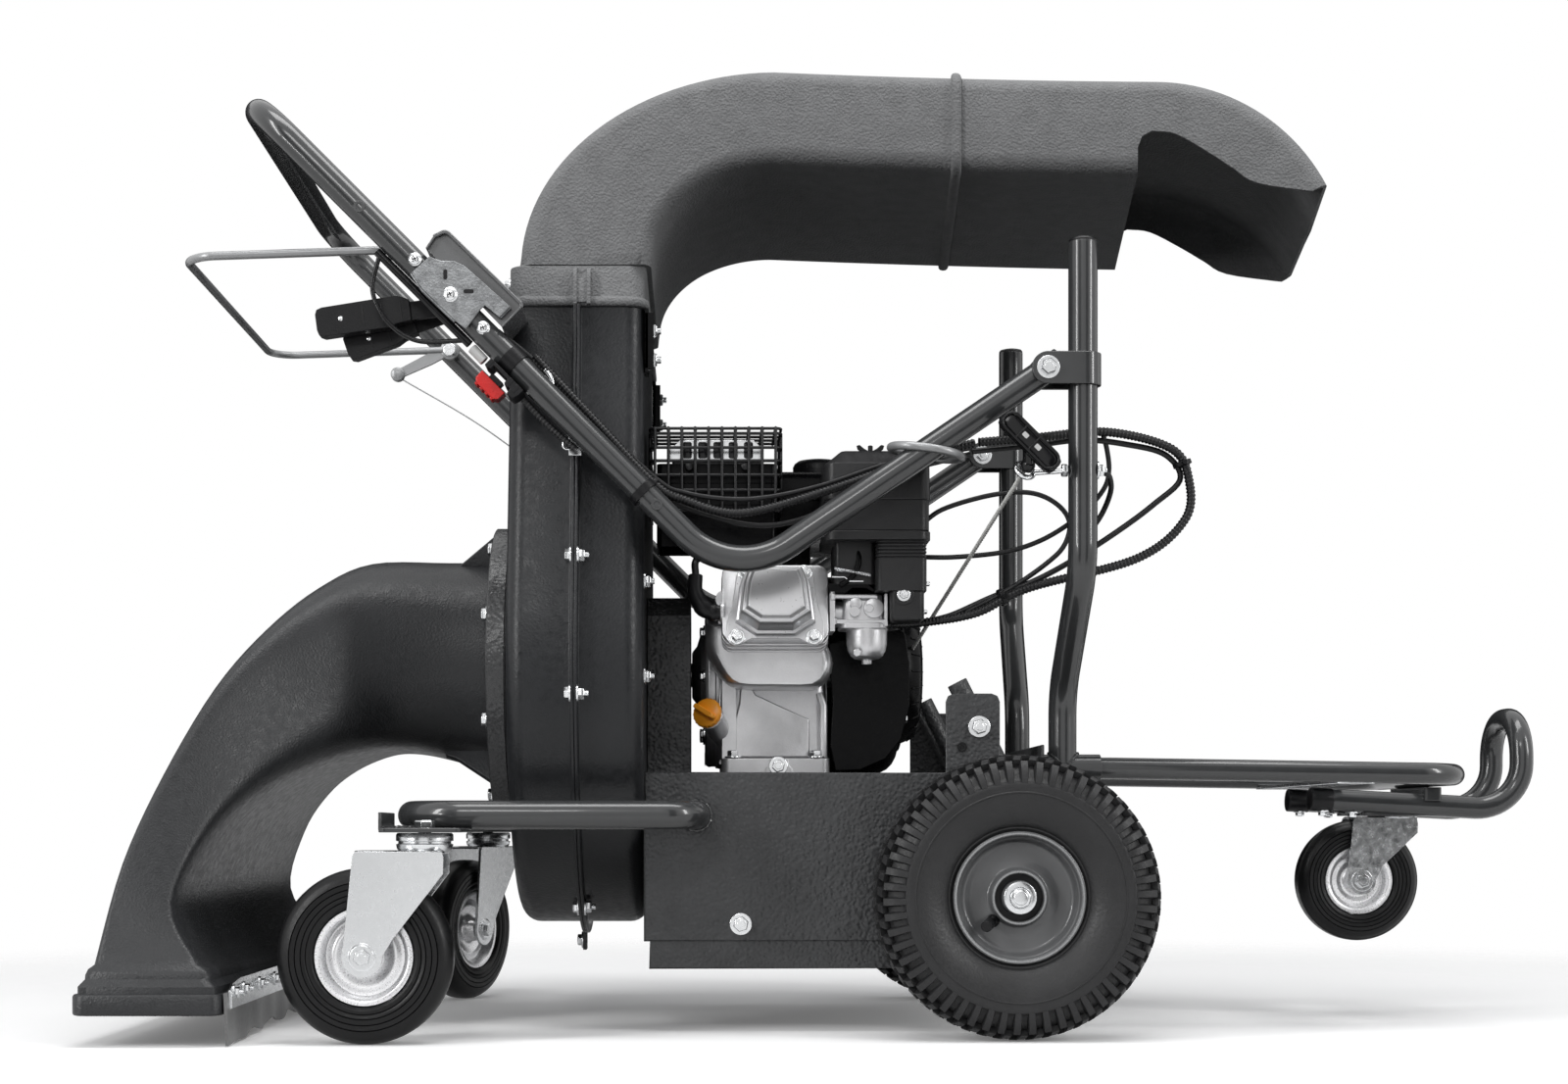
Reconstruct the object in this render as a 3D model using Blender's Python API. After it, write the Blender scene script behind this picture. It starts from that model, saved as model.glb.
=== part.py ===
"""Walk-behind leaf vacuum: front nozzle, impeller housing, engine, discharge duct and bag frame.

Metres, +Z up, +X to the rear (nozzle at -X, bag frame at +X), -Y is the operator's near side.
The origin lies on the ground under the middle of the whole machine.
"""

import math

import bmesh
import bpy
from mathutils import Matrix, Vector

for old in list(bpy.data.objects):
    bpy.data.objects.remove(old)

# Running gap between pieces that touch or turn in each other
GAP = 0.0003

# Impeller and crankshaft line, which runs along X at Y = 0
CRANK_Z = 0.355
SHAFT_R = 0.0125

# Impeller housing: two pressed shells that meet at a bolted seam
HOUSING_SEAM_X = -0.262
HOUSING_FRONT_DEPTH = 0.065
HOUSING_REAR_DEPTH = 0.064
HOUSING_R = 0.2555
HOUSING_SHEET = 0.003
HOUSING_EDGE_R = 0.018
HOUSING_FLANGE = 0.012
NECK_HALF = 0.198
NECK_Z = 0.660
HOUSING_TOP_Z = 0.694
INLET_R = 0.108
HUB_HOLE_R = 0.034

# Impeller
IMPELLER_R = 0.205
IMPELLER_BLADES = 6
BLADE_DEPTH = 0.070
BLADE_SHEET = 0.004
BACKPLATE_SHEET = 0.005

# Suction nozzle: a wide flat mouth that bends into a round inlet
NOZZLE_WALL = 0.004
NOZZLE_FLANGE_R = 0.150
NOZZLE_FLANGE_T = 0.012
MOUTH_FRONT_X = -0.706
MOUTH_REAR_X = -0.571
MOUTH_HALF = 0.350
MOUTH_BOTTOM_Z = 0.028
MOUTH_LIP_H = 0.026

# Discharge duct: elbow over the housing, then a straight run that ends in a hood
DUCT_WALL = 0.004
DUCT_HALF = 0.198
DUCT_CORNER_R = 0.016
ELBOW_START_Z = 0.7337
ELBOW_END_X = -0.070
ELBOW_TOP_Z = 0.9220
ELBOW_BOTTOM_Z = 0.833
ELBOW_THROAT_Z = 0.745
DUCT_FALL = 0.048
DUCT_SWEEP = 0.14
DUCT_JOINT_X = 0.108
DUCT_RIB_W = 0.011
DUCT_RIB_H = 0.005
HOOD_START_X = 0.3114
HOOD_R = 0.195
HOOD_TURN = math.radians(60)
FLOOR_END_X = 0.2947

# Frame tubes
TUBE_R = 0.0135
TUBE_WALL = 0.002
HANDLE_R = 0.0125
HANDLE_HALF = 0.250
UPRIGHT_X = 0.2125
UPRIGHT_TOP_Z = 0.742
UPRIGHT_FOOT_HALF = 0.160
UPRIGHT_LEAN = 0.005
UPRIGHT_BEND_TOP_Z = 0.438
UPRIGHT_BEND_LOW_Z = 0.328
RAIL_Z = 0.2540
SOCKET_END_X = 0.2436
BUMPER_Z = 0.208
BUMPER_FRONT_X = -0.418
BUMPER_HALF = 0.262
BUMPER_BEND_R = 0.055
BUMPER_END_X = -0.135

# Bag frame and rear loop
BAG_TUBE_R = 0.0105
BAG_END_X = 0.6000
BAG_BEND_R = 0.045
BAG_SOCKET_DEPTH = 0.035
LOOP_TUBE_R = 0.0115
LOOP_HALF = 0.045
LOOP_START_X = 0.480
LOOP_START_Z = 0.2258
LOOP_LOW_Z = 0.2145
LOOP_TOP_Z = 0.3090
LOOP_REAR_X = 0.706

# Base tray of folded sheet under the engine
TRAY_REAR_X = 0.186
TRAY_HALF = 0.190
TRAY_TOP_Z = 0.249
TRAY_FOLD_Z = 0.088
TRAY_BOTTOM_Z = 0.0615
TRAY_SHEET = 0.003
TRAY_REAR_TOP_Z = 0.276

# Handle: pivots on the uprights, dips in front of them and rises to the grip bar
PIVOT_X = 0.1778
PIVOT_Z = 0.6226
DIP_X = -0.1139
DIP_Z = 0.4252
GRIP_X = -0.5655
GRIP_Z = 0.8767
DIP_BEND_R = 0.075
GRIP_BEND_R = 0.055
HANDLE_TAIL = 0.0168
CLAMP_SHEET = 0.003
CLAMP_H = 0.030
PIVOT_BOLT_R = 0.004

# Safety bail of round wire in front of the grip bar
BAIL_WIRE_R = 0.004
BAIL_HALF = HANDLE_HALF - 0.0235
BAIL_PIVOT_X = -0.4297
BAIL_PIVOT_Z = 0.7409
BAIL_BAR_X = -0.632
BAIL_BAR_Z = 0.7343
BAIL_BEND_R = 0.030
BAIL_EAR_R = 0.011
BAIL_EAR_T = 0.005

# Control console on the near handle tube
CONSOLE_SHEET = 0.002
LEVER_PIVOT_X = -0.376
LEVER_PIVOT_Z = 0.690
LEVER_ARM = 0.042
LEVER_GRIP = 0.090
LEVER_SHEET = 0.004
LEVER_GRIP_T = 0.016
LEVER_STEP_Y = 0.0185
LEVER_FIRST_Y = 0.0295 - HANDLE_HALF

# Main wheels
WHEEL_X = 0.148
WHEEL_R = 0.132
WHEEL_W = 0.085
WHEEL_MID_Y = 0.2625
RIM_R = 0.059
AXLE_R = 0.010
HUB_R = 0.020

# Casters
CASTER_X = -0.394
CASTER_Y = 0.312
CASTER_R = 0.080
CASTER_W = 0.040
CASTER_TRAIL = 0.053
CASTER_TOP_Z = 0.1915
FAR_CASTER_YAW = math.radians(65)
REAR_CASTER_X = 0.576
REAR_CASTER_R = 0.0625
REAR_CASTER_W = 0.032
REAR_CASTER_TRAIL = 0.038
REAR_CASTER_Z = 0.1420
REAR_CASTER_TOP_Z = 0.2085

# Engine, with its crankshaft along X
ENGINE_FRONT_X = -0.1265
ENGINE_REAR_X = -0.013
ENGINE_HALF = 0.085
ENGINE_BASE_Z = 0.2493
HEAD_TILT = math.radians(16)
FAN_REAR_X = 0.058
FAN_R = 0.102
FLYWHEEL_R = 0.085
FLYWHEEL_W = 0.030


def material(name, colour, roughness, metallic=0.0):
    """A plain Principled material."""
    made = bpy.data.materials.new(name)
    made.use_nodes = True
    shader = made.node_tree.nodes["Principled BSDF"]
    shader.inputs["Base Color"].default_value = (*colour, 1.0)
    shader.inputs["Roughness"].default_value = roughness
    shader.inputs["Metallic"].default_value = metallic
    return made


FRAME_PAINT = material("frame_paint", (0.075, 0.077, 0.080), 0.30)
SHEET_PAINT = material("sheet_paint", (0.070, 0.072, 0.075), 0.50)
HOUSING_PAINT = material("housing_paint", (0.060, 0.062, 0.065), 0.40)
DUCT_PLASTIC = material("duct_plastic", (0.065, 0.066, 0.068), 0.60)
NOZZLE_PLASTIC = material("nozzle_plastic", (0.025, 0.026, 0.028), 0.40)
BLACK_PLASTIC = material("black_plastic", (0.020, 0.020, 0.022), 0.45)
RED_PLASTIC = material("red_plastic", (0.75, 0.02, 0.02), 0.35)
ORANGE_PLASTIC = material("orange_plastic", (0.90, 0.33, 0.02), 0.40)
ZINC = material("zinc", (0.62, 0.63, 0.64), 0.35, 1.0)
CAST_ALLOY = material("cast_alloy", (0.60, 0.60, 0.61), 0.45, 1.0)
GREY_WIRE = material("grey_wire", (0.35, 0.36, 0.37), 0.35, 0.6)
BLACK_STEEL = material("black_steel", (0.030, 0.030, 0.032), 0.45, 0.5)
RIM_PAINT = material("rim_paint", (0.30, 0.31, 0.32), 0.35, 0.3)
TYRE_RUBBER = material("tyre_rubber", (0.020, 0.020, 0.021), 0.75)
SKIRT_RUBBER = material("skirt_rubber", (0.20, 0.20, 0.20), 0.70)
CABLE_SHEATH = material("cable_sheath", (0.015, 0.015, 0.016), 0.50)
ROPE = material("rope", (0.60, 0.60, 0.58), 0.80)


def closed(bm):
    """Merges doubled vertices and turns all faces outwards."""
    bmesh.ops.remove_doubles(bm, verts=bm.verts, dist=1e-7)
    wires = [e for e in bm.edges if not e.link_faces]
    bmesh.ops.delete(bm, geom=wires, context="EDGES")
    bmesh.ops.recalc_face_normals(bm, faces=bm.faces)
    return bm


def loft(loops, ring=False):
    """Joins closed loops of equal length in turn; caps the ends, or joins last to first."""
    bm = bmesh.new()
    rows = [[bm.verts.new(p) for p in loop] for loop in loops]
    count = len(rows[0])
    pairs = list(zip(rows, rows[1:]))
    if ring:
        pairs.append((rows[-1], rows[0]))
    for low, high in pairs:
        for i in range(count):
            j = (i + 1) % count
            bm.faces.new((low[i], low[j], high[j], high[i]))
    if not ring:
        bm.faces.new(list(reversed(rows[0])))
        bm.faces.new(rows[-1])
    return closed(bm)


AXES = {"X": (0, 1, 2), "Y": (1, 0, 2), "Z": (2, 0, 1)}


def on_axis(axis, along, first, second):
    """The point at `along` on the axis and (first, second) on the other two, in X, Y, Z order."""
    place = AXES[axis]
    point = [0.0, 0.0, 0.0]
    point[place[0]] = along
    point[place[1]] = first
    point[place[2]] = second
    return tuple(point)


def prism(outline, axis, start, end):
    """An outline of two-coordinate points, extruded along an axis."""
    return loft([[on_axis(axis, a, *p) for p in outline] for a in (start, end)])


def box(x0, x1, y0, y1, z0, z1):
    """A block between two corners."""
    return prism([(x0, y0), (x1, y0), (x1, y1), (x0, y1)], "Z", z0, z1)


def turned(profile, axis, centre, segments=20):
    """Revolves (along, radius) points about a line through `centre` parallel to an axis."""
    loops = []
    for along, radius in profile:
        loop = []
        for i in range(segments):
            turn = 2 * math.pi * i / segments
            first = radius * math.cos(turn)
            second = radius * math.sin(turn)
            offset = Vector(on_axis(axis, along, first, second))
            loop.append(Vector(centre) + offset)
        loops.append(loop)
    bm = bmesh.new()
    rows = [[bm.verts.new(p) for p in loop] for loop in loops]
    for k, row in enumerate(rows):
        after = rows[(k + 1) % len(rows)]
        for i in range(segments):
            j = (i + 1) % segments
            bm.faces.new((row[i], row[j], after[j], after[i]))
    flat = [f for f in bm.faces if f.calc_area() < 1e-12]
    bmesh.ops.delete(bm, geom=flat, context="FACES_ONLY")
    bmesh.ops.dissolve_degenerate(bm, edges=bm.edges, dist=1e-8)
    return closed(bm)


def disc(axis, centre, start, end, radius, segments=20):
    """A plain cylinder along an axis, from start to end, counted from the centre."""
    outline = []
    place = AXES[axis]
    for i in range(segments):
        turn = 2 * math.pi * (i + 0.5) / segments
        first = centre[place[1]] + radius * math.cos(turn)
        second = centre[place[2]] + radius * math.sin(turn)
        outline.append((first, second))
    middle = centre[place[0]]
    return prism(outline, axis, middle + start, middle + end)


def hexagon(axis, centre, start, end, across):
    """A hexagonal head or nut, `across` its flats."""
    return disc(axis, centre, start, end, across / math.sqrt(3), 6)


def bolt_head(axis, centre, sign, across=0.013, height=0.007):
    """A hexagonal head that stands out of a face by `sign`."""
    return hexagon(axis, centre, -0.001 * sign, height * sign, across)


def rounded_path(points, radius, steps=3):
    """A polyline whose inner corners are replaced by arcs of the given radius or radii."""
    points = [Vector(p) for p in points]
    radii = radius if isinstance(radius, (list, tuple)) else [radius] * (len(points) - 2)
    path = [points[0]]
    for i in range(1, len(points) - 1):
        before = (points[i - 1] - points[i]).normalized()
        after = (points[i + 1] - points[i]).normalized()
        half = before.angle(after) / 2
        reach = radii[i - 1] / math.tan(half)
        middle = (before + after).normalized()
        centre = points[i] + middle * (radii[i - 1] / math.sin(half))
        first = points[i] + before * reach - centre
        last = points[i] + after * reach - centre
        for k in range(steps + 1):
            path.append(centre + first.slerp(last, k / steps).normalized() * radii[i - 1])
    path.append(points[-1])
    return path


def smooth_path(points, count):
    """Points read evenly from a Catmull-Rom curve through the given points."""
    points = [Vector(p) for p in points]
    ends = [2 * points[0] - points[1]] + points + [2 * points[-1] - points[-2]]
    path = []
    spans = len(points) - 1
    for n in range(count + 1):
        place = min(n * spans / count, spans - 1e-9)
        i = int(place)
        t = place - i
        a, b, c, d = ends[i:i + 4]
        curve = (2 * b + (c - a) * t + (2 * a - 5 * b + 4 * c - d) * t * t
                 + (3 * b - a - 3 * c + d) * t ** 3)
        path.append(curve / 2)
    return path


def sweep_loops(path, radius, segments, turn=0.0):
    """Circles of the given radius across a path, without twist."""
    path = [Vector(p) for p in path]
    loops = []
    side = None
    for i, point in enumerate(path):
        back = (point - path[i - 1]).normalized() if i else None
        ahead = (path[i + 1] - point).normalized() if i < len(path) - 1 else None
        along = ((back or ahead) + (ahead or back)).normalized()
        if side is None:
            side = along.orthogonal().normalized()
            if abs(along.y) < 0.9:
                side = along.cross(Vector((0, 1, 0))).normalized()
        side = (side - along * side.dot(along)).normalized()
        up = along.cross(side)
        stretch = 1.0
        if back and ahead:
            stretch = 1.0 / math.cos(back.angle(ahead) / 2)
            bend = (ahead - back)
        loop = []
        for k in range(segments):
            angle = 2 * math.pi * k / segments + turn
            offset = side * math.cos(angle) + up * math.sin(angle)
            if stretch > 1.0001:
                inward = bend.normalized()
                offset += inward * offset.dot(inward) * (stretch - 1)
            loop.append(point + offset * radius)
        loops.append(loop)
    return loops


def rod(path, radius, segments=10):
    """A solid round bar along a path."""
    return loft(sweep_loops(path, radius, segments))


def tube(path, radius, wall, segments=10):
    """A tube along a path, open at both ends."""
    outer = sweep_loops(path, radius, segments)
    inner = sweep_loops(path, radius - wall, segments)
    return loft(outer + inner[::-1], ring=True)


def moved(bm, matrix):
    """The same mesh, moved."""
    bmesh.ops.transform(bm, matrix=matrix, verts=bm.verts)
    return closed(bm)


def helper(bm):
    """A hidden object that holds a mesh for a Boolean."""
    mesh = bpy.data.meshes.new("helper")
    bm.to_mesh(mesh)
    made = bpy.data.objects.new("helper", mesh)
    bpy.context.scene.collection.objects.link(made)
    made.hide_render = True
    made.display_type = "WIRE"
    return made


def boolean(base, others, operation):
    """Applies one Boolean after another and returns the result as a new mesh."""
    target = helper(base)
    tools = [helper(other) for other in others]
    for tool in tools:
        step = target.modifiers.new("boolean", "BOOLEAN")
        step.operation = operation
        step.solver = "EXACT"
        step.object = tool
    bpy.context.view_layer.update()
    graph = bpy.context.evaluated_depsgraph_get()
    mesh = bpy.data.meshes.new_from_object(target.evaluated_get(graph))
    result = bmesh.new()
    result.from_mesh(mesh)
    for used in [target] + tools:
        bpy.data.objects.remove(used)
    return closed(result)


def join(base, *others):
    """The union of meshes that overlap clearly."""
    return boolean(base, others, "UNION")


def cut(base, *others):
    """The first mesh without the others."""
    return boolean(base, others, "DIFFERENCE")


def joint_empty(name, place):
    """An empty on a joint's axis."""
    made = bpy.data.objects.new(name, None)
    made.empty_display_size = 0.05
    made.location = place
    bpy.context.scene.collection.objects.link(made)
    return made


def add(name, bm, finish, carrier=None):
    """Makes the named piece; a moving one hangs on its joint's empty."""
    origin = Vector(carrier.location) if carrier else Vector((0, 0, 0))
    bmesh.ops.translate(bm, vec=-origin, verts=bm.verts)
    mesh = bpy.data.meshes.new(name)
    bm.to_mesh(mesh)
    bm.free()
    mesh.shade_smooth()
    mesh.set_sharp_from_angle(angle=math.radians(35))
    mesh.materials.append(finish)
    made = bpy.data.objects.new(name, mesh)
    bpy.context.scene.collection.objects.link(made)
    if carrier:
        made.parent = carrier
    return made


# Impeller housing

SEAM_BOLT_Z = (0.677, 0.451, 0.321, 0.118)
SEAM_BOLT_ACROSS = 0.010
HOUSING_ARC_STEPS = 20


def housing_outline(offset, top):
    """The scroll's outline in Y and Z: a circle drawn up into the straight neck."""
    radius = HOUSING_R + offset
    half = NECK_HALF + offset
    rise = NECK_Z - CRANK_Z
    touch = math.atan2(rise, half) - math.acos(radius / math.hypot(half, rise))
    points = []
    for i in range(HOUSING_ARC_STEPS + 1):
        turn = touch - i * (math.pi + 2 * touch) / HOUSING_ARC_STEPS
        points.append((radius * math.cos(turn), CRANK_Z + radius * math.sin(turn)))
    points += [(-half, NECK_Z), (-half, top), (half, top), (half, NECK_Z)]
    return points


def seam_point(z):
    """Half the width of the seam flange's middle line at a height."""
    points = housing_outline(HOUSING_FLANGE * 0.55, HOUSING_TOP_Z)
    right = [p for p in points if p[0] >= 0]
    right.sort(key=lambda p: p[1])
    for low, high in zip(right, right[1:]):
        if low[1] <= z <= high[1]:
            share = (z - low[1]) / max(high[1] - low[1], 1e-9)
            return low[0] + (high[0] - low[0]) * share
    return right[0][0]


def housing_shell(sign, depth):
    """One pressed shell, open at the seam and at the top of the neck."""
    spare_top = HOUSING_TOP_Z + 0.05
    seam = HOUSING_SEAM_X + sign * GAP / 2
    face = HOUSING_SEAM_X + sign * depth
    sheet = HOUSING_SHEET
    edge = HOUSING_EDGE_R
    inner_edge = edge - sheet

    def row(offset, x):
        return [(x, *p) for p in housing_outline(offset, spare_top)]

    def corner(radius, base, share):
        turn = share * math.pi / 2
        return row(base - radius * (1 - math.cos(turn)),
                   face - sign * (sheet if radius == inner_edge else 0)
                   - sign * radius * (1 - math.sin(turn)))

    loops = [corner(inner_edge, -sheet, s) for s in (1.0, 0.5, 0.0)]
    loops += [row(-sheet, seam), row(HOUSING_FLANGE, seam)]
    loops += [row(HOUSING_FLANGE, seam + sign * sheet), row(0, seam + sign * sheet)]
    loops += [corner(edge, 0, s) for s in (0.0, 0.33, 0.67, 1.0)]
    shell = loft(loops)
    wide = HOUSING_R * 2
    return cut(shell, box(face - 0.2, face + 0.2, -wide, wide, HOUSING_TOP_Z, spare_top + 0.1))


def seam_hexes(sign):
    """The bolt heads or nuts on one side of the seam flange."""
    start = HOUSING_SEAM_X + sign * (GAP / 2 + HOUSING_SHEET - 0.001)
    end = start + sign * 0.008
    hexes = []
    for z in SEAM_BOLT_Z:
        y = seam_point(z)
        for side in (-1, 1):
            centre = (0, side * y, z)
            hexes.append(hexagon("X", centre, start, end, SEAM_BOLT_ACROSS))
    return hexes


def housing():
    """Both shells, with the inlet eye in front and the shaft hole behind."""
    front_face = HOUSING_SEAM_X - HOUSING_FRONT_DEPTH
    rear_face = HOUSING_SEAM_X + HOUSING_REAR_DEPTH
    centre = (0, 0, CRANK_Z)
    low = CRANK_Z - HOUSING_R
    lug = box(HOUSING_SEAM_X - 0.004, HOUSING_SEAM_X - GAP / 2, -0.011, 0.011,
              low - 0.030, low + 0.002)
    front = join(housing_shell(-1, HOUSING_FRONT_DEPTH), lug, *seam_hexes(-1))
    eye = disc("X", centre, front_face - 0.02, front_face + 0.02, INLET_R, 32)
    add("housing_front_shell", cut(front, eye), HOUSING_PAINT)
    rear = join(housing_shell(1, HOUSING_REAR_DEPTH), *seam_hexes(1))
    hub_hole = disc("X", centre, rear_face - 0.02, rear_face + 0.02, HUB_HOLE_R, 24)
    add("housing_rear_shell", cut(rear, hub_hole), HOUSING_PAINT)


# Suction nozzle

# Front point, rear point and half width of each cross-section, from the mouth to the inlet
NOZZLE_STATIONS = (
    ((-0.706, 0.028), (-0.571, 0.028), 0.350, 40),
    ((-0.706, 0.054), (-0.571, 0.054), 0.350, 40),
    ((-0.697, 0.060), (-0.583, 0.060), 0.340, 34),
    ((-0.691, 0.073), (-0.592, 0.073), 0.333, 26),
    ((-0.673, 0.165), (-0.622, 0.125), 0.305, 16),
    ((-0.646, 0.248), (-0.598, 0.190), 0.266, 11),
    ((-0.609, 0.333), (-0.561, 0.232), 0.222, 8),
    ((-0.570, 0.394), (-0.520, 0.257), 0.184, 5.5),
    ((-0.527, 0.440), (-0.474, 0.272), 0.153, 3.8),
    ((-0.480, 0.468), (-0.437, 0.273), 0.128, 2.7),
    ((-0.404, 0.471), (-0.394, 0.264), 0.114, 2.1),
    ((-0.336, 0.471), (-0.336, 0.246), 0.111, 2.0),
)
NOZZLE_POINTS = 20
GUSSET_REACH = 0.056
GUSSET_SHEET = 0.006
SKIRT_T = 0.003
SKIRT_BOTTOM_Z = 0.003
SKIRT_TOP_Z = 0.050
STRIP_T = 0.002


def nozzle_section(front, rear, half, power, grow):
    """A closed superellipse across the nozzle."""
    front = Vector((front[0], 0, front[1]))
    rear = Vector((rear[0], 0, rear[1]))
    centre = (front + rear) / 2
    across = (rear - front).normalized()
    deep = (rear - front).length / 2 + grow
    wide = half + grow
    loop = []
    for i in range(NOZZLE_POINTS):
        turn = 2 * math.pi * (i + 0.5) / NOZZLE_POINTS
        c, s = math.cos(turn), math.sin(turn)
        u = math.copysign(abs(c) ** (2 / power), c) * deep
        v = math.copysign(abs(s) ** (2 / power), s) * wide
        loop.append(centre + across * u + Vector((0, v, 0)))
    return loop


def nozzle():
    """The moulded nozzle, its rear strip and the rubber skirt behind the mouth."""
    outer = [nozzle_section(*s, 0) for s in NOZZLE_STATIONS]
    inner = [nozzle_section(*s, -NOZZLE_WALL) for s in NOZZLE_STATIONS]
    body = loft(outer + inner[::-1], ring=True)
    flange_rear = HOUSING_SEAM_X - HOUSING_FRONT_DEPTH - GAP
    flange_front = flange_rear - NOZZLE_FLANGE_T
    bore = NOZZLE_STATIONS[-1][2] - NOZZLE_WALL - 0.002
    profile = [(flange_front, bore), (flange_rear, bore),
               (flange_rear, NOZZLE_FLANGE_R), (flange_front, NOZZLE_FLANGE_R)]
    flange = turned(profile, "X", (0, 0, CRANK_Z), 28)
    tube_top = NOZZLE_STATIONS[-1][0][1] - 0.004
    ribs = []
    for turn in (-55, 0, 55):
        rib = prism([(flange_front + 0.002, tube_top - 0.003),
                     (flange_front - GUSSET_REACH, tube_top - 0.003),
                     (flange_front - GUSSET_REACH, tube_top + 0.001),
                     (flange_front + 0.002, CRANK_Z + NOZZLE_FLANGE_R - 0.003)],
                    "Y", -GUSSET_SHEET / 2, GUSSET_SHEET / 2)
        about = Matrix.Translation((0, 0, CRANK_Z))
        turned_by = Matrix.Rotation(math.radians(turn), 4, "X")
        ribs.append(moved(rib, about @ turned_by @ about.inverted()))
    add("suction_nozzle", join(body, flange, *ribs), NOZZLE_PLASTIC)

    skirt_x = MOUTH_REAR_X + GAP
    strip_x = skirt_x + SKIRT_T + GAP
    half = MOUTH_HALF - 0.008
    skirt = box(skirt_x, skirt_x + SKIRT_T, -half, half, SKIRT_BOTTOM_Z, SKIRT_TOP_Z)
    add("nozzle_skirt", skirt, SKIRT_RUBBER)
    strip = box(strip_x, strip_x + STRIP_T, -half + 0.01, half - 0.01,
                MOUTH_BOTTOM_Z + 0.004, SKIRT_TOP_Z + 0.010)
    heads = []
    for i in range(5):
        y = (i - 2) * (half - 0.035) / 2
        centre = (strip_x + STRIP_T, y, MOUTH_BOTTOM_Z + 0.015)
        heads.append(hexagon("X", centre, -0.001, 0.005, 0.010))
    add("nozzle_strip", join(strip, *heads), ZINC)


# Discharge duct

# The open edge of the hood's side walls, from the end of the duct floor to the lip
HOOD_EDGE = ((0.2928, 0.8387), (0.2970, 0.8490), (0.3065, 0.8535), (0.3301, 0.8495), (0.3624, 0.8305),
             (0.3853, 0.8150), (0.4081, 0.8005), (0.4640, 0.7895))
SWEEP_FROM_X = -0.144
ELBOW_STEPS = 7
HOOD_STEPS = 6
HOOD_WALL_H = 0.075
HOOD_TILT = 0.025
BEAD_H = 0.009
BEAD_OUT = 0.004


def duct_section(outer, inner, grow):
    """A rounded rectangle between the duct's top line and its bottom line."""
    outer = Vector((outer[0], 0, outer[1]))
    inner = Vector((inner[0], 0, inner[1]))
    centre = (outer + inner) / 2
    up = (outer - inner).normalized()
    high = (outer - inner).length / 2 + grow
    wide = DUCT_HALF + grow
    radius = DUCT_CORNER_R + grow
    loop = []
    for quarter, (u, v) in enumerate(((1, 1), (-1, 1), (-1, -1), (1, -1))):
        for k in range(3):
            turn = (quarter + k / 2) * math.pi / 2
            y = u * (wide - radius) + radius * math.cos(turn)
            w = v * (high - radius) + radius * math.sin(turn)
            loop.append(centre + Vector((0, y, 0)) + up * w)
    return loop


def duct_lines(x):
    """The top and bottom of the straight run at a place along it."""
    fall = DUCT_FALL * (x - ELBOW_END_X)
    return (x, ELBOW_TOP_Z - fall), (x, ELBOW_BOTTOM_Z - fall)


def swept_aside(bm):
    """Bends the duct gently towards the near side as it runs to the rear."""
    for vert in bm.verts:
        run = max(0.0, vert.co.x - SWEEP_FROM_X)
        across = vert.co.y
        vert.co.y = across - DUCT_SWEEP * run * run
        vert.co.x += 2 * DUCT_SWEEP * run * across
    return closed(bm)


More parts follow.
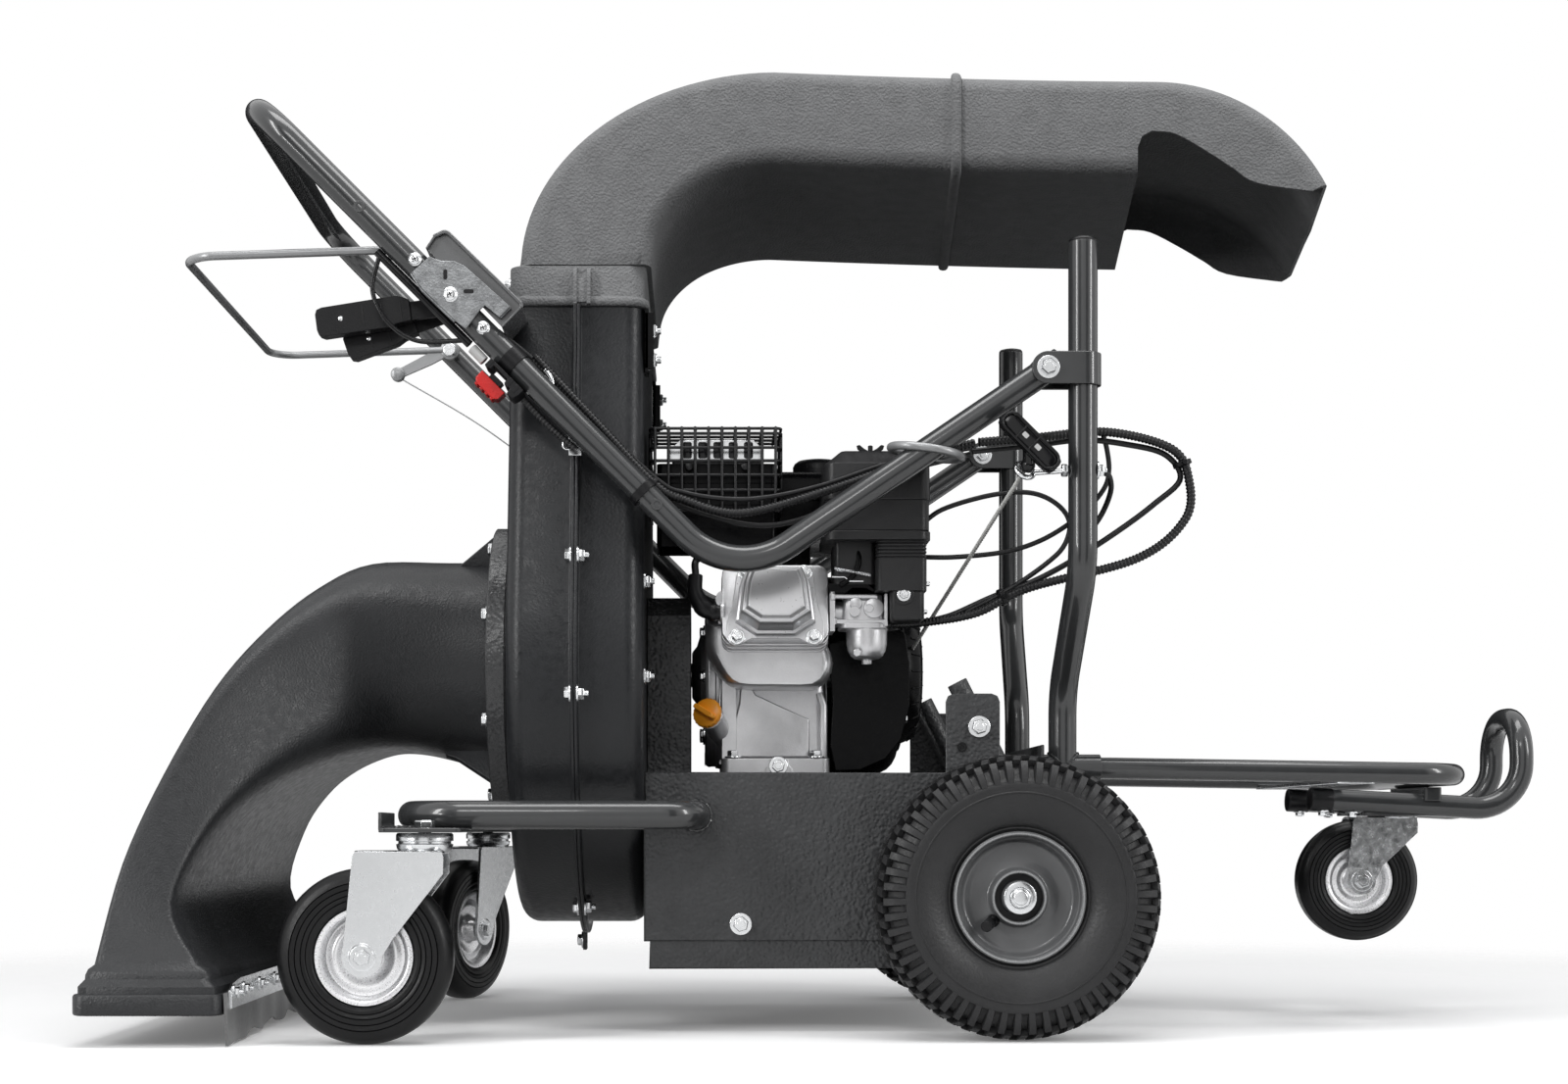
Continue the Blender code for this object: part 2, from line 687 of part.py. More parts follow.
def duct():
    """The elbow with its bead and joint rib, and the outlet with its hood."""
    front = HOUSING_SEAM_X - HOUSING_FRONT_DEPTH
    rear = HOUSING_SEAM_X + HOUSING_REAR_DEPTH
    foot = HOUSING_TOP_Z + GAP
    top_start = front + 0.010
    throat = rear + 0.008
    stations = [((front, foot), (rear, foot)), ((front, foot + BEAD_H), (rear, foot + BEAD_H)),
                ((top_start, ELBOW_START_Z), (throat, ELBOW_START_Z))]
    for i in range(1, ELBOW_STEPS + 1):
        turn = i / ELBOW_STEPS * math.pi / 2
        away, rise = math.cos(turn), math.sin(turn)
        outer = (ELBOW_END_X - (ELBOW_END_X - top_start) * away,
                 ELBOW_START_Z + (ELBOW_TOP_Z - ELBOW_START_Z) * rise)
        inner = (ELBOW_END_X - (ELBOW_END_X - throat) * away,
                 ELBOW_THROAT_Z + (ELBOW_BOTTOM_Z - ELBOW_THROAT_Z) * rise)
        stations.append((outer, inner))
    stations += [duct_lines(DUCT_JOINT_X * 0.3 + ELBOW_END_X * 0.7), duct_lines(DUCT_JOINT_X)]
    rib_end = duct_lines(DUCT_JOINT_X + DUCT_RIB_W)
    loops = [duct_section(*stations[0], BEAD_OUT), duct_section(*stations[1], BEAD_OUT)]
    loops += [duct_section(*s, 0) for s in stations[1:]]
    loops += [duct_section(*stations[-1], DUCT_RIB_H), duct_section(*rib_end, DUCT_RIB_H)]
    loops += [duct_section(*s, -DUCT_WALL) for s in [rib_end] + stations[:1:-1] + [stations[0]]]
    add("discharge_elbow", swept_aside(loft(loops, ring=True)), DUCT_PLASTIC)

    start = DUCT_JOINT_X + DUCT_RIB_W + GAP
    middle = (start + HOOD_START_X) / 2
    stations = [duct_lines(start), duct_lines(middle), duct_lines(FLOOR_END_X), duct_lines(HOOD_START_X)]
    heading = math.atan(DUCT_FALL)
    top = stations[-1][0]
    centre = (top[0] - HOOD_R * math.sin(heading), top[1] - HOOD_R * math.cos(heading))
    low_r = HOOD_R - HOOD_WALL_H
    for i in range(1, HOOD_STEPS + 1):
        turn = heading + HOOD_TURN * i / HOOD_STEPS
        ray = (math.sin(turn), math.cos(turn))
        stations.append(((centre[0] + HOOD_R * ray[0], centre[1] + HOOD_R * ray[1]),
                         (centre[0] + low_r * ray[0], centre[1] + low_r * ray[1])))
    loops = [duct_section(*s, 0) for s in stations]
    loops += [duct_section(*s, -DUCT_WALL) for s in stations[::-1]]
    outlet = loft(loops, ring=True)
    end_x, end_z = stations[-1][0]
    below = 0.60
    opening = [(FLOOR_END_X, below)] + list(HOOD_EDGE)
    opening += [(end_x - 0.001, end_z - 0.004), (end_x + 0.05, end_z - 0.03), (end_x + 0.05, below)]
    sides = [[(x, y, z + HOOD_TILT * (y + DUCT_HALF)) for x, z in opening] for y in (-0.3, 0.3)]
    outlet = cut(outlet, loft(sides))
    add("discharge_outlet", swept_aside(outlet), DUCT_PLASTIC)


# Rotor: impeller, crankshaft and flywheel turn together

def rotor():
    """The crankshaft line with the impeller in front and the flywheel behind."""
    axis = joint_empty("rotor_axis", (HOUSING_SEAM_X, 0, CRANK_Z))
    centre = (0, 0, CRANK_Z)
    back_x = HOUSING_SEAM_X + HOUSING_REAR_DEPTH - HOUSING_SHEET - 0.012
    plate = disc("X", centre, back_x - BACKPLATE_SHEET, back_x, IMPELLER_R, 24)
    hub = disc("X", centre, back_x - BLADE_DEPTH * 0.7, back_x + 0.006, 0.030, 16)
    blades = []
    for i in range(IMPELLER_BLADES):
        blade = box(back_x - BLADE_DEPTH, back_x - 0.001, -BLADE_SHEET / 2, BLADE_SHEET / 2,
                    CRANK_Z + 0.020, CRANK_Z + IMPELLER_R - 0.004)
        about = Matrix.Translation((0, 0, CRANK_Z))
        turned_by = Matrix.Rotation(2 * math.pi * i / IMPELLER_BLADES, 4, "X")
        blades.append(moved(blade, about @ turned_by @ about.inverted()))
    bore = disc("X", centre, back_x - 0.2, back_x + 0.1, SHAFT_R + GAP, 16)
    add("impeller", cut(join(plate, hub, *blades), bore), BLACK_STEEL, axis)
    shaft_front = back_x - BLADE_DEPTH * 0.7 - 0.002
    shaft = disc("X", centre, shaft_front, FAN_REAR_X - 0.022, SHAFT_R, 16)
    nut = hexagon("X", centre, shaft_front - 0.012, shaft_front + 0.001, 0.024)
    wheel = disc("X", centre, ENGINE_REAR_X + 0.012, ENGINE_REAR_X + 0.012 + FLYWHEEL_W,
                 FLYWHEEL_R, 20)
    add("crankshaft_flywheel", join(shaft, nut, wheel), CAST_ALLOY, axis)


# Base tray, front bumper and caster mounts

BRACKET_X = (0.091, 0.143)
BRACKET_TOP_Z = 0.325
BRACE_R = 0.010
MOUNT_PLATE_T = 0.004
CASTER_STEM_R = 0.006


def both_sides(build):
    """The near and far copy of a shape that a function makes for a side of -1 or 1."""
    return [build(side) for side in (-1, 1)]


def tray():
    """The folded sheet tray that carries the engine, the axle and the rear frame."""
    front = HOUSING_SEAM_X + HOUSING_REAR_DEPTH + GAP
    rear, half, sheet = TRAY_REAR_X, TRAY_HALF, TRAY_SHEET
    body = box(front, rear, -half, half, TRAY_FOLD_Z, TRAY_TOP_Z)
    hollow = box(front + sheet, rear - sheet, -half + sheet, half - sheet,
                 TRAY_FOLD_Z - 0.01, TRAY_TOP_Z - sheet)
    inset = half - 0.002
    skirt = box(front + 0.005, rear - 0.001, -inset, inset, TRAY_BOTTOM_Z, TRAY_FOLD_Z + 0.008)
    skirt_hollow = box(front + 0.005 + sheet, rear - 0.001 - sheet, -inset + sheet, inset - sheet,
                       TRAY_BOTTOM_Z - 0.01, TRAY_FOLD_Z + 0.02)
    body = join(cut(body, hollow), cut(skirt, skirt_hollow))
    rear_wall = box(rear - sheet, rear, -half, half, TRAY_TOP_Z - 0.02, TRAY_REAR_TOP_Z)

    def bracket(side):
        low, high = BRACKET_X
        top = BRACKET_TOP_Z
        outline = [(low, TRAY_TOP_Z - 0.01), (high, TRAY_TOP_Z - 0.01), (high, top - 0.008),
                   (high - 0.008, top), (low + 0.008, top), (low, top - 0.008)]
        return prism(outline, "Y", side * half, side * (half - sheet))

    def bracket_bolt(side):
        place = (BRACKET_X[1] - 0.020, side * half, BRACKET_TOP_Z - 0.032)
        return bolt_head("Y", place, side)

    def side_bolt(side):
        return bolt_head("Y", (-0.1055, side * half, 0.104), side)

    def brace(side):
        y = side * (half - 0.022)
        foot = box(0.128, 0.168, y - 0.014, y + 0.014, TRAY_TOP_Z - 0.001, TRAY_TOP_Z + 0.003)
        return join(rod([(0.104, y, 0.337), (0.148, y, TRAY_TOP_Z - 0.002)], BRACE_R, 10), foot)

    pieces = [rear_wall]
    for build in (bracket, bracket_bolt, side_bolt, brace):
        pieces += both_sides(build)
    body = join(body, *pieces)
    axle = disc("Y", (WHEEL_X, 0, WHEEL_R), -half - 0.05, half + 0.05, AXLE_R + GAP, 16)
    add("base_tray", cut(body, axle), SHEET_PAINT)


def bumper():
    """The round tube that carries the front casters and is welded to the tray's sides."""
    end_x = BUMPER_END_X - TUBE_R
    weld = TRAY_HALF + GAP
    path = [(end_x, -weld, BUMPER_Z), (end_x, -BUMPER_HALF, BUMPER_Z),
            (BUMPER_FRONT_X, -BUMPER_HALF, BUMPER_Z), (BUMPER_FRONT_X, BUMPER_HALF, BUMPER_Z),
            (end_x, BUMPER_HALF, BUMPER_Z), (end_x, weld, BUMPER_Z)]
    radii = [0.032, BUMPER_BEND_R, BUMPER_BEND_R, 0.032]
    pipe = tube(rounded_path(path, radii), TUBE_R, TUBE_WALL)
    low = CASTER_TOP_Z + GAP

    def mount(side):
        outer = side * (CASTER_Y + 0.042)
        inner = side * (BUMPER_HALF - 0.006)
        y0, y1 = min(outer, inner), max(outer, inner)
        plate = box(CASTER_X - 0.037, CASTER_X + 0.038, y0, y1, low, low + MOUNT_PLATE_T)
        lip = box(CASTER_X - 0.037, CASTER_X - 0.034, y0, y1, low + 0.001, low + 0.018)
        return join(plate, lip)

    whole = join(pipe, *both_sides(mount))
    holes = [disc("Z", (CASTER_X, side * CASTER_Y, low), -0.01, 0.02, CASTER_STEM_R + GAP, 12)
             for side in (-1, 1)]
    add("front_bumper", cut(whole, *holes), FRAME_PAINT)


# Uprights, handle clamps and bag frame

def upright(name, side):
    """A bent upright with the short socket at its foot."""
    top = (UPRIGHT_X, side * HANDLE_HALF, UPRIGHT_TOP_Z)
    path = [top, (UPRIGHT_X, side * HANDLE_HALF, UPRIGHT_BEND_TOP_Z),
            (UPRIGHT_X - UPRIGHT_LEAN, side * UPRIGHT_FOOT_HALF, UPRIGHT_BEND_LOW_Z),
            (UPRIGHT_X - UPRIGHT_LEAN, side * UPRIGHT_FOOT_HALF, RAIL_Z)]
    line = rounded_path(path, 0.07, 2)
    centre = (0, side * UPRIGHT_FOOT_HALF, RAIL_Z)
    socket = disc("X", centre, TRAY_REAR_X + GAP, SOCKET_END_X, TUBE_R, 16)
    whole = join(rod(line, TUBE_R), socket)
    over = Vector(top) + Vector((0, 0, 0.02))
    inner_line = [over] + line[1:-1] + [line[-1] + Vector((0, 0, TUBE_R + 0.002))]
    bore = rod(inner_line, TUBE_R - TUBE_WALL, 10)
    socket_bore = disc("X", centre, SOCKET_END_X - BAG_SOCKET_DEPTH, SOCKET_END_X + 0.02,
                       BAG_TUBE_R + GAP, 16)
    add(name, cut(whole, bore, socket_bore), FRAME_PAINT)


def clamp(name, side):
    """A U of sheet around the upright, with the handle's pivot bolt through its ears."""
    inner = TUBE_R + GAP
    outer = inner + CLAMP_SHEET
    y = side * HANDLE_HALF
    ear_x = PIVOT_X - CLAMP_H / 2

    def half_circle(radius):
        steps = 8
        return [(UPRIGHT_X + radius * math.sin(math.pi * i / steps),
                 y - radius * math.cos(math.pi * i / steps)) for i in range(steps + 1)]

    outline = [(ear_x, y - outer)] + half_circle(outer) + [(ear_x, y + outer)]
    outline += [(ear_x, y + inner)] + half_circle(inner)[::-1] + [(ear_x, y - inner)]
    low, high = PIVOT_Z - CLAMP_H / 2, PIVOT_Z + CLAMP_H / 2
    band = prism(outline, "Z", low, high)
    corner = CLAMP_H * 0.29
    trims = []
    for z, step in ((low, corner), (high, -corner)):
        wedge = [(ear_x - 0.002, z - step * 0.1), (ear_x + corner, z - step * 0.1),
                 (ear_x - 0.002, z + step * 1.05)]
        trims.append(prism(wedge, "Y", y - 0.03, y + 0.03))
    bolt = disc("Y", (PIVOT_X, y, PIVOT_Z), -outer - 0.002, outer + 0.002, PIVOT_BOLT_R, 12)
    head = bolt_head("Y", (PIVOT_X, y + side * outer, PIVOT_Z), side)
    nut = hexagon("Y", (PIVOT_X, y - side * outer, PIVOT_Z), side * 0.001, -side * 0.007, 0.013)
    add(name, join(cut(band, *trims), bolt, head, nut), FRAME_PAINT)


BAG_FALL = 0.0055
CROSS_PLATE_X = (0.473, 0.511)
CROSS_PLATE_T = 0.0033


def bag_line_z(x):
    """The height of the bag frame's tube, which falls slightly to the rear."""
    start = SOCKET_END_X + 0.01
    return RAIL_Z - BAG_FALL * max(0.0, x - start) / (BAG_END_X - start)


def bag_frame():
    """The U of tube that plugs into the sockets, with the cross plate over the rear loop."""
    start = SOCKET_END_X - BAG_SOCKET_DEPTH + GAP
    knee = SOCKET_END_X + 0.01
    half = UPRIGHT_FOOT_HALF
    path = [(start, -half, RAIL_Z), (knee, -half, RAIL_Z), (BAG_END_X, -half, bag_line_z(BAG_END_X)),
            (BAG_END_X, half, bag_line_z(BAG_END_X)), (knee, half, RAIL_Z), (start, half, RAIL_Z)]
    line = rounded_path(path[1:-1], [BAG_BEND_R, BAG_BEND_R], 4)
    pipe = tube([path[0]] + line + [path[-1]], BAG_TUBE_R, 0.0015, 8)
    low, high = CROSS_PLATE_X
    under = bag_line_z((low + high) / 2) - BAG_TUBE_R
    plate = box(low, high, -half - 0.004, half + 0.004, under - CROSS_PLATE_T + 0.0028, under + 0.0028)
    add("bag_frame", join(pipe, plate), FRAME_PAINT)


def loop_line_z(x):
    """The height of the rear loop's legs, which fall to the rear."""
    share = (x - LOOP_START_X) / (LOOP_REAR_X - LOOP_START_X)
    return LOOP_START_Z + (LOOP_LOW_Z - LOOP_START_Z) * share


def rear_loop():
    """The narrow loop under the bag frame, with its saddle and the rear caster's plate."""
    start, half = LOOP_START_X, LOOP_HALF
    rear = LOOP_REAR_X - LOOP_TUBE_R
    path = [(start, -half, loop_line_z(start)), (rear, -half, LOOP_LOW_Z),
            (rear, -half, LOOP_TOP_Z), (rear, half, LOOP_TOP_Z),
            (rear, half, LOOP_LOW_Z), (start, half, loop_line_z(start))]
    radii = [0.045, 0.040, 0.040, 0.045]
    bar = tube(rounded_path(path, radii, 3), LOOP_TUBE_R, 0.0015, 8)
    under = bag_line_z(BAG_END_X) - BAG_TUBE_R - GAP
    saddle = box(BAG_END_X - 0.009, BAG_END_X + 0.009, -half - 0.014, half + 0.014,
                 loop_line_z(BAG_END_X) + 0.004, under)
    low = REAR_CASTER_TOP_Z + GAP
    plate = box(REAR_CASTER_X - 0.045, REAR_CASTER_X + 0.040, -half - 0.006, half + 0.006,
                low, low + MOUNT_PLATE_T)
    hole = disc("Z", (REAR_CASTER_X, 0, low), -0.01, 0.02, CASTER_STEM_R + GAP, 12)
    add("rear_loop", cut(join(bar, saddle, plate), hole), FRAME_PAINT)


# Handle, bail and controls. Places on the near upper tube are given along it from the
# grip bar (t) and square to it, towards the lower front (p).

GRIP = Vector((GRIP_X, 0, GRIP_Z))
DIP = Vector((DIP_X, 0, DIP_Z))
PIVOT = Vector((PIVOT_X, 0, PIVOT_Z))
TUBE_ALONG = (DIP - GRIP).normalized()
TUBE_ACROSS = Vector((TUBE_ALONG.z, 0, -TUBE_ALONG.x))
NEAR_Y = -HANDLE_HALF
PIN_SHOULDER_Y = BAIL_HALF + BAIL_EAR_T / 2 + GAP
PIN_HEAD_Y = BAIL_HALF - BAIL_EAR_T / 2 - GAP
RING_X = 0.068
RING_SPAN = 0.0335
RING_Y = NEAR_Y + 0.0135
RING_HALF = 0.0270
RING_WIRE_R = 0.004


def tube_point(t, p, y=NEAR_Y):
    """A point beside the near upper tube."""
    place = GRIP + TUBE_ALONG * t + TUBE_ACROSS * p
    return Vector((place.x, y, place.z))


def tube_box(t0, t1, p0, p1, y0, y1):
    """A block lined up with the near upper tube."""
    corners = [tube_point(t, p) for t, p in ((t0, p0), (t1, p0), (t1, p1), (t0, p1))]
    return prism([(c.x, c.z) for c in corners], "Y", y0, y1)


def handle(body):
    """The handle tube with its bail pins and the wire ring for the cables."""
    back = (PIVOT - DIP).normalized()
    tail = PIVOT + back * HANDLE_TAIL
    half = Vector((0, HANDLE_HALF, 0))
    path = [tail - half, DIP - half, GRIP - half, GRIP + half, DIP + half, tail + half]
    radii = [DIP_BEND_R, GRIP_BEND_R, GRIP_BEND_R, DIP_BEND_R]
    pipe = tube(rounded_path(path, radii, 4), HANDLE_R, TUBE_WALL)

    def pin(side):
        place = (BAIL_PIVOT_X, 0, BAIL_PIVOT_Z)
        skin = HANDLE_HALF - HANDLE_R + 0.001
        profile = [(PIN_HEAD_Y - 0.003, 0), (PIN_HEAD_Y - 0.003, 0.0075), (PIN_HEAD_Y, 0.0075),
                   (PIN_HEAD_Y, PIVOT_BOLT_R), (PIN_SHOULDER_Y, PIVOT_BOLT_R),
                   (PIN_SHOULDER_Y, 0.0065), (skin, 0.0065), (skin, 0)]
        return turned([(side * y, r) for y, r in profile], "Y", place, 10)

    slope = back.z / back.x
    ring_z = PIVOT_Z - slope * (PIVOT_X - RING_X)
    steps = 14
    loop = []
    for i in range(steps):
        turn = 2 * math.pi * i / steps
        away = RING_SPAN * math.cos(turn)
        loop.append((RING_X + away, RING_Y + RING_HALF * math.sin(turn), ring_z - 0.15 * away))
    circles = sweep_loops([loop[-1]] + loop + [loop[0]], RING_WIRE_R, 5)[1:-1]
    ring = loft(circles, ring=True)
    whole = join(pipe, ring, *both_sides(pin))
    holes = [disc("Y", (PIVOT_X, side * HANDLE_HALF, PIVOT_Z), -0.03, 0.03,
                  PIVOT_BOLT_R + GAP, 12) for side in (-1, 1)]
    lever_hole = disc("Y", (LEVER_PIVOT_X, NEAR_Y, LEVER_PIVOT_Z), -0.03, 0.03,
                      PIVOT_BOLT_R + GAP, 12)
    add("handle", cut(whole, lever_hole, *holes), FRAME_PAINT, body)


ARM_TIP_X = -0.489
ARM_TIP_Z = 0.713


def bail():
    """The wire bail with its eyes and the arm that pulls the clutch wire."""
    body = joint_empty("bail_axis", (BAIL_PIVOT_X, 0, BAIL_PIVOT_Z))
    start_x = BAIL_PIVOT_X - 0.0088
    path = [(start_x, -BAIL_HALF, BAIL_PIVOT_Z), (BAIL_BAR_X, -BAIL_HALF, BAIL_BAR_Z),
            (BAIL_BAR_X, BAIL_HALF, BAIL_BAR_Z), (start_x, BAIL_HALF, BAIL_PIVOT_Z)]
    wire = rod(rounded_path(path, BAIL_BEND_R), BAIL_WIRE_R, 7)

    def eye(side):
        return disc("Y", (BAIL_PIVOT_X, side * BAIL_HALF, BAIL_PIVOT_Z),
                    -BAIL_EAR_T / 2, BAIL_EAR_T / 2, BAIL_EAR_R, 14)

    along = (Vector((ARM_TIP_X, 0, ARM_TIP_Z)) - Vector((BAIL_PIVOT_X, 0, BAIL_PIVOT_Z))).normalized()
    square = Vector((along.z, 0, -along.x)) * 0.007
    root = Vector((BAIL_PIVOT_X, 0, BAIL_PIVOT_Z)) + along * 0.004
    tip = Vector((ARM_TIP_X, 0, ARM_TIP_Z))
    outline = [root + square, tip + square * 0.7, tip - square * 0.7, root - square]
    arm = prism([(p.x, p.z) for p in outline], "Y", BAIL_HALF - 0.002, BAIL_HALF + 0.002)
    roller = disc("Y", (ARM_TIP_X, BAIL_HALF, ARM_TIP_Z), -0.005, 0.005, 0.008, 12)
    holes = [disc("Y", (BAIL_PIVOT_X, side * BAIL_HALF, BAIL_PIVOT_Z), -0.02, 0.02,
                  PIVOT_BOLT_R + GAP, 12) for side in (-1, 1)]
    whole = join(wire, arm, roller, *both_sides(eye))
    add("bail", cut(whole, *holes), GREY_WIRE, body)


CONSOLE_OUTLINE = ((-0.4123, 0.7107), (-0.3933, 0.7261), (-0.3679, 0.7207), (-0.3453, 0.7034),
                   (-0.3190, 0.6780), (-0.3299, 0.6680), (-0.3607, 0.6572))
COVER_INNER_Y = NEAR_Y + 0.074
GUARD_BAR_R = 0.004
GUARD_WIRE_R = 0.0022
SWITCH_T = (0.334, 0.377)
SWITCH_DEEP = 0.026
SWITCH_Y = (NEAR_Y - 0.0160, NEAR_Y + 0.0160)
BUTTON_T = (0.3375, 0.3625)
BUTTON_P = (0.0205, 0.0440)
BUTTON_TRAVEL = 0.004
BUTTON_HALF = 0.009


def console(body):
    """The plate, cover, lever guard and lever bolt on the near tube."""
    plate_y = NEAR_Y - HANDLE_R - GAP
    plate = prism(CONSOLE_OUTLINE, "Y", plate_y, plate_y - CONSOLE_SHEET)
    last_y = LEVER_FIRST_Y + LEVER_STEP_Y + LEVER_GRIP_T / 2 + GAP
    first_y = LEVER_FIRST_Y - LEVER_GRIP_T / 2 - GAP
    bolt = [(plate_y - 0.0075, 0), (plate_y - 0.0075, 0.0065), (plate_y - 0.001, 0.0065),
            (plate_y - 0.001, PIVOT_BOLT_R), (NEAR_Y + HANDLE_R + GAP, PIVOT_BOLT_R),
            (NEAR_Y + HANDLE_R + GAP, 0.008), (first_y, 0.008), (first_y, PIVOT_BOLT_R),
            (last_y, PIVOT_BOLT_R), (last_y, 0.0065), (last_y + 0.006, 0.0065), (last_y + 0.006, 0)]
    lever_bolt = turned(bolt, "Y", (LEVER_PIVOT_X, 0, LEVER_PIVOT_Z), 10)
    heads = []
    for t in (0.232, 0.298):
        spot = tube_point(t, 0.0)
        heads.append(bolt_head("Y", (spot.x, plate_y - CONSOLE_SHEET, spot.z), -1, 0.010, 0.004))
    add("console_plate", join(plate, lever_bolt, *heads), ZINC, body)

    shell = [(0.2185, -0.0165), (0.2155, -0.030), (0.2200, -0.0420), (0.321, -0.0435),
             (0.321, -0.0150)]
    outer = [tube_point(t, p) for t, p in shell]
    inner = [tube_point(t, p) for t, p in ((0.319, -0.0150), (0.319, -0.0410), (0.2220, -0.0395),
                                           (0.2180, -0.030), (0.2210, -0.0165))]
    band = prism([(c.x, c.z) for c in outer + inner], "Y", plate_y + GAP + 0.0001, COVER_INNER_Y)
    cheek = prism([(c.x, c.z) for c in outer], "Y", plate_y + GAP + 0.0001, plate_y + 0.0025)
    neck_room = box(-0.3345, -0.25, NEAR_Y + 0.0335, 0, 0.6, 0.8)
    add("console_cover", cut(join(band, cheek), neck_room), FRAME_PAINT, body)

    start, end = 0.186, 0.308
    lie = HANDLE_R + GUARD_BAR_R + GAP
    bar = rod([tube_point(start, lie), tube_point(end, lie)], GUARD_BAR_R, 8)
    hoop = [tube_point(start + 0.004, lie + 0.001), tube_point(start + 0.022, 0.045),
            tube_point(start + 0.052, 0.056), tube_point(start + 0.085, 0.049),
            tube_point(end - 0.006, lie + 0.001)]
    wire = rod(smooth_path(hoop, 12), GUARD_WIRE_R, 6)
    add("lever_guard", join(bar, wire), BLACK_STEEL, body)

    block = tube_box(*SWITCH_T, 0.0, SWITCH_DEEP, *SWITCH_Y)
    saddle = rod([tube_point(SWITCH_T[0] - 0.02, 0), tube_point(SWITCH_T[1] + 0.02, 0)],
                 HANDLE_R + GAP, 24)
    slack = GAP + 0.0001
    floor = BUTTON_P[0] - BUTTON_TRAVEL - slack
    pocket = tube_box(BUTTON_T[0] - slack, BUTTON_T[1] + slack, floor, SWITCH_DEEP + 0.02,
                      NEAR_Y - BUTTON_HALF - slack, NEAR_Y + BUTTON_HALF + slack)
    add("switch_body", cut(block, saddle, pocket), BLACK_PLASTIC, body)


def lever(name, place_y, angle, length=LEVER_GRIP):
    """A flat arm with a moulded grip; the angle is its droop below the horizontal."""
    body = joint_empty(name + "_axis", (LEVER_PIVOT_X, place_y, LEVER_PIVOT_Z))
    along = Vector((-math.cos(angle), 0, -math.sin(angle)))
    square = Vector((along.z, 0, -along.x))
    pivot = Vector((LEVER_PIVOT_X, 0, LEVER_PIVOT_Z))

    def strip(points, thick):
        outline = [pivot + along * u + square * v for u, v in points]
        return prism([(p.x, p.z) for p in outline], "Y", place_y - thick / 2, place_y + thick / 2)

    arm_end = LEVER_ARM
    grip_end = LEVER_ARM + length
    arm = strip([(0, -0.009), (arm_end + 0.01, -0.009), (arm_end + 0.01, 0.009), (0, 0.009)],
                LEVER_SHEET)
    eye = disc("Y", (LEVER_PIVOT_X, place_y, LEVER_PIVOT_Z), -LEVER_GRIP_T / 2, LEVER_GRIP_T / 2,
               0.011, 14)
    grip = strip([(arm_end, -0.010), (grip_end - 0.004, -0.015), (grip_end, -0.010),
                  (grip_end, 0.009), (grip_end - 0.005, 0.013), (arm_end + 0.010, 0.015),
                  (arm_end, 0.010)], LEVER_GRIP_T)
    hole = disc("Y", (LEVER_PIVOT_X, place_y, LEVER_PIVOT_Z), -0.03, 0.03, PIVOT_BOLT_R + GAP, 12)
    add(name, cut(join(arm, eye, grip), hole), BLACK_PLASTIC, body)


def stop_button():
    """The red button that slides into the switch body."""
    middle = tube_point(sum(BUTTON_T) / 2, BUTTON_P[0])
    body = joint_empty("stop_button_axis", middle)
    block = tube_box(*BUTTON_T, *BUTTON_P, NEAR_Y - BUTTON_HALF, NEAR_Y + BUTTON_HALF)
    add("stop_button", block, RED_PLASTIC, body)


# Axle, wheels and casters

def axle():
    """The fixed wheel axle with its collars and end caps."""
    inner = WHEEL_MID_Y - 0.030 - GAP
    outer = WHEEL_MID_Y + 0.030 + GAP
    centre = (WHEEL_X, 0, WHEEL_R)
    bar = disc("Y", centre, -outer - 0.003, outer + 0.003, AXLE_R, 20)
    collars = []
    for side in (-1, 1):
        collars.append(disc("Y", centre, side * inner, side * (inner - 0.008), 0.017, 14))
        collars.append(disc("Y", centre, side * outer, side * (outer + 0.007), 0.015, 14))
    add("wheel_axle", join(bar, *collars), ZINC)


def wheel(name, side):
    """A main wheel: pressed rim with hub, and a hollow turf tyre."""
    centre = (WHEEL_X, side * WHEEL_MID_Y, WHEEL_R)
    body = joint_empty(name + "_axis", centre)
    rim = [(-0.030, AXLE_R + GAP), (0.030, AXLE_R + GAP), (0.030, HUB_R), (0.006, HUB_R + 0.001),
           (0.004, 0.048), (0.0285, 0.052), (0.0285, RIM_R + 0.002), (0.0250, RIM_R + 0.002),
           (0.0240, RIM_R - 0.004), (-0.0240, RIM_R - 0.004), (-0.0250, RIM_R + 0.002),
           (-0.0285, RIM_R + 0.002), (-0.0285, 0.052), (-0.004, 0.048), (-0.006, HUB_R + 0.001),
           (-0.030, HUB_R)]
    add("wheel_rim_" + name[6:], turned(rim, "Y", centre, 20), RIM_PAINT, body)
    half = WHEEL_W / 2
    bead = RIM_R - 0.004 + GAP
    outer = [(0.0235, bead), (0.0240, RIM_R + 0.0025), (0.031, RIM_R + 0.004), (0.0400, 0.082),
             (half, 0.106), (0.0370, 0.123), (0.021, WHEEL_R)]
    inner = [(0.0165, bead), (0.0230, RIM_R + 0.010), (0.0350, 0.098), (0.020, 0.121)]
    profile = outer + [(-a, r) for a, r in outer[::-1]] + [(-a, r) for a, r in inner]
    profile += [(a, r) for a, r in inner[::-1]]
    add("wheel_tyre_" + name[6:], turned(profile, "Y", centre, 20), TYRE_RUBBER, body)


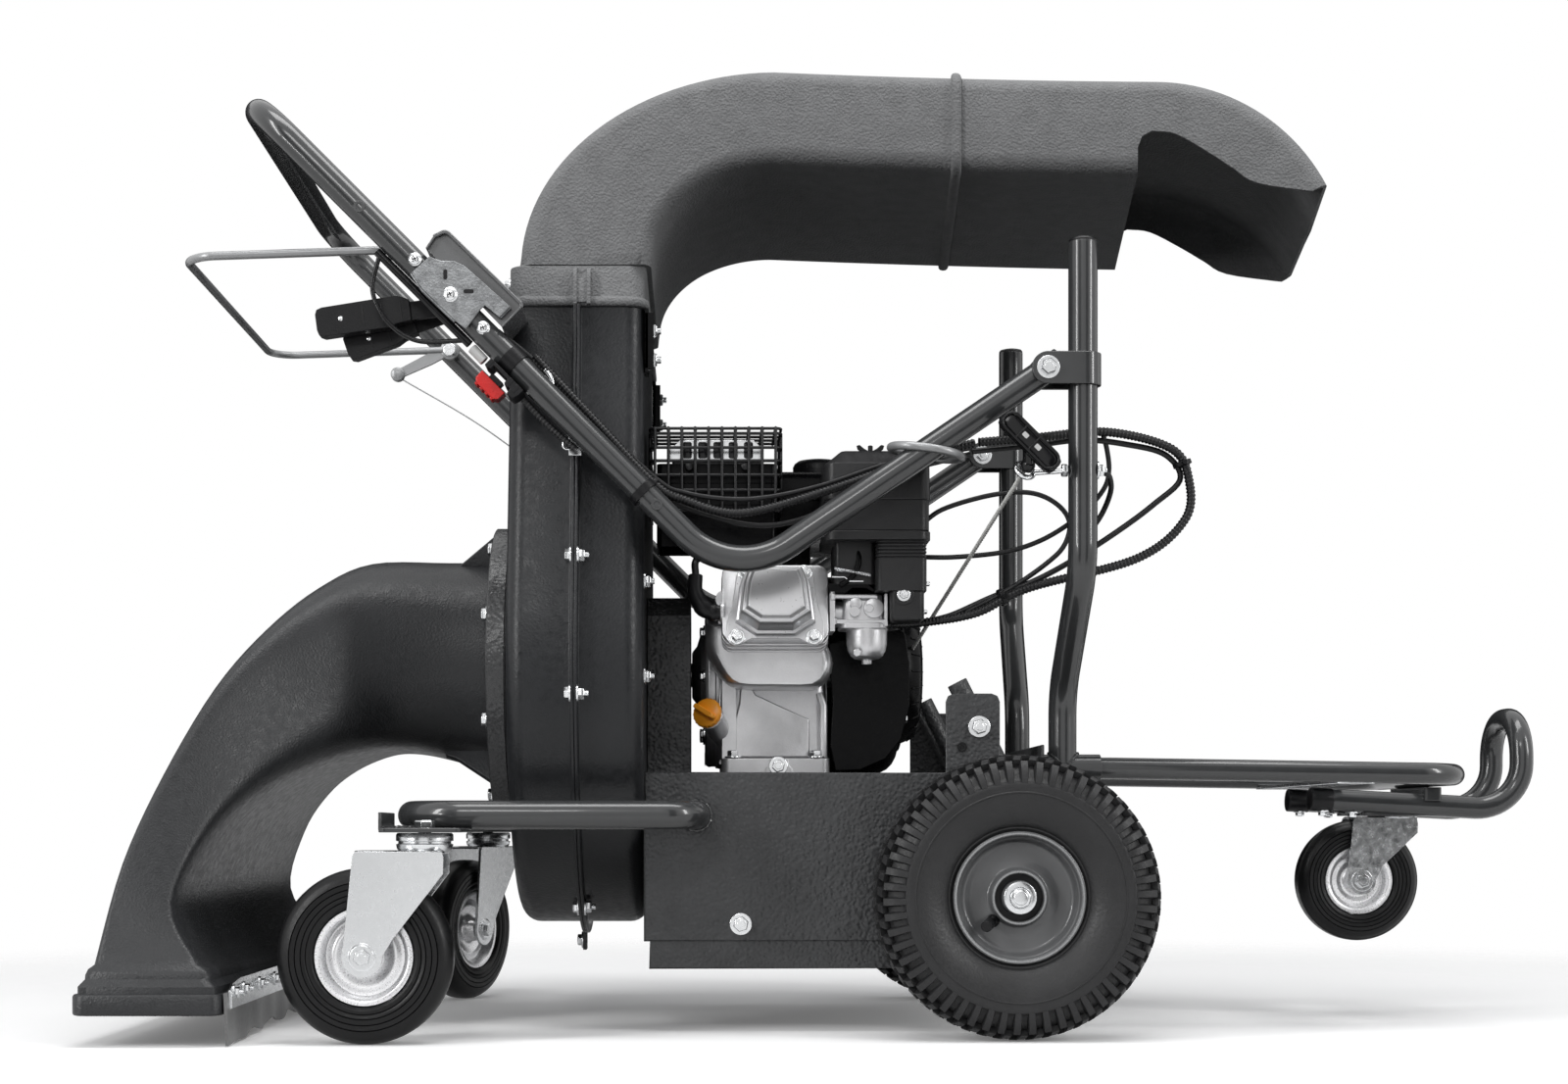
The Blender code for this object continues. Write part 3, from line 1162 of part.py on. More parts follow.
def caster(name, swivel, wheel_size, trail, top_z, centre_z, yaw, nut=True):
    """A swivel fork with its bolts, and the wheel that turns in it."""
    radius, width, bore = wheel_size
    head = joint_empty("caster_swivel_" + name + "_axis", (*swivel, top_z))
    x, y = swivel
    about = Matrix.Translation((x, y, 0))
    aim = about @ Matrix.Rotation(yaw, 4, "Z") @ about.inverted()
    leg_in = width / 2 + 0.0035
    leg_out = leg_in + 0.0035
    under = centre_z + radius + 0.004
    crown_low = max(under, top_z - 0.0105) if nut else top_z - 0.0035
    axis_x = x - trail
    crown = box(axis_x - 0.008, x + 0.0195, y - leg_out + 0.0004, y + leg_out - 0.0004,
                crown_low, crown_low + 0.003)
    parts = [disc("Z", (x, y, 0), crown_low + 0.001, top_z, 0.026, 20)]
    eye = 0.016 if radius > 0.07 else 0.013
    for side in (-1, 1):
        outline = [(x + 0.020, crown_low + 0.002), (axis_x - 0.009, crown_low + 0.002),
                   (axis_x - eye * 1.15, centre_z + 0.004), (axis_x - eye * 0.8, centre_z - eye * 0.8),
                   (axis_x, centre_z - eye * 1.15), (axis_x + eye * 0.8, centre_z - eye * 0.8),
                   (axis_x + eye * 1.25, centre_z + 0.006), (x + 0.020, crown_low - radius * 0.22)]
        parts.append(prism(outline, "Y", y + side * leg_in, y + side * leg_out))
        parts.append(bolt_head("Y", (axis_x, y + side * leg_out, centre_z), side, 0.014, 0.006))
    parts.append(disc("Y", (axis_x, y, centre_z), -leg_out, leg_out, bore, 14))
    plate_top = top_z + GAP + MOUNT_PLATE_T
    parts.append(disc("Z", (x, y, 0), top_z - 0.001, plate_top + 0.004, CASTER_STEM_R, 14))
    parts.append(hexagon("Z", (x, y, 0), plate_top + GAP, plate_top + 0.0075, 0.017))
    fork = moved(join(crown, *parts), aim)
    add("caster_fork_" + name, fork, ZINC, head)

    place = aim @ Vector((axis_x, y, centre_z))
    spin = joint_empty("caster_wheel_" + name + "_axis", place)
    spin.parent = head
    spin.location = place - head.location
    half = width / 2
    seat = radius * 0.56
    rim = [(-half + 0.001, bore + GAP), (half - 0.001, bore + GAP), (half - 0.001, bore + 0.007),
           (0.003, bore + 0.009), (0.003, seat - 0.008), (half - 0.004, seat - 0.005),
           (half - 0.004, seat), (-half + 0.004, seat), (-half + 0.004, seat - 0.005),
           (-0.003, seat - 0.008), (-0.003, bore + 0.009), (-half + 0.001, bore + 0.007)]
    tread = [(half - 0.006, seat + GAP), (half - 0.001, seat + 0.003), (half, radius * 0.80),
             (half - 0.004, radius * 0.94), (half * 0.55, radius)]
    tread += [(-a, r) for a, r in tread[::-1]]
    local = (axis_x, y, centre_z)
    for label, profile, finish in (("rim", rim, ZINC), ("tyre", tread, TYRE_RUBBER)):
        shape = moved(turned(profile, "Y", local, 16), aim)
        made = add("caster_" + label + "_" + name, shape, finish, spin)
        made.data.transform(Matrix.Translation(spin.location - place))
    return head


# Engine. Places in the cylinder are given along its axis from the crank (s), across (v).

def cylinder_point(s, v):
    """A point in Y and Z beside the tilted cylinder's axis."""
    c, n = math.cos(HEAD_TILT), math.sin(HEAD_TILT)
    return (-s * c + v * n, CRANK_Z + s * n + v * c)


def cylinder_block(s0, s1, v0, v1, x0, x1):
    """A block lined up with the cylinder."""
    outline = [cylinder_point(s, v) for s, v in ((s0, v0), (s1, v0), (s1, v1), (s0, v1))]
    return prism(outline, "X", x0, x1)


CYLINDER_X = -0.0725
HEAD_START = 0.150
COVER_START = 0.190
COVER_END = 0.226
FIN_REACH = 0.051
OIL_CAP_FROM = (-0.1355, -0.1365, 0.3075)
OIL_CAP_TO = (-0.1440, -0.1540, 0.3120)


def rounded_outline(x0, x1, y0, y1, radius, steps=3):
    """A rectangle with round corners, as points in two coordinates."""
    points = []
    corners = ((x1 - radius, y1 - radius), (x0 + radius, y1 - radius),
               (x0 + radius, y0 + radius), (x1 - radius, y0 + radius))
    for quarter, (x, y) in enumerate(corners):
        for k in range(steps + 1):
            turn = (quarter + k / steps) * math.pi / 2
            points.append((x + radius * math.cos(turn), y + radius * math.sin(turn)))
    return points


def engine():
    """Crankcase with finned cylinder, head, valve cover, fan housing and recoil cover."""
    front, rear, half = ENGINE_FRONT_X, ENGINE_REAR_X, ENGINE_HALF
    outline = [(-half, ENGINE_BASE_Z), (half, ENGINE_BASE_Z), (half, 0.350), (0.062, 0.392),
               (0.040, 0.418), (-0.020, 0.418), (-0.050, 0.400), (-half, 0.345)]
    case = prism(outline, "X", front, rear)
    boss = disc("X", (0, 0, CRANK_Z), -0.1535, front + 0.005, 0.047, 20)
    side_cover = disc("X", (0, 0, 0.340), -0.1400, front + 0.003, 0.082, 20)
    barrel = cylinder_block(0.060, HEAD_START - GAP, -0.036, 0.036, -0.110, -0.036)
    fins = []
    for i in range(5):
        s = 0.097 + 0.011 * i
        fins.append(cylinder_block(s, s + 0.003, -0.044, 0.044, CYLINDER_X - FIN_REACH,
                                   CYLINDER_X + FIN_REACH))
    step = (Vector(OIL_CAP_TO) - Vector(OIL_CAP_FROM)).normalized()
    mouth = Vector(OIL_CAP_FROM)
    neck = rod([(-0.112, -0.070, 0.290), mouth - step * 0.020, mouth], 0.012, 12)
    feet = [box(front + 0.004, rear - 0.004, -0.118, 0.118, ENGINE_BASE_Z, ENGINE_BASE_Z + 0.010)]
    bore = disc("X", (0, 0, CRANK_Z), -0.2, 0.02, SHAFT_R + GAP, 16)
    block = cut(join(case, boss, side_cover, barrel, neck, *fins, *feet), bore)
    add("engine_block", block, CAST_ALLOY)

    cap = rod([mouth + step * GAP, Vector(OIL_CAP_TO)], 0.015, 12)
    add("oil_cap", cap, ORANGE_PLASTIC)

    head = cylinder_block(HEAD_START, COVER_START - GAP, -0.046, 0.046, -0.1240, -0.0205)
    port = box(-0.120, -0.080, -0.170, -0.136, 0.425, 0.4530)
    add("cylinder_head", join(head, port), CAST_ALLOY)
    cover = cylinder_block(COVER_START, COVER_END - 0.006, -0.040, 0.040, -0.1200, -0.0250)
    dome = cylinder_block(COVER_END - 0.008, COVER_END, -0.034, 0.034, -0.1130, -0.0320)
    add("valve_cover", join(cover, dome), BLACK_STEEL)
    boot = rod([(-0.1243, -0.176, 0.404), (-0.138, -0.176, 0.404), (-0.150, -0.178, 0.420),
                (-0.149, -0.172, 0.442)], 0.009, 10)
    add("spark_plug_boot", boot, BLACK_PLASTIC)

    inner = FAN_R - 0.003
    start = rear + GAP
    profile = [(start, inner), (FAN_REAR_X - 0.003, inner), (FAN_REAR_X - 0.003, 0.062),
               (FAN_REAR_X, 0.062), (FAN_REAR_X, FAN_R - 0.014), (FAN_REAR_X - 0.014, FAN_R),
               (start, FAN_R)]
    fan = turned(profile, "X", (0, 0, CRANK_Z), 28)
    add("fan_housing", fan, BLACK_STEEL)
    start = FAN_REAR_X + GAP
    profile = [(start, 0.070), (start, 0.079), (start + 0.003, 0.079), (start + 0.004, 0.071),
               (start + 0.020, 0.062), (start + 0.025, 0.045), (start + 0.025, 0.012),
               (start + 0.022, 0.012), (start + 0.022, 0.043), (start + 0.0175, 0.059),
               (start + 0.002, 0.067)]
    add("recoil_cover", turned(profile, "X", (0, 0, CRANK_Z), 24), BLACK_STEEL)

    x0 = HOUSING_SEAM_X + HOUSING_REAR_DEPTH + GAP
    guard = prism([(-0.086, ENGINE_BASE_Z), (0.086, ENGINE_BASE_Z), (0.086, 0.410),
                   (0.066, 0.429), (-0.066, 0.429), (-0.086, 0.410)], "X", x0, -0.1540)
    room = prism([(-0.083, ENGINE_BASE_Z + 0.003), (0.083, ENGINE_BASE_Z + 0.003),
                  (0.083, 0.409), (0.065, 0.426), (-0.065, 0.426), (-0.083, 0.409)],
                 "X", x0 - 0.01, -0.1570)
    hole = disc("X", (0, 0, CRANK_Z), -0.2, -0.1, 0.030, 20)
    add("shaft_guard", cut(guard, room, hole), SHEET_PAINT)


TANK_X = (-0.160, 0.056)
TANK_Y = (-0.078, 0.150)
TANK_BOTTOM_Z = 0.494
TANK_TOP_Z = 0.559
CAP_X = -0.020
CAP_Y = 0.030


def fuel():
    """The tank on its bracket, and its cap."""
    def shell(levels, inset):
        loops = []
        for z, step in levels:
            d = step + inset
            ring = rounded_outline(TANK_X[0] + d, TANK_X[1] - d, TANK_Y[0] + d, TANK_Y[1] - d,
                                   0.030 - inset)
            loops.append([(x, y, z) for x, y in ring])
        return loft(loops)

    low, high = TANK_BOTTOM_Z, TANK_TOP_Z
    seam = low + 0.0345
    outside = shell([(low, 0.014), (low + 0.010, 0.004), (seam - 0.0015, 0.004), (seam - 0.0015, 0.0),
                     (seam + 0.0015, 0.0), (seam + 0.0015, 0.004), (high - 0.012, 0.005),
                     (high - 0.003, 0.014), (high, 0.028)], 0)
    inside = shell([(low + 0.003, 0.014), (low + 0.011, 0.004), (high - 0.014, 0.005),
                    (high - 0.005, 0.014), (high - 0.003, 0.025)], 0.003)
    neck = disc("Z", (CAP_X, CAP_Y, 0), high - 0.002, high + 0.010, 0.0195, 20)
    filler = disc("Z", (CAP_X, CAP_Y, 0), high - 0.010, high + 0.020, 0.0165, 20)
    post = box(-0.110, -0.030, -0.016, 0.036, 0.4183, low + 0.002)
    post_room = box(-0.107, -0.033, -0.030, 0.050, 0.4213, low - 0.001)
    whole = join(cut(outside, inside), neck, cut(post, post_room))
    add("fuel_tank", cut(whole, filler), BLACK_STEEL)

    base = high + 0.0012
    profile = [(base, 0.0198), (high + 0.0205, 0.0198), (high + 0.0205, 0.0), (high + 0.0245, 0.0),
               (high + 0.0240, 0.020), (high + 0.0200, 0.026), (base, 0.027)]
    add("fuel_cap", turned(profile, "Z", (CAP_X, CAP_Y, 0), 24), BLACK_PLASTIC)


def intake():
    """The carburettor beside the head and the air cleaner above it."""
    start = -0.0205 + GAP
    body = box(start, 0.036, -0.186, -0.138, 0.378, 0.4220)
    bowl = disc("Z", (0.010, -0.165, 0), 0.353, 0.380, 0.019, 16)
    add("carburettor", join(body, bowl), CAST_ALLOY)
    top = box(-0.026, 0.076, -0.205, -0.092, 0.470, 0.546)
    crown = box(-0.012, 0.064, -0.197, -0.100, 0.543, 0.5585)
    neck = box(-0.016, 0.074, -0.200, -0.110, 0.4223, 0.472)
    knob = disc("Z", (0.0216, -0.150, 0), 0.555, 0.570, 0.008, 12)
    outlet = disc("Z", (0.010, -0.162, 0), 0.4223, 0.4623, 0.012, 14)
    room = box(-0.023, 0.073, -0.202, -0.095, 0.473, 0.541)
    throat = box(-0.013, 0.071, -0.197, -0.113, 0.4253, 0.480)
    whole = cut(join(top, crown, neck, knob), room, throat, outlet)
    add("air_cleaner", whole, BLACK_PLASTIC)


CAGE_X = (-0.195, -0.0645)
CAGE_Y = (-0.186, -0.083)
CAGE_Z = (0.500, 0.583)


def exhaust():
    """The muffler over the head and the slotted cage that covers it."""
    pipe = disc("Z", (-0.100, -0.152, 0), 0.4533, 0.500, 0.011, 14)
    flange = box(-0.118, -0.082, -0.168, -0.137, 0.4533, 0.4573)
    can = prism(rounded_outline(-0.172, -0.084, 0.4935, 0.5735, 0.020), "Y", -0.168, -0.098)
    stubs = [disc("Y", (x, 0, 0.544), -0.1832, -0.166, 0.004, 8) for x in (-0.155, -0.101)]
    room = prism(rounded_outline(-0.169, -0.087, 0.4965, 0.5705, 0.017), "Y", -0.165, -0.101)
    outlet = disc("X", (0, -0.133, 0.560), -0.180, -0.165, 0.010, 12)
    inlet = disc("Z", (-0.100, -0.152, 0), 0.440, 0.510, 0.008, 12)
    whole = cut(join(can, pipe, flange, *stubs), room, outlet, inlet)
    add("muffler", whole, ZINC)

    x0, x1 = CAGE_X
    y0, y1 = CAGE_Y
    z0, z1 = CAGE_Z
    wire = 0.0025
    shell = box(x0, x1, y0, y1, z0, z1)
    room = box(x0 + wire, x1 - wire, y0 + wire, y1 + 0.01, z0 - 0.01, z1 - wire)
    slots = []
    count = 8
    pitch = (x1 - x0 - 0.012) / count
    for i in range(count):
        a = x0 + 0.006 + pitch * i + 0.003
        b = a + pitch - 0.006
        slots.append(box(a, b, y0 - 0.01, y0 + 0.01, z0 + 0.010, 0.538))
        slots.append(box(a, b, y0 - 0.01, y0 + 0.01, 0.550, z1 - 0.008))
        slots.append(box(a, b, y0 + 0.012, y1 - 0.006, z1 - 0.01, z1 + 0.01))
    add("muffler_cage", cut(shell, room, *slots), BLACK_STEEL)


# Recoil starter and cables

EYE = Vector((0.158, NEAR_Y, 0.5294))
ROPE_START = Vector((0.0709, -0.0635, 0.3781))
GRIP_BAR = Vector((0.160, NEAR_Y - 0.020, 0.5526))
CABLE_R = 0.0045
STRAP_T = 0.5195
# Places along the cables. Y is counted inwards from the near handle tube, but from the machine's
# middle plane at the carburettor
HANDLE_CABLE = [(x, NEAR_Y + y, z) for x, y, z in (
    (-0.3, 0.017, 0.639), (-0.245, 0.014, 0.58), (-0.1881, 0.0102, 0.5192),
    (-0.16, 0.017, 0.502), (-0.105, 0.023, 0.49), (-0.019, 0.024, 0.5155),
    (0.068, 0.026, 0.548), (0.115, 0.027, 0.5595),
)]
CHASSIS_CABLE = [(x, NEAR_Y + y, z) for x, y, z in (
    (0.119, 0.0275, 0.5603), (0.175, 0.034, 0.566), (0.243, 0.045, 0.573),
    (0.305, 0.05, 0.558), (0.322, 0.05, 0.528), (0.318, 0.05, 0.49),
    (0.272, 0.05, 0.453), (0.169, 0.05, 0.425),
)]
CHASSIS_CABLE += [(0.12, -0.192, 0.402), (0.07, -0.172, 0.3945), (0.045, -0.165, 0.3935), (0.0374, -0.165, 0.3935)]


def starter():
    """The eye bolt on the near upright, the rope and its T-shaped grip."""
    along = (EYE - ROPE_START).normalized()
    side = along.cross(Vector((0, 0, 1))).normalized()
    up = side.cross(along)
    ring = []
    for i in range(14):
        turn = 2 * math.pi * i / 14
        ring.append(EYE + (side * math.cos(turn) + up * math.sin(turn)) * 0.0090)
    loops = sweep_loops([ring[-1]] + ring + [ring[0]], 0.0025, 6)[1:-1]
    skin = UPRIGHT_X - TUBE_R - GAP
    across = (Vector((1, 0, 0)) - along * along.x).normalized()
    shank = rod([EYE + across * 0.009, (skin, EYE.y, EYE.z)], 0.0025, 8)
    nut = disc("X", (0, EYE.y, EYE.z), skin - 0.006, skin, 0.0065, 6)
    add("rope_guide", join(loft(loops, ring=True), shank, nut), ZINC)
    rope_end = EYE + along * 0.0020
    add("starter_rope", rod([ROPE_START, rope_end], 0.0022, 8), ROPE)
    body = joint_empty("starter_handle_axis", GRIP_BAR)
    slope = Vector((math.cos(math.pi / 4), 0, -math.sin(math.pi / 4))) * 0.035
    bar = rod([GRIP_BAR - slope, GRIP_BAR + slope], 0.010, 12)
    seat = EYE + along * (0.0025 + GAP)
    base = rod([seat, seat + along * 0.009], 0.0072, 10)
    stem = rod([seat + along * 0.005, GRIP_BAR], 0.0050, 10)
    add("starter_handle", join(bar, base, stem), BLACK_PLASTIC, body)


def cables(body):
    """The control cables: one piece rides on the handle, the other stays with the frame."""
    upper = rod(smooth_path(HANDLE_CABLE, 16), CABLE_R, 6)
    strap = tube([tube_point(STRAP_T - 0.004, 0), tube_point(STRAP_T + 0.004, 0)],
                 HANDLE_R + GAP + 0.0018, 0.0018)
    add("handle_cable", join(upper, strap), CABLE_SHEATH, body)
    lower = rod(smooth_path(CHASSIS_CABLE, 24), CABLE_R, 6)
    add("chassis_cable", lower, CABLE_SHEATH)


housing()
nozzle()
duct()
rotor()
tray()
bumper()
upright("upright_near", -1)
upright("upright_far", 1)
clamp("handle_clamp_near", -1)
clamp("handle_clamp_far", 1)
bag_frame()
rear_loop()
handle_axis = joint_empty("handle_axis", (PIVOT_X, 0, PIVOT_Z))
handle(handle_axis)
console(handle_axis)
bail()
lever("throttle_lever", LEVER_FIRST_Y, math.radians(7.5))
lever("choke_lever", LEVER_FIRST_Y + LEVER_STEP_Y, math.radians(19), 0.070)
stop_button()
axle()
wheel("wheel_near", -1)
wheel("wheel_far", 1)
FRONT_WHEEL = (CASTER_R, CASTER_W, 0.006)
caster("near", (CASTER_X, -CASTER_Y), FRONT_WHEEL, CASTER_TRAIL, CASTER_TOP_Z, CASTER_R, 0)
caster("far", (CASTER_X, CASTER_Y), FRONT_WHEEL, CASTER_TRAIL, CASTER_TOP_Z, CASTER_R, FAR_CASTER_YAW)
caster("rear", (REAR_CASTER_X, 0), (REAR_CASTER_R, REAR_CASTER_W, 0.005), REAR_CASTER_TRAIL,
       REAR_CASTER_TOP_Z, REAR_CASTER_Z, 0, nut=False)
engine()
fuel()
intake()
exhaust()
starter()
cables(handle_axis)
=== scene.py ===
"""Looks of the walk-behind leaf vacuum: materials, detailed pieces, light and camera."""

from math import acos, atan, atan2, copysign, cos, hypot, pi, radians, sin, sqrt, tan

import bmesh
import bpy
from mathutils import Matrix, Vector


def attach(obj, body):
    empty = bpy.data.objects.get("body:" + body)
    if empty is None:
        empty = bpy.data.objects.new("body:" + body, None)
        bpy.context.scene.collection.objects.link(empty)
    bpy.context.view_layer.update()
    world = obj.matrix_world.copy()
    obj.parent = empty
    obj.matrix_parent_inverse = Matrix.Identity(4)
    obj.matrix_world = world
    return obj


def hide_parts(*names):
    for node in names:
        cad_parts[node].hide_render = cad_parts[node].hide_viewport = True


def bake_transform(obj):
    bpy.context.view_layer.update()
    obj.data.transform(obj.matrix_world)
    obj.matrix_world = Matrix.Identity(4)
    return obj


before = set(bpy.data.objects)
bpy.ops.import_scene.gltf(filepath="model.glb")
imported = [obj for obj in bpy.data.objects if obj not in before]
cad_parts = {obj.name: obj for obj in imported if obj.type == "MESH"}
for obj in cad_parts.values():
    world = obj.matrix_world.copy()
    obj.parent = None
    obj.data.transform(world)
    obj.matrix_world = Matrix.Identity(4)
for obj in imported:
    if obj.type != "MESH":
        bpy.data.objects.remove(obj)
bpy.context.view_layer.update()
scene = bpy.context.scene


def placed(name, data):
    """A new object in the scene."""
    made = bpy.data.objects.new(name, data)
    scene.collection.objects.link(made)
    return made


# Camera: level, from the near side, with the frame shifted as in the photograph

PHOTO_WIDTH = 1600
LENS_PIXELS = 2352
SENSOR_WIDTH = 36.0
camera_data = bpy.data.cameras.new("camera")
camera_data.sensor_width = SENSOR_WIDTH
camera_data.lens = LENS_PIXELS / PHOTO_WIDTH * SENSOR_WIDTH
camera_data.shift_x = 85 / PHOTO_WIDTH
camera_data.shift_y = 295 / PHOTO_WIDTH
camera_data.clip_start = 0.05
camera_data.clip_end = 100
camera = placed("camera", camera_data)
camera.location = (-0.144, -2.4, 0.193)
camera.rotation_euler = (pi / 2, 0, 0)
bpy.context.scene.camera = camera


# Materials


def fill(tree, shader, inputs):
    """Sets a node's inputs, each to a value or to the socket that feeds it."""
    for name, value in inputs.items():
        if isinstance(value, bpy.types.NodeSocket):
            tree.links.new(value, shader.inputs[name])
        else:
            shader.inputs[name].default_value = value


def add_node(tree, kind, inputs, **settings):
    """A new node with its settings and inputs."""
    made = tree.nodes.new("ShaderNode" + kind)
    for name, value in settings.items():
        setattr(made, name, value)
    fill(tree, made, inputs)
    return made


def new_material(name):
    """A new material with its nodes and its shader."""
    made = bpy.data.materials.new(name)
    made.use_nodes = True
    return made, made.node_tree, made.node_tree.nodes["Principled BSDF"]


def finish(name, colour, rough, metal=0.0, tint=0.15, tint_scale=9.0, rough_swing=0.08, bump=0.0,
           bump_scale=400.0, bump_kind="noise", coat=0.0, specular=None):
    """A Principled material with mottled colour, varied roughness and a fine bump."""
    made, tree, shader = new_material(name)
    place = add_node(tree, "TexCoord", {}).outputs["Object"]

    def noise(scale, detail=3.0, rough_share=0.55):
        return add_node(tree, "TexNoise", {"Scale": scale, "Detail": detail, "Roughness": rough_share,
                "Vector": place}).outputs["Fac"]

    def spread(source, low, high):
        return add_node(tree, "MapRange", {"From Min": 0.3, "From Max": 0.7, "To Min": low, "To Max": high,
                "Value": source}).outputs["Result"]

    broad = noise(tint_scale)
    fine = noise(tint_scale * 14, 4.0)
    blended = add_node(tree, "Math", {0: spread(broad, 0.0, 0.65), 1: spread(fine, 0.0, 0.35)},
            operation="ADD")
    mottle = add_node(tree, "Mix", {"A": (*[c * (1 - tint) for c in colour], 1),
            "B": (*[min(1.0, c * (1 + tint)) for c in colour], 1), "Factor": blended.outputs[0]},
            data_type="RGBA")
    looks = {"Metallic": metal, "Base Color": mottle.outputs["Result"],
             "Roughness": spread(fine, max(0.03, rough - rough_swing), min(1.0, rough + rough_swing))}
    if coat:
        looks.update({"Coat Weight": coat, "Coat Roughness": 0.05})
    if specular is not None:
        looks["Specular IOR Level"] = specular
    if bump:
        if bump_kind == "pebble":
            height = add_node(tree, "TexVoronoi", {"Scale": bump_scale, "Vector": place},
                    feature="SMOOTH_F1").outputs["Distance"]
        else:
            height = noise(bump_scale, 2.0, 0.6)
        looks["Normal"] = add_node(tree, "Bump", {"Strength": 1.0, "Distance": bump,
                "Height": height}).outputs["Normal"]
    fill(tree, shader, looks)
    return made


PAINT = finish("frame_paint", (0.047, 0.0485, 0.05), 0.24, tint=0.08, rough_swing=0.03, bump=0.00003,
               bump_scale=130, coat=0.5, specular=0.38)
SHEET = finish("textured_paint", (0.058, 0.059, 0.061), 0.38, tint=0.28, tint_scale=34, bump=0.001,
               bump_scale=300, bump_kind="pebble", specular=0.4)
SHELL = finish("housing_paint", (0.023, 0.024, 0.026), 0.36, tint=0.14, bump=0.00018,
               bump_scale=420, bump_kind="pebble", specular=0.28)
DUCT = finish("duct_plastic", (0.21, 0.212, 0.215), 0.58, tint=0.12, tint_scale=60, bump=0.001,
              bump_scale=480, bump_kind="pebble", specular=0.05)
NOZZLE = finish("nozzle_plastic", (0.032, 0.033, 0.035), 0.4, tint=0.15, bump=0.0003,
                bump_scale=520, bump_kind="pebble", specular=0.35)
BLACK = finish("black_plastic", (0.01, 0.01, 0.011), 0.36, tint=0.2, bump=0.00015,
               bump_scale=700, specular=0.22)
GLOSS = finish("black_gloss", (0.008, 0.008, 0.009), 0.18, tint=0.2, bump=0.00005,
               bump_scale=200, specular=0.3)
ENAMEL = finish("black_enamel", (0.004, 0.004, 0.0045), 0.28, tint=0.2, bump=0.00006,
                bump_scale=300, specular=0.1)
DARK_WIRE = finish("black_wire", (0.012, 0.012, 0.013), 0.34, tint=0.2, bump=0.0001,
                   bump_scale=500, specular=0.3)
ZINC = finish("zinc_plate", (0.64, 0.65, 0.66), 0.24, 1.0, tint=0.07, tint_scale=14, rough_swing=0.05,
              bump=0.00003, bump_scale=200)
BRIGHT = finish("bright_zinc", (0.7, 0.71, 0.72), 0.2, 1.0, tint=0.06, tint_scale=60,
                rough_swing=0.05, bump=0.00002, bump_scale=300)
ALLOY = finish("cast_alloy", (0.57, 0.57, 0.58), 0.38, 0.8, tint=0.1, tint_scale=40,
               rough_swing=0.06, bump=0.00014, bump_scale=700)
BRIGHT_CAST = finish("pressed_alloy", (0.55, 0.55, 0.56), 0.3, 0.62, tint=0.04, tint_scale=30,
                     rough_swing=0.03)
BLACK_CASE = finish("moulded_case", (0.026, 0.026, 0.027), 0.38, tint=0.2, bump=0.0002,
                    bump_scale=600, specular=0.3)
ZINC_GRAIN = finish("grained_zinc", (0.2, 0.205, 0.21), 0.36, 0.8, tint=0.5, tint_scale=90,
                    bump=0.0003, bump_scale=420)
PALE = finish("pale_plastic", (0.7, 0.7, 0.69), 0.4, tint=0.05, bump=0.0001, bump_scale=400)
WIRE = finish("grey_wire", (0.36, 0.365, 0.37), 0.32, 0.2, tint=0.04, rough_swing=0.02, coat=0.2)
RIM = finish("rim_paint", (0.135, 0.137, 0.14), 0.32, tint=0.05, rough_swing=0.04, bump=0.00003,
             bump_scale=220, coat=0.4, specular=0.4)
TYRE = finish("tyre_rubber", (0.027, 0.027, 0.028), 0.46, tint=0.25, tint_scale=30, rough_swing=0.12,
              bump=0.0003, bump_scale=350, specular=0.35)
RUBBER = finish("wheel_rubber", (0.007, 0.007, 0.0075), 0.36, tint=0.25, tint_scale=20, bump=0.0001,
                bump_scale=400, specular=0.25)
BAND = finish("flange_paint", (0.06, 0.061, 0.063), 0.3, tint=0.16, tint_scale=60, bump=0.0007,
              bump_scale=260, bump_kind="pebble", specular=0.5)
# Light grey for thin rings on the rims' lips and hub rings: a painted highlight on those edges.
RIM_HIGHLIGHT = finish("painted_highlight_rim_edge", (0.34, 0.345, 0.35), 0.26, 0.5, tint=0.1, bump=0.00003,
                  bump_scale=220, coat=0.4)
COVER = finish("cover_paint", (0.12, 0.122, 0.125), 0.26, tint=0.08, rough_swing=0.04, bump=0.00004,
               bump_scale=130, coat=0.6)
RIM_ZINC = finish("rim_zinc", (0.86, 0.86, 0.87), 0.3, 0.7, tint=0.08, tint_scale=50,
                  rough_swing=0.05)
SKIRT = finish("skirt_rubber", (0.19, 0.19, 0.19), 0.36, tint=0.3, tint_scale=22, bump=0.0003,
               bump_scale=60, specular=0.6)
CABLE = finish("cable_sheath", (0.012, 0.012, 0.013), 0.34, tint=0.2, bump=0.00008, bump_scale=500,
               specular=0.3)
ROPE = finish("rope", (0.86, 0.86, 0.83), 0.7, tint=0.1, tint_scale=300, bump=0.0004, bump_scale=900)
RED = finish("red_plastic", (0.72, 0.012, 0.01), 0.28, tint=0.1, bump=0.00005, bump_scale=300)
ORANGE = finish("orange_plastic", (1.0, 0.36, 0.015), 0.34, tint=0.1, bump=0.0001, bump_scale=400)


# Shapes. A Kit gathers shapes in one mesh, in world metres.

def frame_of(axis):
    """Two unit vectors square to an axis and to each other."""
    axis = Vector(axis).normalized()
    side = axis.cross(Vector((0, 0, 1)))
    if side.length < 0.1:
        side = axis.cross(Vector((0, 1, 0)))
    side.normalize()
    return axis, side, axis.cross(side)


def turns(count):
    """Angles that go once round in equal steps."""
    return [2 * pi * i / count for i in range(count)]


def on_circle(radius, angle, u=0.0, v=0.0):
    """A place on a circle about (u, v)."""
    return u + radius * cos(angle), v + radius * sin(angle)


def mirrored(profile, start=None):
    """The same (along, radius) points on the other side, in reverse."""
    return [(-a, r) for a, r in profile[start::-1]]


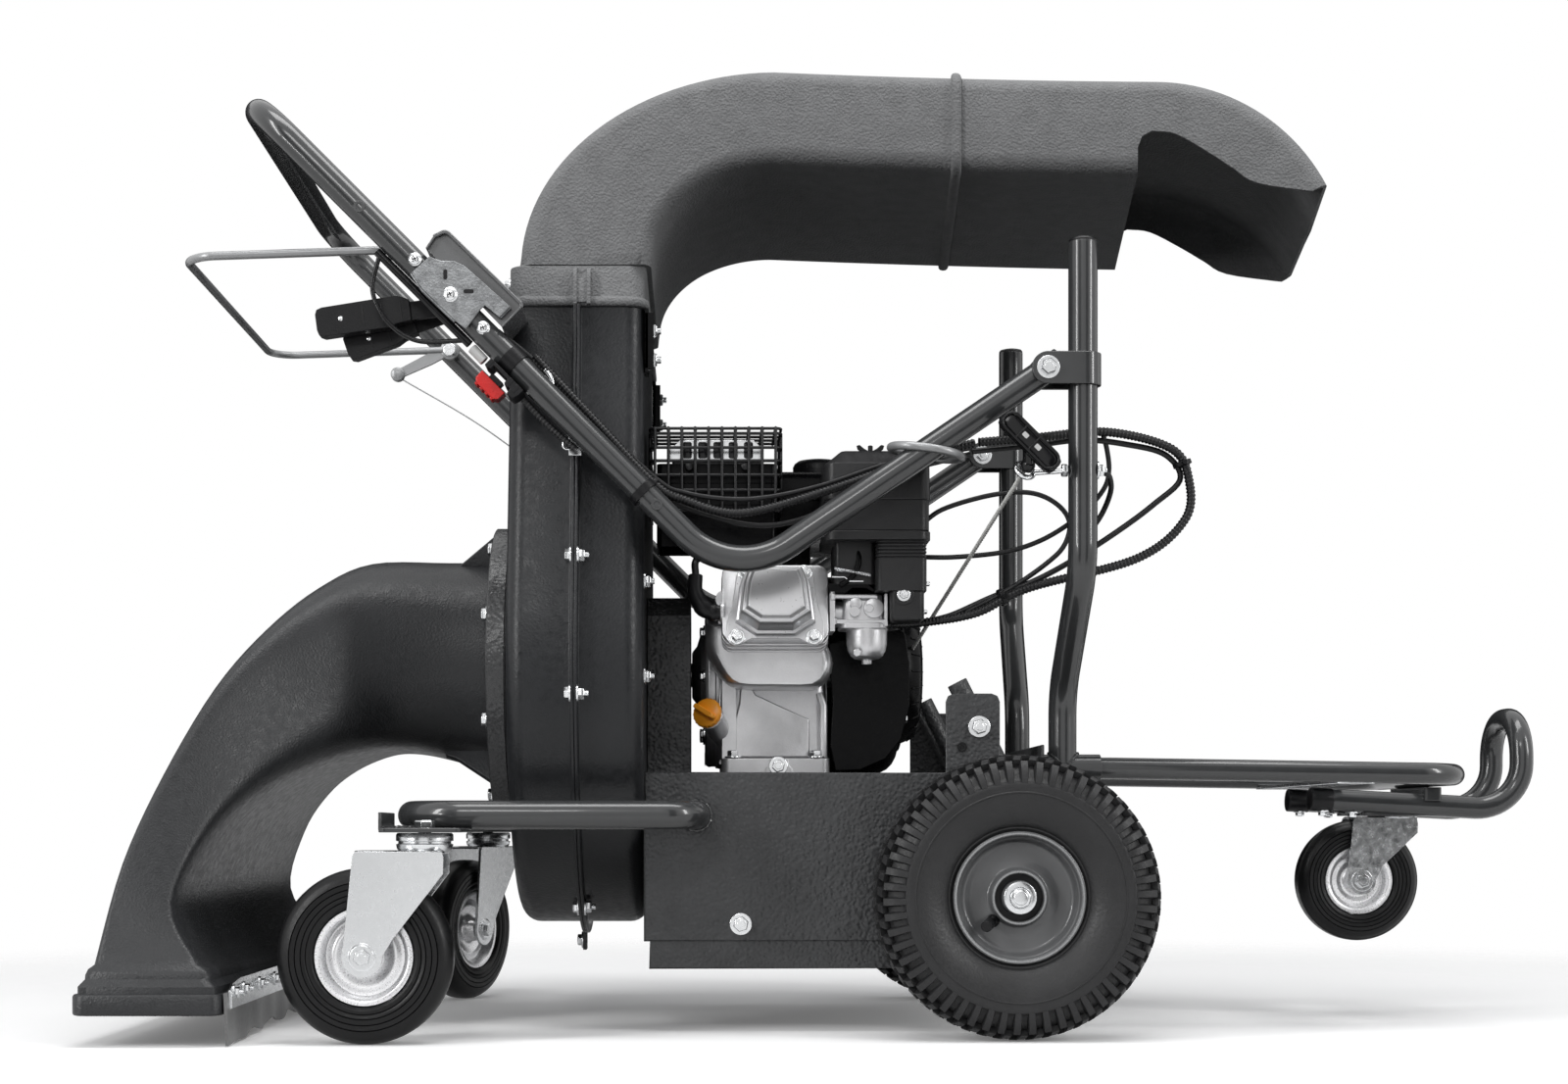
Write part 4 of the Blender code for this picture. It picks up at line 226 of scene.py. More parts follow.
def rounded(points, radii, steps=8):
    """A polyline whose inner corners become arcs."""
    points = [Vector(p) for p in points]
    if not isinstance(radii, (list, tuple)):
        radii = [radii] * (len(points) - 2)
    path = [points[0]]
    for i in range(1, len(points) - 1):
        before = (points[i - 1] - points[i]).normalized()
        after = (points[i + 1] - points[i]).normalized()
        half = before.angle(after) / 2
        centre = points[i] + (before + after).normalized() * (radii[i - 1] / sin(half))
        first = points[i] + before * (radii[i - 1] / tan(half)) - centre
        last = points[i] + after * (radii[i - 1] / tan(half)) - centre
        for k in range(steps + 1):
            path.append(centre + first.slerp(last, k / steps).normalized() * radii[i - 1])
    path.append(points[-1])
    return path


def between(a, b, c, d, t):
    """A place on the smooth curve through four points, from the second to the third."""
    bend = 2 * a - 5 * b + 4 * c - d
    return (2 * b + (c - a) * t + bend * t * t + (3 * b - a - 3 * c + d) * t ** 3) / 2


def curve(points, count=40):
    """Points on a smooth curve through the given points."""
    points = [Vector(p) for p in points]
    ends = [2 * points[0] - points[1]] + points + [2 * points[-1] - points[-2]]
    path = []
    spans = len(points) - 1
    for n in range(count + 1):
        place = min(n * spans / count, spans - 1e-9)
        i = int(place)
        t = place - i
        path.append(between(*ends[i:i + 4], t))
    return path


def rounded_rect(x0, x1, y0, y1, radius, steps=6):
    """A rectangle with round corners, in two coordinates."""
    points = []
    corners = ((x1 - radius, y1 - radius), (x0 + radius, y1 - radius), (x0 + radius, y0 + radius),
               (x1 - radius, y0 + radius))
    for quarter, (x, y) in enumerate(corners):
        for k in range(steps + 1):
            turn = (quarter + k / steps) * pi / 2
            points.append(on_circle(radius, turn, x, y))
    return points


class Kit:
    """Gathers shapes in one mesh."""

    def __init__(self):
        self.bm = bmesh.new()

    def loft(self, loops, ring=False):
        """Joins outlines with equal counts of points; a ring closes on itself, others get end caps."""
        rows = [[self.bm.verts.new(p) for p in loop] for loop in loops]
        pairs = list(zip(rows, rows[1:]))
        if ring:
            pairs.append((rows[-1], rows[0]))
        count = len(rows[0])
        for low, high in pairs:
            for i in range(count):
                j = (i + 1) % count
                self.bm.faces.new((low[i], low[j], high[j], high[i]))
        if not ring:
            self.bm.faces.new(rows[0][::-1])
            self.bm.faces.new(rows[-1])
        return self

    def turn(self, profile, origin=(0, 0, 0), axis=(0, 1, 0), seg=48, ring=False):
        """Revolves (along, radius) points about an axis; a ring profile closes on itself."""
        along, side, up = frame_of(axis)
        origin = Vector(origin)
        loops = []
        for a, r in profile:
            r = max(r, 1e-5)
            loops.append([origin + along * a + (side * cos(t) + up * sin(t)) * r for t in turns(seg)])
        return self.loft(loops, ring)

    def sweep(self, path, radius, seg=16, ring=False, wall=0.0):
        """A round bar or tube along a path; radius may be a list, one per point."""
        path = [Vector(p) for p in path]
        count = len(path)
        radii = radius if isinstance(radius, (list, tuple)) else [radius] * count
        loops = []
        inner = []
        side = None
        for i, point in enumerate(path):
            back = path[i - 1] if (i or ring) else None
            ahead = path[(i + 1) % count] if (i < count - 1 or ring) else None
            start = back if back is not None else point
            end = ahead if ahead is not None else point
            along = (end - start).normalized()
            if side is None:
                side = frame_of(along)[1]
            side = (side - along * side.dot(along)).normalized()
            up = along.cross(side)
            circle = [side * cos(t) + up * sin(t) for t in turns(seg)]
            loops.append([point + c * radii[i] for c in circle])
            inner.append([point + c * max(radii[i] - wall, 1e-4) for c in circle])
        if wall:
            return self.loft(loops + inner[::-1], True)
        return self.loft(loops, ring)

    def prism(self, outline, axis, start, end):
        """An outline in two coordinates, given in X, Y, Z order, drawn out along an axis."""
        place = "XYZ".index(axis)
        return self.loft([[(*p[:place], a, *p[place:]) for p in outline] for a in (start, end)])

    def box(self, x0, x1, y0, y1, z0, z1):
        """A box between its lowest and highest coordinates."""
        return self.prism([(x0, y0), (x1, y0), (x1, y1), (x0, y1)], "Z", z0, z1)

    def hexa(self, origin, axis, across, height):
        """A hexagonal head with chamfered corners."""
        along, side, up = frame_of(axis)
        origin = Vector(origin)
        corner = across / sqrt(3)
        rows = []
        for a, share in ((0, 0.97), (height * 0.12, 1.0), (height * 0.82, 1.0), (height, 0.88)):
            rows.append([origin + along * a + (side * cos(t) + up * sin(t)) * corner * share
                         for t in (pi / 3 * i + 0.3 for i in range(6))])
        return self.loft(rows)

    def bolt(self, origin, axis, across=0.013, height=0.006, stud=0.0):
        """A washer with a hexagonal head, and a stud end for a nut."""
        origin = Vector(origin)
        along = Vector(axis).normalized()
        r = across * 0.82
        self.turn([(-0.0006, r * 0.5), (-0.0006, r), (0.0009, r), (0.0013, r * 0.96), (0.0013, r * 0.5)],
                  origin, axis, 28)
        self.hexa(origin + along * 0.001, axis, across, height)
        if stud:
            top = height + 0.001
            r = across * 0.29
            rows = [(top - 0.001, r)]
            for i in range(6):
                a = top + stud * i / 6
                rows += [(a, r), (a + stud / 12, r * 0.88)]
            rows += [(top + stud, r * 0.9)]
            self.turn(rows, origin, axis, 14)
        else:
            self.turn([(height, across * 0.34), (height + 0.0012, across * 0.3), (height + 0.0012, 0)],
                      origin, axis, 16)
        return self

    def moved(self, matrix, start=0):
        """Moves the shapes added since vertex `start`."""
        self.bm.verts.ensure_lookup_table()
        bmesh.ops.transform(self.bm, matrix=matrix, verts=self.bm.verts[start:])
        return self

    def size(self):
        """How many points the shapes have so far."""
        return len(self.bm.verts)

    def done(self, name, material, body="chassis", bevel=0.0, sharp=38, segments=2, node="", slot=None):
        """Makes the object, gives it its modifiers and hangs it on its body; given a pair of bodies it stays
        unhung, in world space.
        """
        bmesh.ops.remove_doubles(self.bm, verts=self.bm.verts, dist=2e-6)
        bmesh.ops.dissolve_degenerate(self.bm, edges=self.bm.edges, dist=1e-7)
        loose = [e for e in self.bm.edges if not e.link_faces]
        bmesh.ops.delete(self.bm, geom=loose, context="EDGES")
        bmesh.ops.recalc_face_normals(self.bm, faces=self.bm.faces)
        mesh = bpy.data.meshes.new(name)
        self.bm.to_mesh(mesh)
        self.bm.free()
        mesh.shade_smooth()
        mesh.set_sharp_from_angle(angle=radians(sharp))
        mesh.materials.append(material)
        made = placed(name, mesh)
        if bevel:
            step = made.modifiers.new("bevel", "BEVEL")
            step.width = bevel
            step.segments = segments
            step.limit_method = "ANGLE"
            step.angle_limit = radians(sharp)
            step.use_clamp_overlap = True
        if isinstance(body, str):
            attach(made, body)
        else:
            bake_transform(made)
        if node:
            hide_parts(node)
        return made


def dress(name, material):
    """Gives a CAD node that stays in view its finish."""
    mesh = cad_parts[name].data
    mesh.materials.clear()
    mesh.materials.append(material)
    mesh.shade_smooth()
    mesh.set_sharp_from_angle(angle=radians(30))


# Floor, sky, cards and lamps

def lamp(name, place, target, wide, high, power):
    """A soft rectangular lamp that faces a target."""
    data = bpy.data.lights.new(name, "AREA")
    data.shape = "RECTANGLE"
    data.size = wide
    data.size_y = high
    data.energy = power
    made = placed(name, data)
    made.location = place
    made.rotation_euler = (Vector(target) - Vector(place)).to_track_quat("-Z", "Y").to_euler()


lamp("lamp_top", (0.1, -0.55, 2.9), (0.0, 0.0, 0.3), 2.4, 1.0, 44)
lamp("lamp_left", (-2.5, -1.9, 1.5), (-0.1, 0.0, 0.45), 0.42, 1.9, 36)
lamp("lamp_right", (2.5, -1.7, 1.4), (0.1, 0.0, 0.45), 0.38, 1.7, 30)
lamp("lamp_low", (-2.3, -2.3, 0.53), (-0.3, -0.2, 0.34), 0.25, 0.26, 5)
lamp("lamp_front", (-0.9, -3.4, 2.3), (0.0, 0.0, 0.4), 1.0, 0.6, 16)


def mottled(tree, vector, scale, low, high):
    """A cloudy grey between two tones."""
    cloud = add_node(tree, "TexNoise", {"Scale": scale, **vector})
    return add_node(tree, "MapRange", {"To Min": low, "To Max": high,
            "Value": cloud.outputs["Fac"]}).outputs["Result"]


def card(name, x0, x1, y):
    """A dark card that only mirrors see, so that dark surfaces keep their depth."""
    made, tree, shader = new_material(name)
    fill(tree, shader, {"Roughness": 0.9, "Specular IOR Level": 0.0, "Base Color": mottled(tree, {}, 1.5,
            0.015, 0.03)})
    mesh = bpy.data.meshes.new(name)
    mesh.from_pydata([(x0, y, -1.5), (x1, y, -1.5), (x1, y, 4.5), (x0, y, 4.5)], [], [(0, 1, 2, 3)])
    mesh.materials.append(made)
    plane = placed(name, mesh)
    plane.visible_camera = False
    plane.visible_diffuse = False
    plane.visible_shadow = False
    plane.visible_transmission = False


card("card_left", -3.6, -1.7, -4.6)
card("card_back", -6.0, 6.0, 4.6)
card("card_right", 1.3, 3.0, -4.6)


def sky():
    """White to the camera, to mirrors and through glass, softer to everything else."""
    scene.world = bpy.data.worlds.new("sky")
    scene.world.use_nodes = True
    tree = scene.world.node_tree
    tree.nodes.clear()
    rays = add_node(tree, "LightPath", {}).outputs
    seen = add_node(tree, "Math", {0: rays["Is Camera Ray"], 1: rays["Is Transmission Ray"]}, operation="ADD",
                    use_clamp=True)
    both = add_node(tree, "Math", {0: seen.outputs[0], 1: rays["Is Glossy Ray"]}, operation="ADD",
                    use_clamp=True)
    parts = add_node(tree, "SeparateXYZ", {0: add_node(tree, "TexCoord", {}).outputs["Generated"]})
    rise = add_node(tree, "MapRange", {"From Min": -0.35, "From Max": 0.35, "To Min": 0.05, "To Max": 0.36,
            "Value": parts.outputs["Z"]})
    soft = add_node(tree, "Background", {"Color": (0.97, 0.98, 1.0, 1), "Strength": rise.outputs["Result"]})
    white = add_node(tree, "Background", {"Color": (1, 1, 1, 1), "Strength": 1.0})
    mix = add_node(tree, "MixShader", {"Fac": both.outputs[0], 1: soft.outputs[0], 2: white.outputs[0]})
    add_node(tree, "OutputWorld", {"Surface": mix.outputs[0]})


def floor():
    """A wide pale floor that melts into the backdrop."""
    made, tree, shader = new_material("floor")
    place = add_node(tree, "TexCoord", {}).outputs["Object"]
    fill(tree, shader, {"Roughness": 0.75, "Specular IOR Level": 0.25, "Emission Color": (1, 1, 1, 1),
            "Emission Strength": 0.13, "Base Color": mottled(tree, {"Vector": place}, 3.0, 0.955, 0.985)})
    reach = add_node(tree, "VectorMath", {0: place}, operation="LENGTH")
    fade = add_node(tree, "MapRange", {"From Min": 0.9, "From Max": 1.9, "Value": reach.outputs["Value"]},
                    interpolation_type="SMOOTHSTEP")
    clear = add_node(tree, "BsdfTransparent", {})
    mix = add_node(tree, "MixShader", {"Fac": fade.outputs["Result"], 1: shader.outputs[0],
            2: clear.outputs[0]})
    fill(tree, tree.nodes["Material Output"], {"Surface": mix.outputs[0]})
    bm = bmesh.new()
    bmesh.ops.create_grid(bm, x_segments=8, y_segments=8, size=4)
    mesh = bpy.data.meshes.new("floor")
    bm.to_mesh(mesh)
    bm.free()
    mesh.materials.append(made)
    plane = placed("floor", mesh)
    plane.visible_diffuse = False


sky()
floor()
bpy.context.scene.view_settings.view_transform = "Standard"


# Impeller housing

CRANK_Z = 0.355
SHAFT = ((0, 0, CRANK_Z), (1, 0, 0))
SEAM_X = -0.262
FRONT_FACE_X = -0.327
REAR_FACE_X = -0.198
HOUSING_R = 0.2555
NECK_HALF = 0.198
NECK_Z = 0.66
HOUSING_TOP_Z = 0.694
FLANGE = 0.012
SEAM_BOLT_Z = (0.677, 0.451, 0.321, 0.118)


def scroll(offset, top, steps=88):
    """The housing's outline in Y and Z: a circle drawn up into the straight neck."""
    radius = HOUSING_R + offset
    half = NECK_HALF + offset
    rise = NECK_Z - CRANK_Z
    touch = atan2(rise, half) - acos(radius / hypot(half, rise))
    points = []
    for i in range(steps + 1):
        turn = touch - i * (pi + 2 * touch) / steps
        points.append(on_circle(radius, turn, 0, CRANK_Z))
    low = points[-1]
    for k in range(1, 5):
        share = k / 5
        points.append((low[0] + (-half - low[0]) * share, low[1] + (NECK_Z - low[1]) * share))
    points += [(-half, NECK_Z), (-half, top), (-half / 3, top), (half / 3, top), (half, top), (half, NECK_Z)]
    high = points[0]
    for k in range(4, 0, -1):
        share = k / 5
        points.append((high[0] + (half - high[0]) * share, high[1] + (NECK_Z - high[1]) * share))
    return points


def seam_half(z):
    """Half the width of the seam flange's middle line at a height."""
    right = sorted((p for p in scroll(FLANGE * 0.55, HOUSING_TOP_Z) if p[0] > 0), key=lambda p: p[1])
    for low, high in zip(right, right[1:]):
        if low[1] <= z <= high[1]:
            share = (z - low[1]) / max(high[1] - low[1], 1e-9)
            return low[0] + (high[0] - low[0]) * share
    return right[0][0]


def shell(name, sign, face, eye):
    """One pressed shell with a rolled corner, a seam flange and a lipped eye."""
    top = HOUSING_TOP_Z + 0.05
    seam = SEAM_X + sign * 0.00015
    sheet, edge = 0.003, 0.018

    def row(offset, x):
        return [(x, *p) for p in scroll(offset, top)]

    def ring(radius, x):
        made = []
        for y, z in scroll(-edge, top):
            turn = atan2(z - CRANK_Z, y)
            made.append((x, *on_circle(radius, turn, 0, CRANK_Z)))
        return made

    def corner(radius, base, inset, share):
        turn = share * pi / 2
        return row(base - radius * (1 - cos(turn)), face - sign * (inset + radius * (1 - sin(turn))))

    loops = [row(-sheet, seam), row(FLANGE - 0.0006, seam), row(FLANGE, seam + sign * 0.0006),
             row(FLANGE, seam + sign * (sheet - 0.0006)), row(FLANGE - 0.0006, seam + sign * sheet),
             row(0.0025, seam + sign * sheet), row(0.0008, seam + sign * (sheet + 0.0008)),
             row(0, seam + sign * (sheet + 0.0025))]
    loops += [corner(edge, 0, 0, s / 7) for s in range(8)]
    loops += [ring(eye + 0.016, face), ring(eye + 0.012, face), ring(eye + 0.008, face + sign * 0.0002),
              ring(eye, face - sign * 0.0005), ring(eye, face - sign * sheet)]
    loops += [corner(edge - sheet, -sheet, sheet, s / 4) for s in range(4, -1, -1)]
    kit = Kit()
    kit.loft(loops, ring=True)
    cut = bmesh.ops.bisect_plane(kit.bm, geom=kit.bm.verts[:] + kit.bm.edges[:] + kit.bm.faces[:],
            plane_co=(0, 0, HOUSING_TOP_Z), plane_no=(0, 0, 1), clear_outer=True)
    rim = [e for e in cut["geom_cut"] if isinstance(e, bmesh.types.BMEdge)]
    bmesh.ops.edgeloop_fill(kit.bm, edges=rim)
    if sign < 0:
        kit.box(SEAM_X - 0.004, SEAM_X - 0.0002, -0.011, 0.011, 0.07, 0.101)
    return kit.done("shell_" + name + "_skin", SHELL, bevel=0.0005, node="housing_" + name + "_shell")


shell("front", -1, FRONT_FACE_X, 0.108)
shell("rear", 1, REAR_FACE_X, 0.034)

kit = Kit()
for z in SEAM_BOLT_Z:
    for side in (-1, 1):
        y = side * seam_half(z)
        kit.bolt((SEAM_X - 0.0033, y, z), (-1, 0, 0), 0.0105, 0.0045)
        kit.bolt((SEAM_X + 0.0033, y, z), (1, 0, 0), 0.0105, 0.0055, stud=0.004)
kit.bolt((SEAM_X - 0.0045, 0, 0.08), (-1, 0, 0), 0.0105, 0.0045)
for y, z in ((0.196, 0.432), (0.2, 0.341)):
    for side in (-1, 1):
        kit.bolt((REAR_FACE_X + 0.0003, side * y, z), (1, 0, 0), 0.0105, 0.005, stud=0.0035)
kit.done("housing_bolts", BRIGHT, bevel=0.0003)

# Small bent clip on the near edge of the seam
kit = Kit()
clip_y = -seam_half(0.556) - 0.0058
kit.box(SEAM_X - 0.006, SEAM_X - 0.0035, clip_y - 0.001, clip_y + 0.01, 0.546, 0.568)
kit.box(SEAM_X + 0.0035, SEAM_X + 0.006, clip_y - 0.001, clip_y + 0.01, 0.546, 0.568)
kit.box(SEAM_X - 0.006, SEAM_X + 0.006, clip_y - 0.003, clip_y - 0.0006, 0.546, 0.568)
kit.sweep(rounded([(SEAM_X - 0.005, clip_y - 0.002, 0.552), (SEAM_X - 0.011, clip_y - 0.004, 0.552),
        (SEAM_X - 0.011, clip_y - 0.004, 0.562)], 0.003), 0.0014, 8)
kit.done("seam_clip", BRIGHT, bevel=0.0004)


# Nozzle

# Front and rear edge in X and Z, half the width, and how square the section is
MOUTH_STATIONS = [((-0.706, 0.028), (-0.571, 0.028), 0.35, 40), ((-0.706, 0.054), (-0.571, 0.054), 0.35, 40)]
BEND_STATIONS = (((-0.691, 0.073), (-0.592, 0.073), 0.333, 26), ((-0.673, 0.165), (-0.622, 0.125), 0.305, 16),
        ((-0.646, 0.248), (-0.598, 0.19), 0.266, 11), ((-0.609, 0.333), (-0.561, 0.232), 0.222, 8),
        ((-0.57, 0.394), (-0.52, 0.257), 0.184, 5.5), ((-0.527, 0.44), (-0.474, 0.272), 0.153, 3.8),
        ((-0.48, 0.468), (-0.437, 0.273), 0.128, 2.7), ((-0.404, 0.471), (-0.394, 0.264), 0.114, 2.1),
        ((-0.336, 0.471), (-0.336, 0.246), 0.111, 2.0))


def nozzle_section(front, rear, half, power, grow=0.0, count=96):
    """A closed superellipse across the nozzle."""
    front = Vector((front[0], 0, front[1]))
    rear = Vector((rear[0], 0, rear[1]))
    centre = (front + rear) / 2
    across = (rear - front).normalized()
    deep = (rear - front).length / 2 + grow
    wide = half + grow
    loop = []
    for i in range(count):
        turn = 2 * pi * (i + 0.5) / count
        c, s = cos(turn), sin(turn)
        u = copysign(abs(c) ** (2 / power), c) * deep
        v = copysign(abs(s) ** (2 / power), s) * wide
        loop.append(centre + across * u + Vector((0, v, 0)))
    return loop


def foot_section(x0, x1, half, z, radius=0.012, count=96):
    """The foot's outline with the nozzle's count of points and round corners."""
    loop = []
    for point in nozzle_section((x0, z), (x1, z), half, 40, count=count):
        mid = (x0 + x1) / 2
        x, y = point.x - mid, point.y
        over_x = abs(x) - ((x1 - x0) / 2 - radius)
        over_y = abs(y) - (half - radius)
        if over_x > 0 and over_y > 0:
            reach = hypot(over_x, over_y)
            x = copysign((x1 - x0) / 2 - radius + over_x * radius / reach, x)
            y = copysign(half - radius + over_y * radius / reach, y)
        loop.append(Vector((mid + x, y, z)))
    return loop


def station_between(stations, t):
    """A station read from a smooth curve through four of them."""
    front = tuple(between(*(s[0][k] for s in stations), t) for k in (0, 1))
    rear = tuple(between(*(s[1][k] for s in stations), t) for k in (0, 1))
    half = between(*(s[2] for s in stations), t)
    return front, rear, half, max(2.0, between(*(s[3] for s in stations), t))


GUSSET_TURNS = (20, 140, -100)
BAND_OUT = 0.0088


def nozzle_skin():
    """The moulded nozzle with its rim, bend and round neck, its flange and its gussets."""
    low = [foot_section(*s) for s in ((-0.7046, -0.5724, 0.3486, 0.0284), (-0.7058, -0.5712, 0.3498, 0.0298),
            (-0.7058, -0.5712, 0.3498, 0.0452), (-0.7048, -0.5722, 0.3488, 0.047),
            (-0.6985, -0.579, 0.3425, 0.0486), (-0.6972, -0.5806, 0.341, 0.05),
            (-0.6974, -0.5808, 0.3408, 0.056), (-0.6968, -0.5818, 0.3402, 0.064),
            (-0.6948, -0.5846, 0.338, 0.069))]
    run = BEND_STATIONS
    fine = []
    for i in range(len(run) - 1):
        four = (run[max(i - 1, 0)], run[i], run[i + 1], run[min(i + 2, len(run) - 1)])
        fine += [station_between(four, k / 5) for k in range(5)]
    fine.append(run[-1])
    outer = low + [nozzle_section(*s) for s in fine]
    inner = [nozzle_section(*s, grow=-0.004) for s in MOUTH_STATIONS + fine]
    kit = Kit()
    kit.loft(outer + inner[::-1], ring=True)
    face = FRONT_FACE_X - 0.0003
    kit.turn([(0, 0.1055), (0, 0.138), (0.007, 0.138), (0.0074, 0.15), (0.0266, 0.15), (0.0272, 0.1494),
              (0.0272, 0.118), (0.03, 0.113), (0.03, 0.108), (0.026, 0.1055)], (face, 0, CRANK_Z), (-1, 0, 0),
             96, ring=True)
    for turn in GUSSET_TURNS:
        start = kit.size()
        top = CRANK_Z + 0.111
        base = face - 0.026
        kit.prism([(base, top - 0.003), (base - 0.048, top - 0.003), (base - 0.048, top + 0.0015),
                   (base - 0.036, top + 0.0065), (base, CRANK_Z + 0.1475)], "Y", -0.003, 0.003)
        about = Matrix.Translation((0, 0, CRANK_Z))
        kit.moved(about @ Matrix.Rotation(radians(turn), 4, "X") @ about.inverted(), start)
    return kit.done("nozzle_moulding", NOZZLE, bevel=0.0009, sharp=42, node="suction_nozzle")


nozzle_skin()

# Grained band round the flange
Kit().turn([(BAND_OUT, 0.1502), (BAND_OUT, 0.1508), (BAND_OUT + 0.0006, 0.1514), (0.0258, 0.1514),
            (0.0264, 0.1508), (0.0264, 0.1502)], (FRONT_FACE_X - 0.0003, 0, CRANK_Z), (-1, 0, 0), 96,
           ring=True).done("nozzle_flange_band", BAND)

kit = Kit()
for i in range(8):
    turn = radians(22.5 + 45 * i)
    kit.bolt((FRONT_FACE_X - 0.0275, *on_circle(0.135, turn, 0, CRANK_Z)), (-1, 0, 0), 0.011, 0.005)
kit.done("nozzle_flange_bolts", BRIGHT, bevel=0.0003)

# Skirt and its clamping strip behind the mouth
kit = Kit()
half = 0.342
rows = 80
loops = []
for i in range(rows + 1):
    y = -half + 2 * half * i / rows
    end = max(0.0, abs(y) - half * 0.45) / (half * 0.55)
    sag = 0.001 + 0.0085 * (1 - end) * (0.6 + 0.4 * sin(i * 0.55))
    bow = 0.0012 * sin(i * 0.8) * (1 - end) + 0.002 * end * end
    x = -0.5704
    loops.append([(x + bow, y, sag), (x + 0.0026 + bow, y, sag), (x + 0.0027 + bow * 0.6, y, 0.02),
                  (x + 0.0027, y, 0.048), (x, y, 0.048), (x + bow * 0.6, y, 0.02)])
kit.loft(loops)
kit.done("skirt_flap", SKIRT, sharp=60, node="nozzle_skirt")

kit = Kit()
strip_x = -0.5674
strip = [(-0.334, 0.0335), (0.334, 0.0335), (0.334, 0.05), (0.322, 0.056), (0.29, 0.059), (-0.29, 0.059),
         (-0.322, 0.056), (-0.334, 0.05)]
kit.prism(strip, "X", strip_x, strip_x + 0.0018)
for y in (0.318, 0.272, 0.196, 0.118, 0.04):
    for side in (-1, 1):
        kit.bolt((strip_x + 0.0019, side * y, 0.0475), (1, 0, 0), 0.0085, 0.0045, stud=0.0035)
for side in (-1, 1):
    kit.box(strip_x + 0.0018, strip_x + 0.003, side * 0.3265 - 0.006, side * 0.3265 + 0.006, 0.034, 0.049)
kit.done("skirt_strip", ZINC, bevel=0.0003, node="nozzle_strip")


# Discharge duct

DUCT_HALF = 0.198
DUCT_CORNER_R = 0.016
DUCT_WALL = 0.004
ELBOW_START_Z = 0.7337
ELBOW_END_X = -0.07
ELBOW_TOP_Z = 0.922
ELBOW_BOTTOM_Z = 0.833
ELBOW_THROAT_Z = 0.745
DUCT_FALL = 0.048
DUCT_SWEEP = 0.14
SWEEP_FROM_X = -0.144
DUCT_JOINT_X = 0.108
HOOD_START_X = 0.3114
HOOD_R = 0.195
HOOD_TURN = radians(60)
HOOD_WALL_H = 0.075
HOOD_TILT = 0.025
FLOOR_END_X = 0.2947
HOOD_EDGE = ((0.2928, 0.8387), (0.297, 0.849), (0.3065, 0.8535), (0.3301, 0.8495), (0.3624, 0.8305),
             (0.3853, 0.815), (0.4081, 0.8005), (0.464, 0.7895))


def duct_section(outer, inner, grow=0.0, steps=8):
    """A rounded rectangle between the duct's top line and its bottom line."""
    outer = Vector((outer[0], 0, outer[1]))
    inner = Vector((inner[0], 0, inner[1]))
    centre = (outer + inner) / 2
    up = (outer - inner).normalized()
    high = (outer - inner).length / 2 + grow
    wide = DUCT_HALF + grow
    radius = DUCT_CORNER_R + grow
    loop = []
    for quarter, (u, v) in enumerate(((1, 1), (-1, 1), (-1, -1), (1, -1))):
        for k in range(steps + 1):
            turn = (quarter + k / steps) * pi / 2
            loop.append(centre + Vector((0, u * (wide - radius) + radius * cos(turn), 0))
                        + up * (v * (high - radius) + radius * sin(turn)))
    return loop


def duct_lines(x):
    """The top and bottom of the straight run at a place along it."""
    fall = DUCT_FALL * (x - ELBOW_END_X)
    return (x, ELBOW_TOP_Z - fall), (x, ELBOW_BOTTOM_Z - fall)


def swept_aside(kit):
    """Bends the duct gently towards the near side as it runs to the rear."""
    for vert in kit.bm.verts:
        run = max(0.0, vert.co.x - SWEEP_FROM_X)
        across = vert.co.y
        vert.co.y = across - DUCT_SWEEP * run * run
        vert.co.x += 2 * DUCT_SWEEP * run * across
    return kit


def carve(kit, cutter):
    """Cuts one closed mesh out of another."""
    things = []
    for bm in (kit.bm, cutter.bm):
        bmesh.ops.remove_doubles(bm, verts=bm.verts, dist=1e-6)
        bmesh.ops.recalc_face_normals(bm, faces=bm.faces)
        mesh = bpy.data.meshes.new("carving")
        bm.to_mesh(mesh)
        bm.free()
        things.append(placed("carving", mesh))
    step = things[0].modifiers.new("carve", "BOOLEAN")
    step.operation = "DIFFERENCE"
    step.solver = "EXACT"
    step.object = things[1]
    bpy.context.view_layer.update()
    graph = bpy.context.evaluated_depsgraph_get()
    mesh = bpy.data.meshes.new_from_object(things[0].evaluated_get(graph))
    kit.bm = bmesh.new()
    kit.bm.from_mesh(mesh)
    for thing in things:
        bpy.data.objects.remove(thing)
    return kit


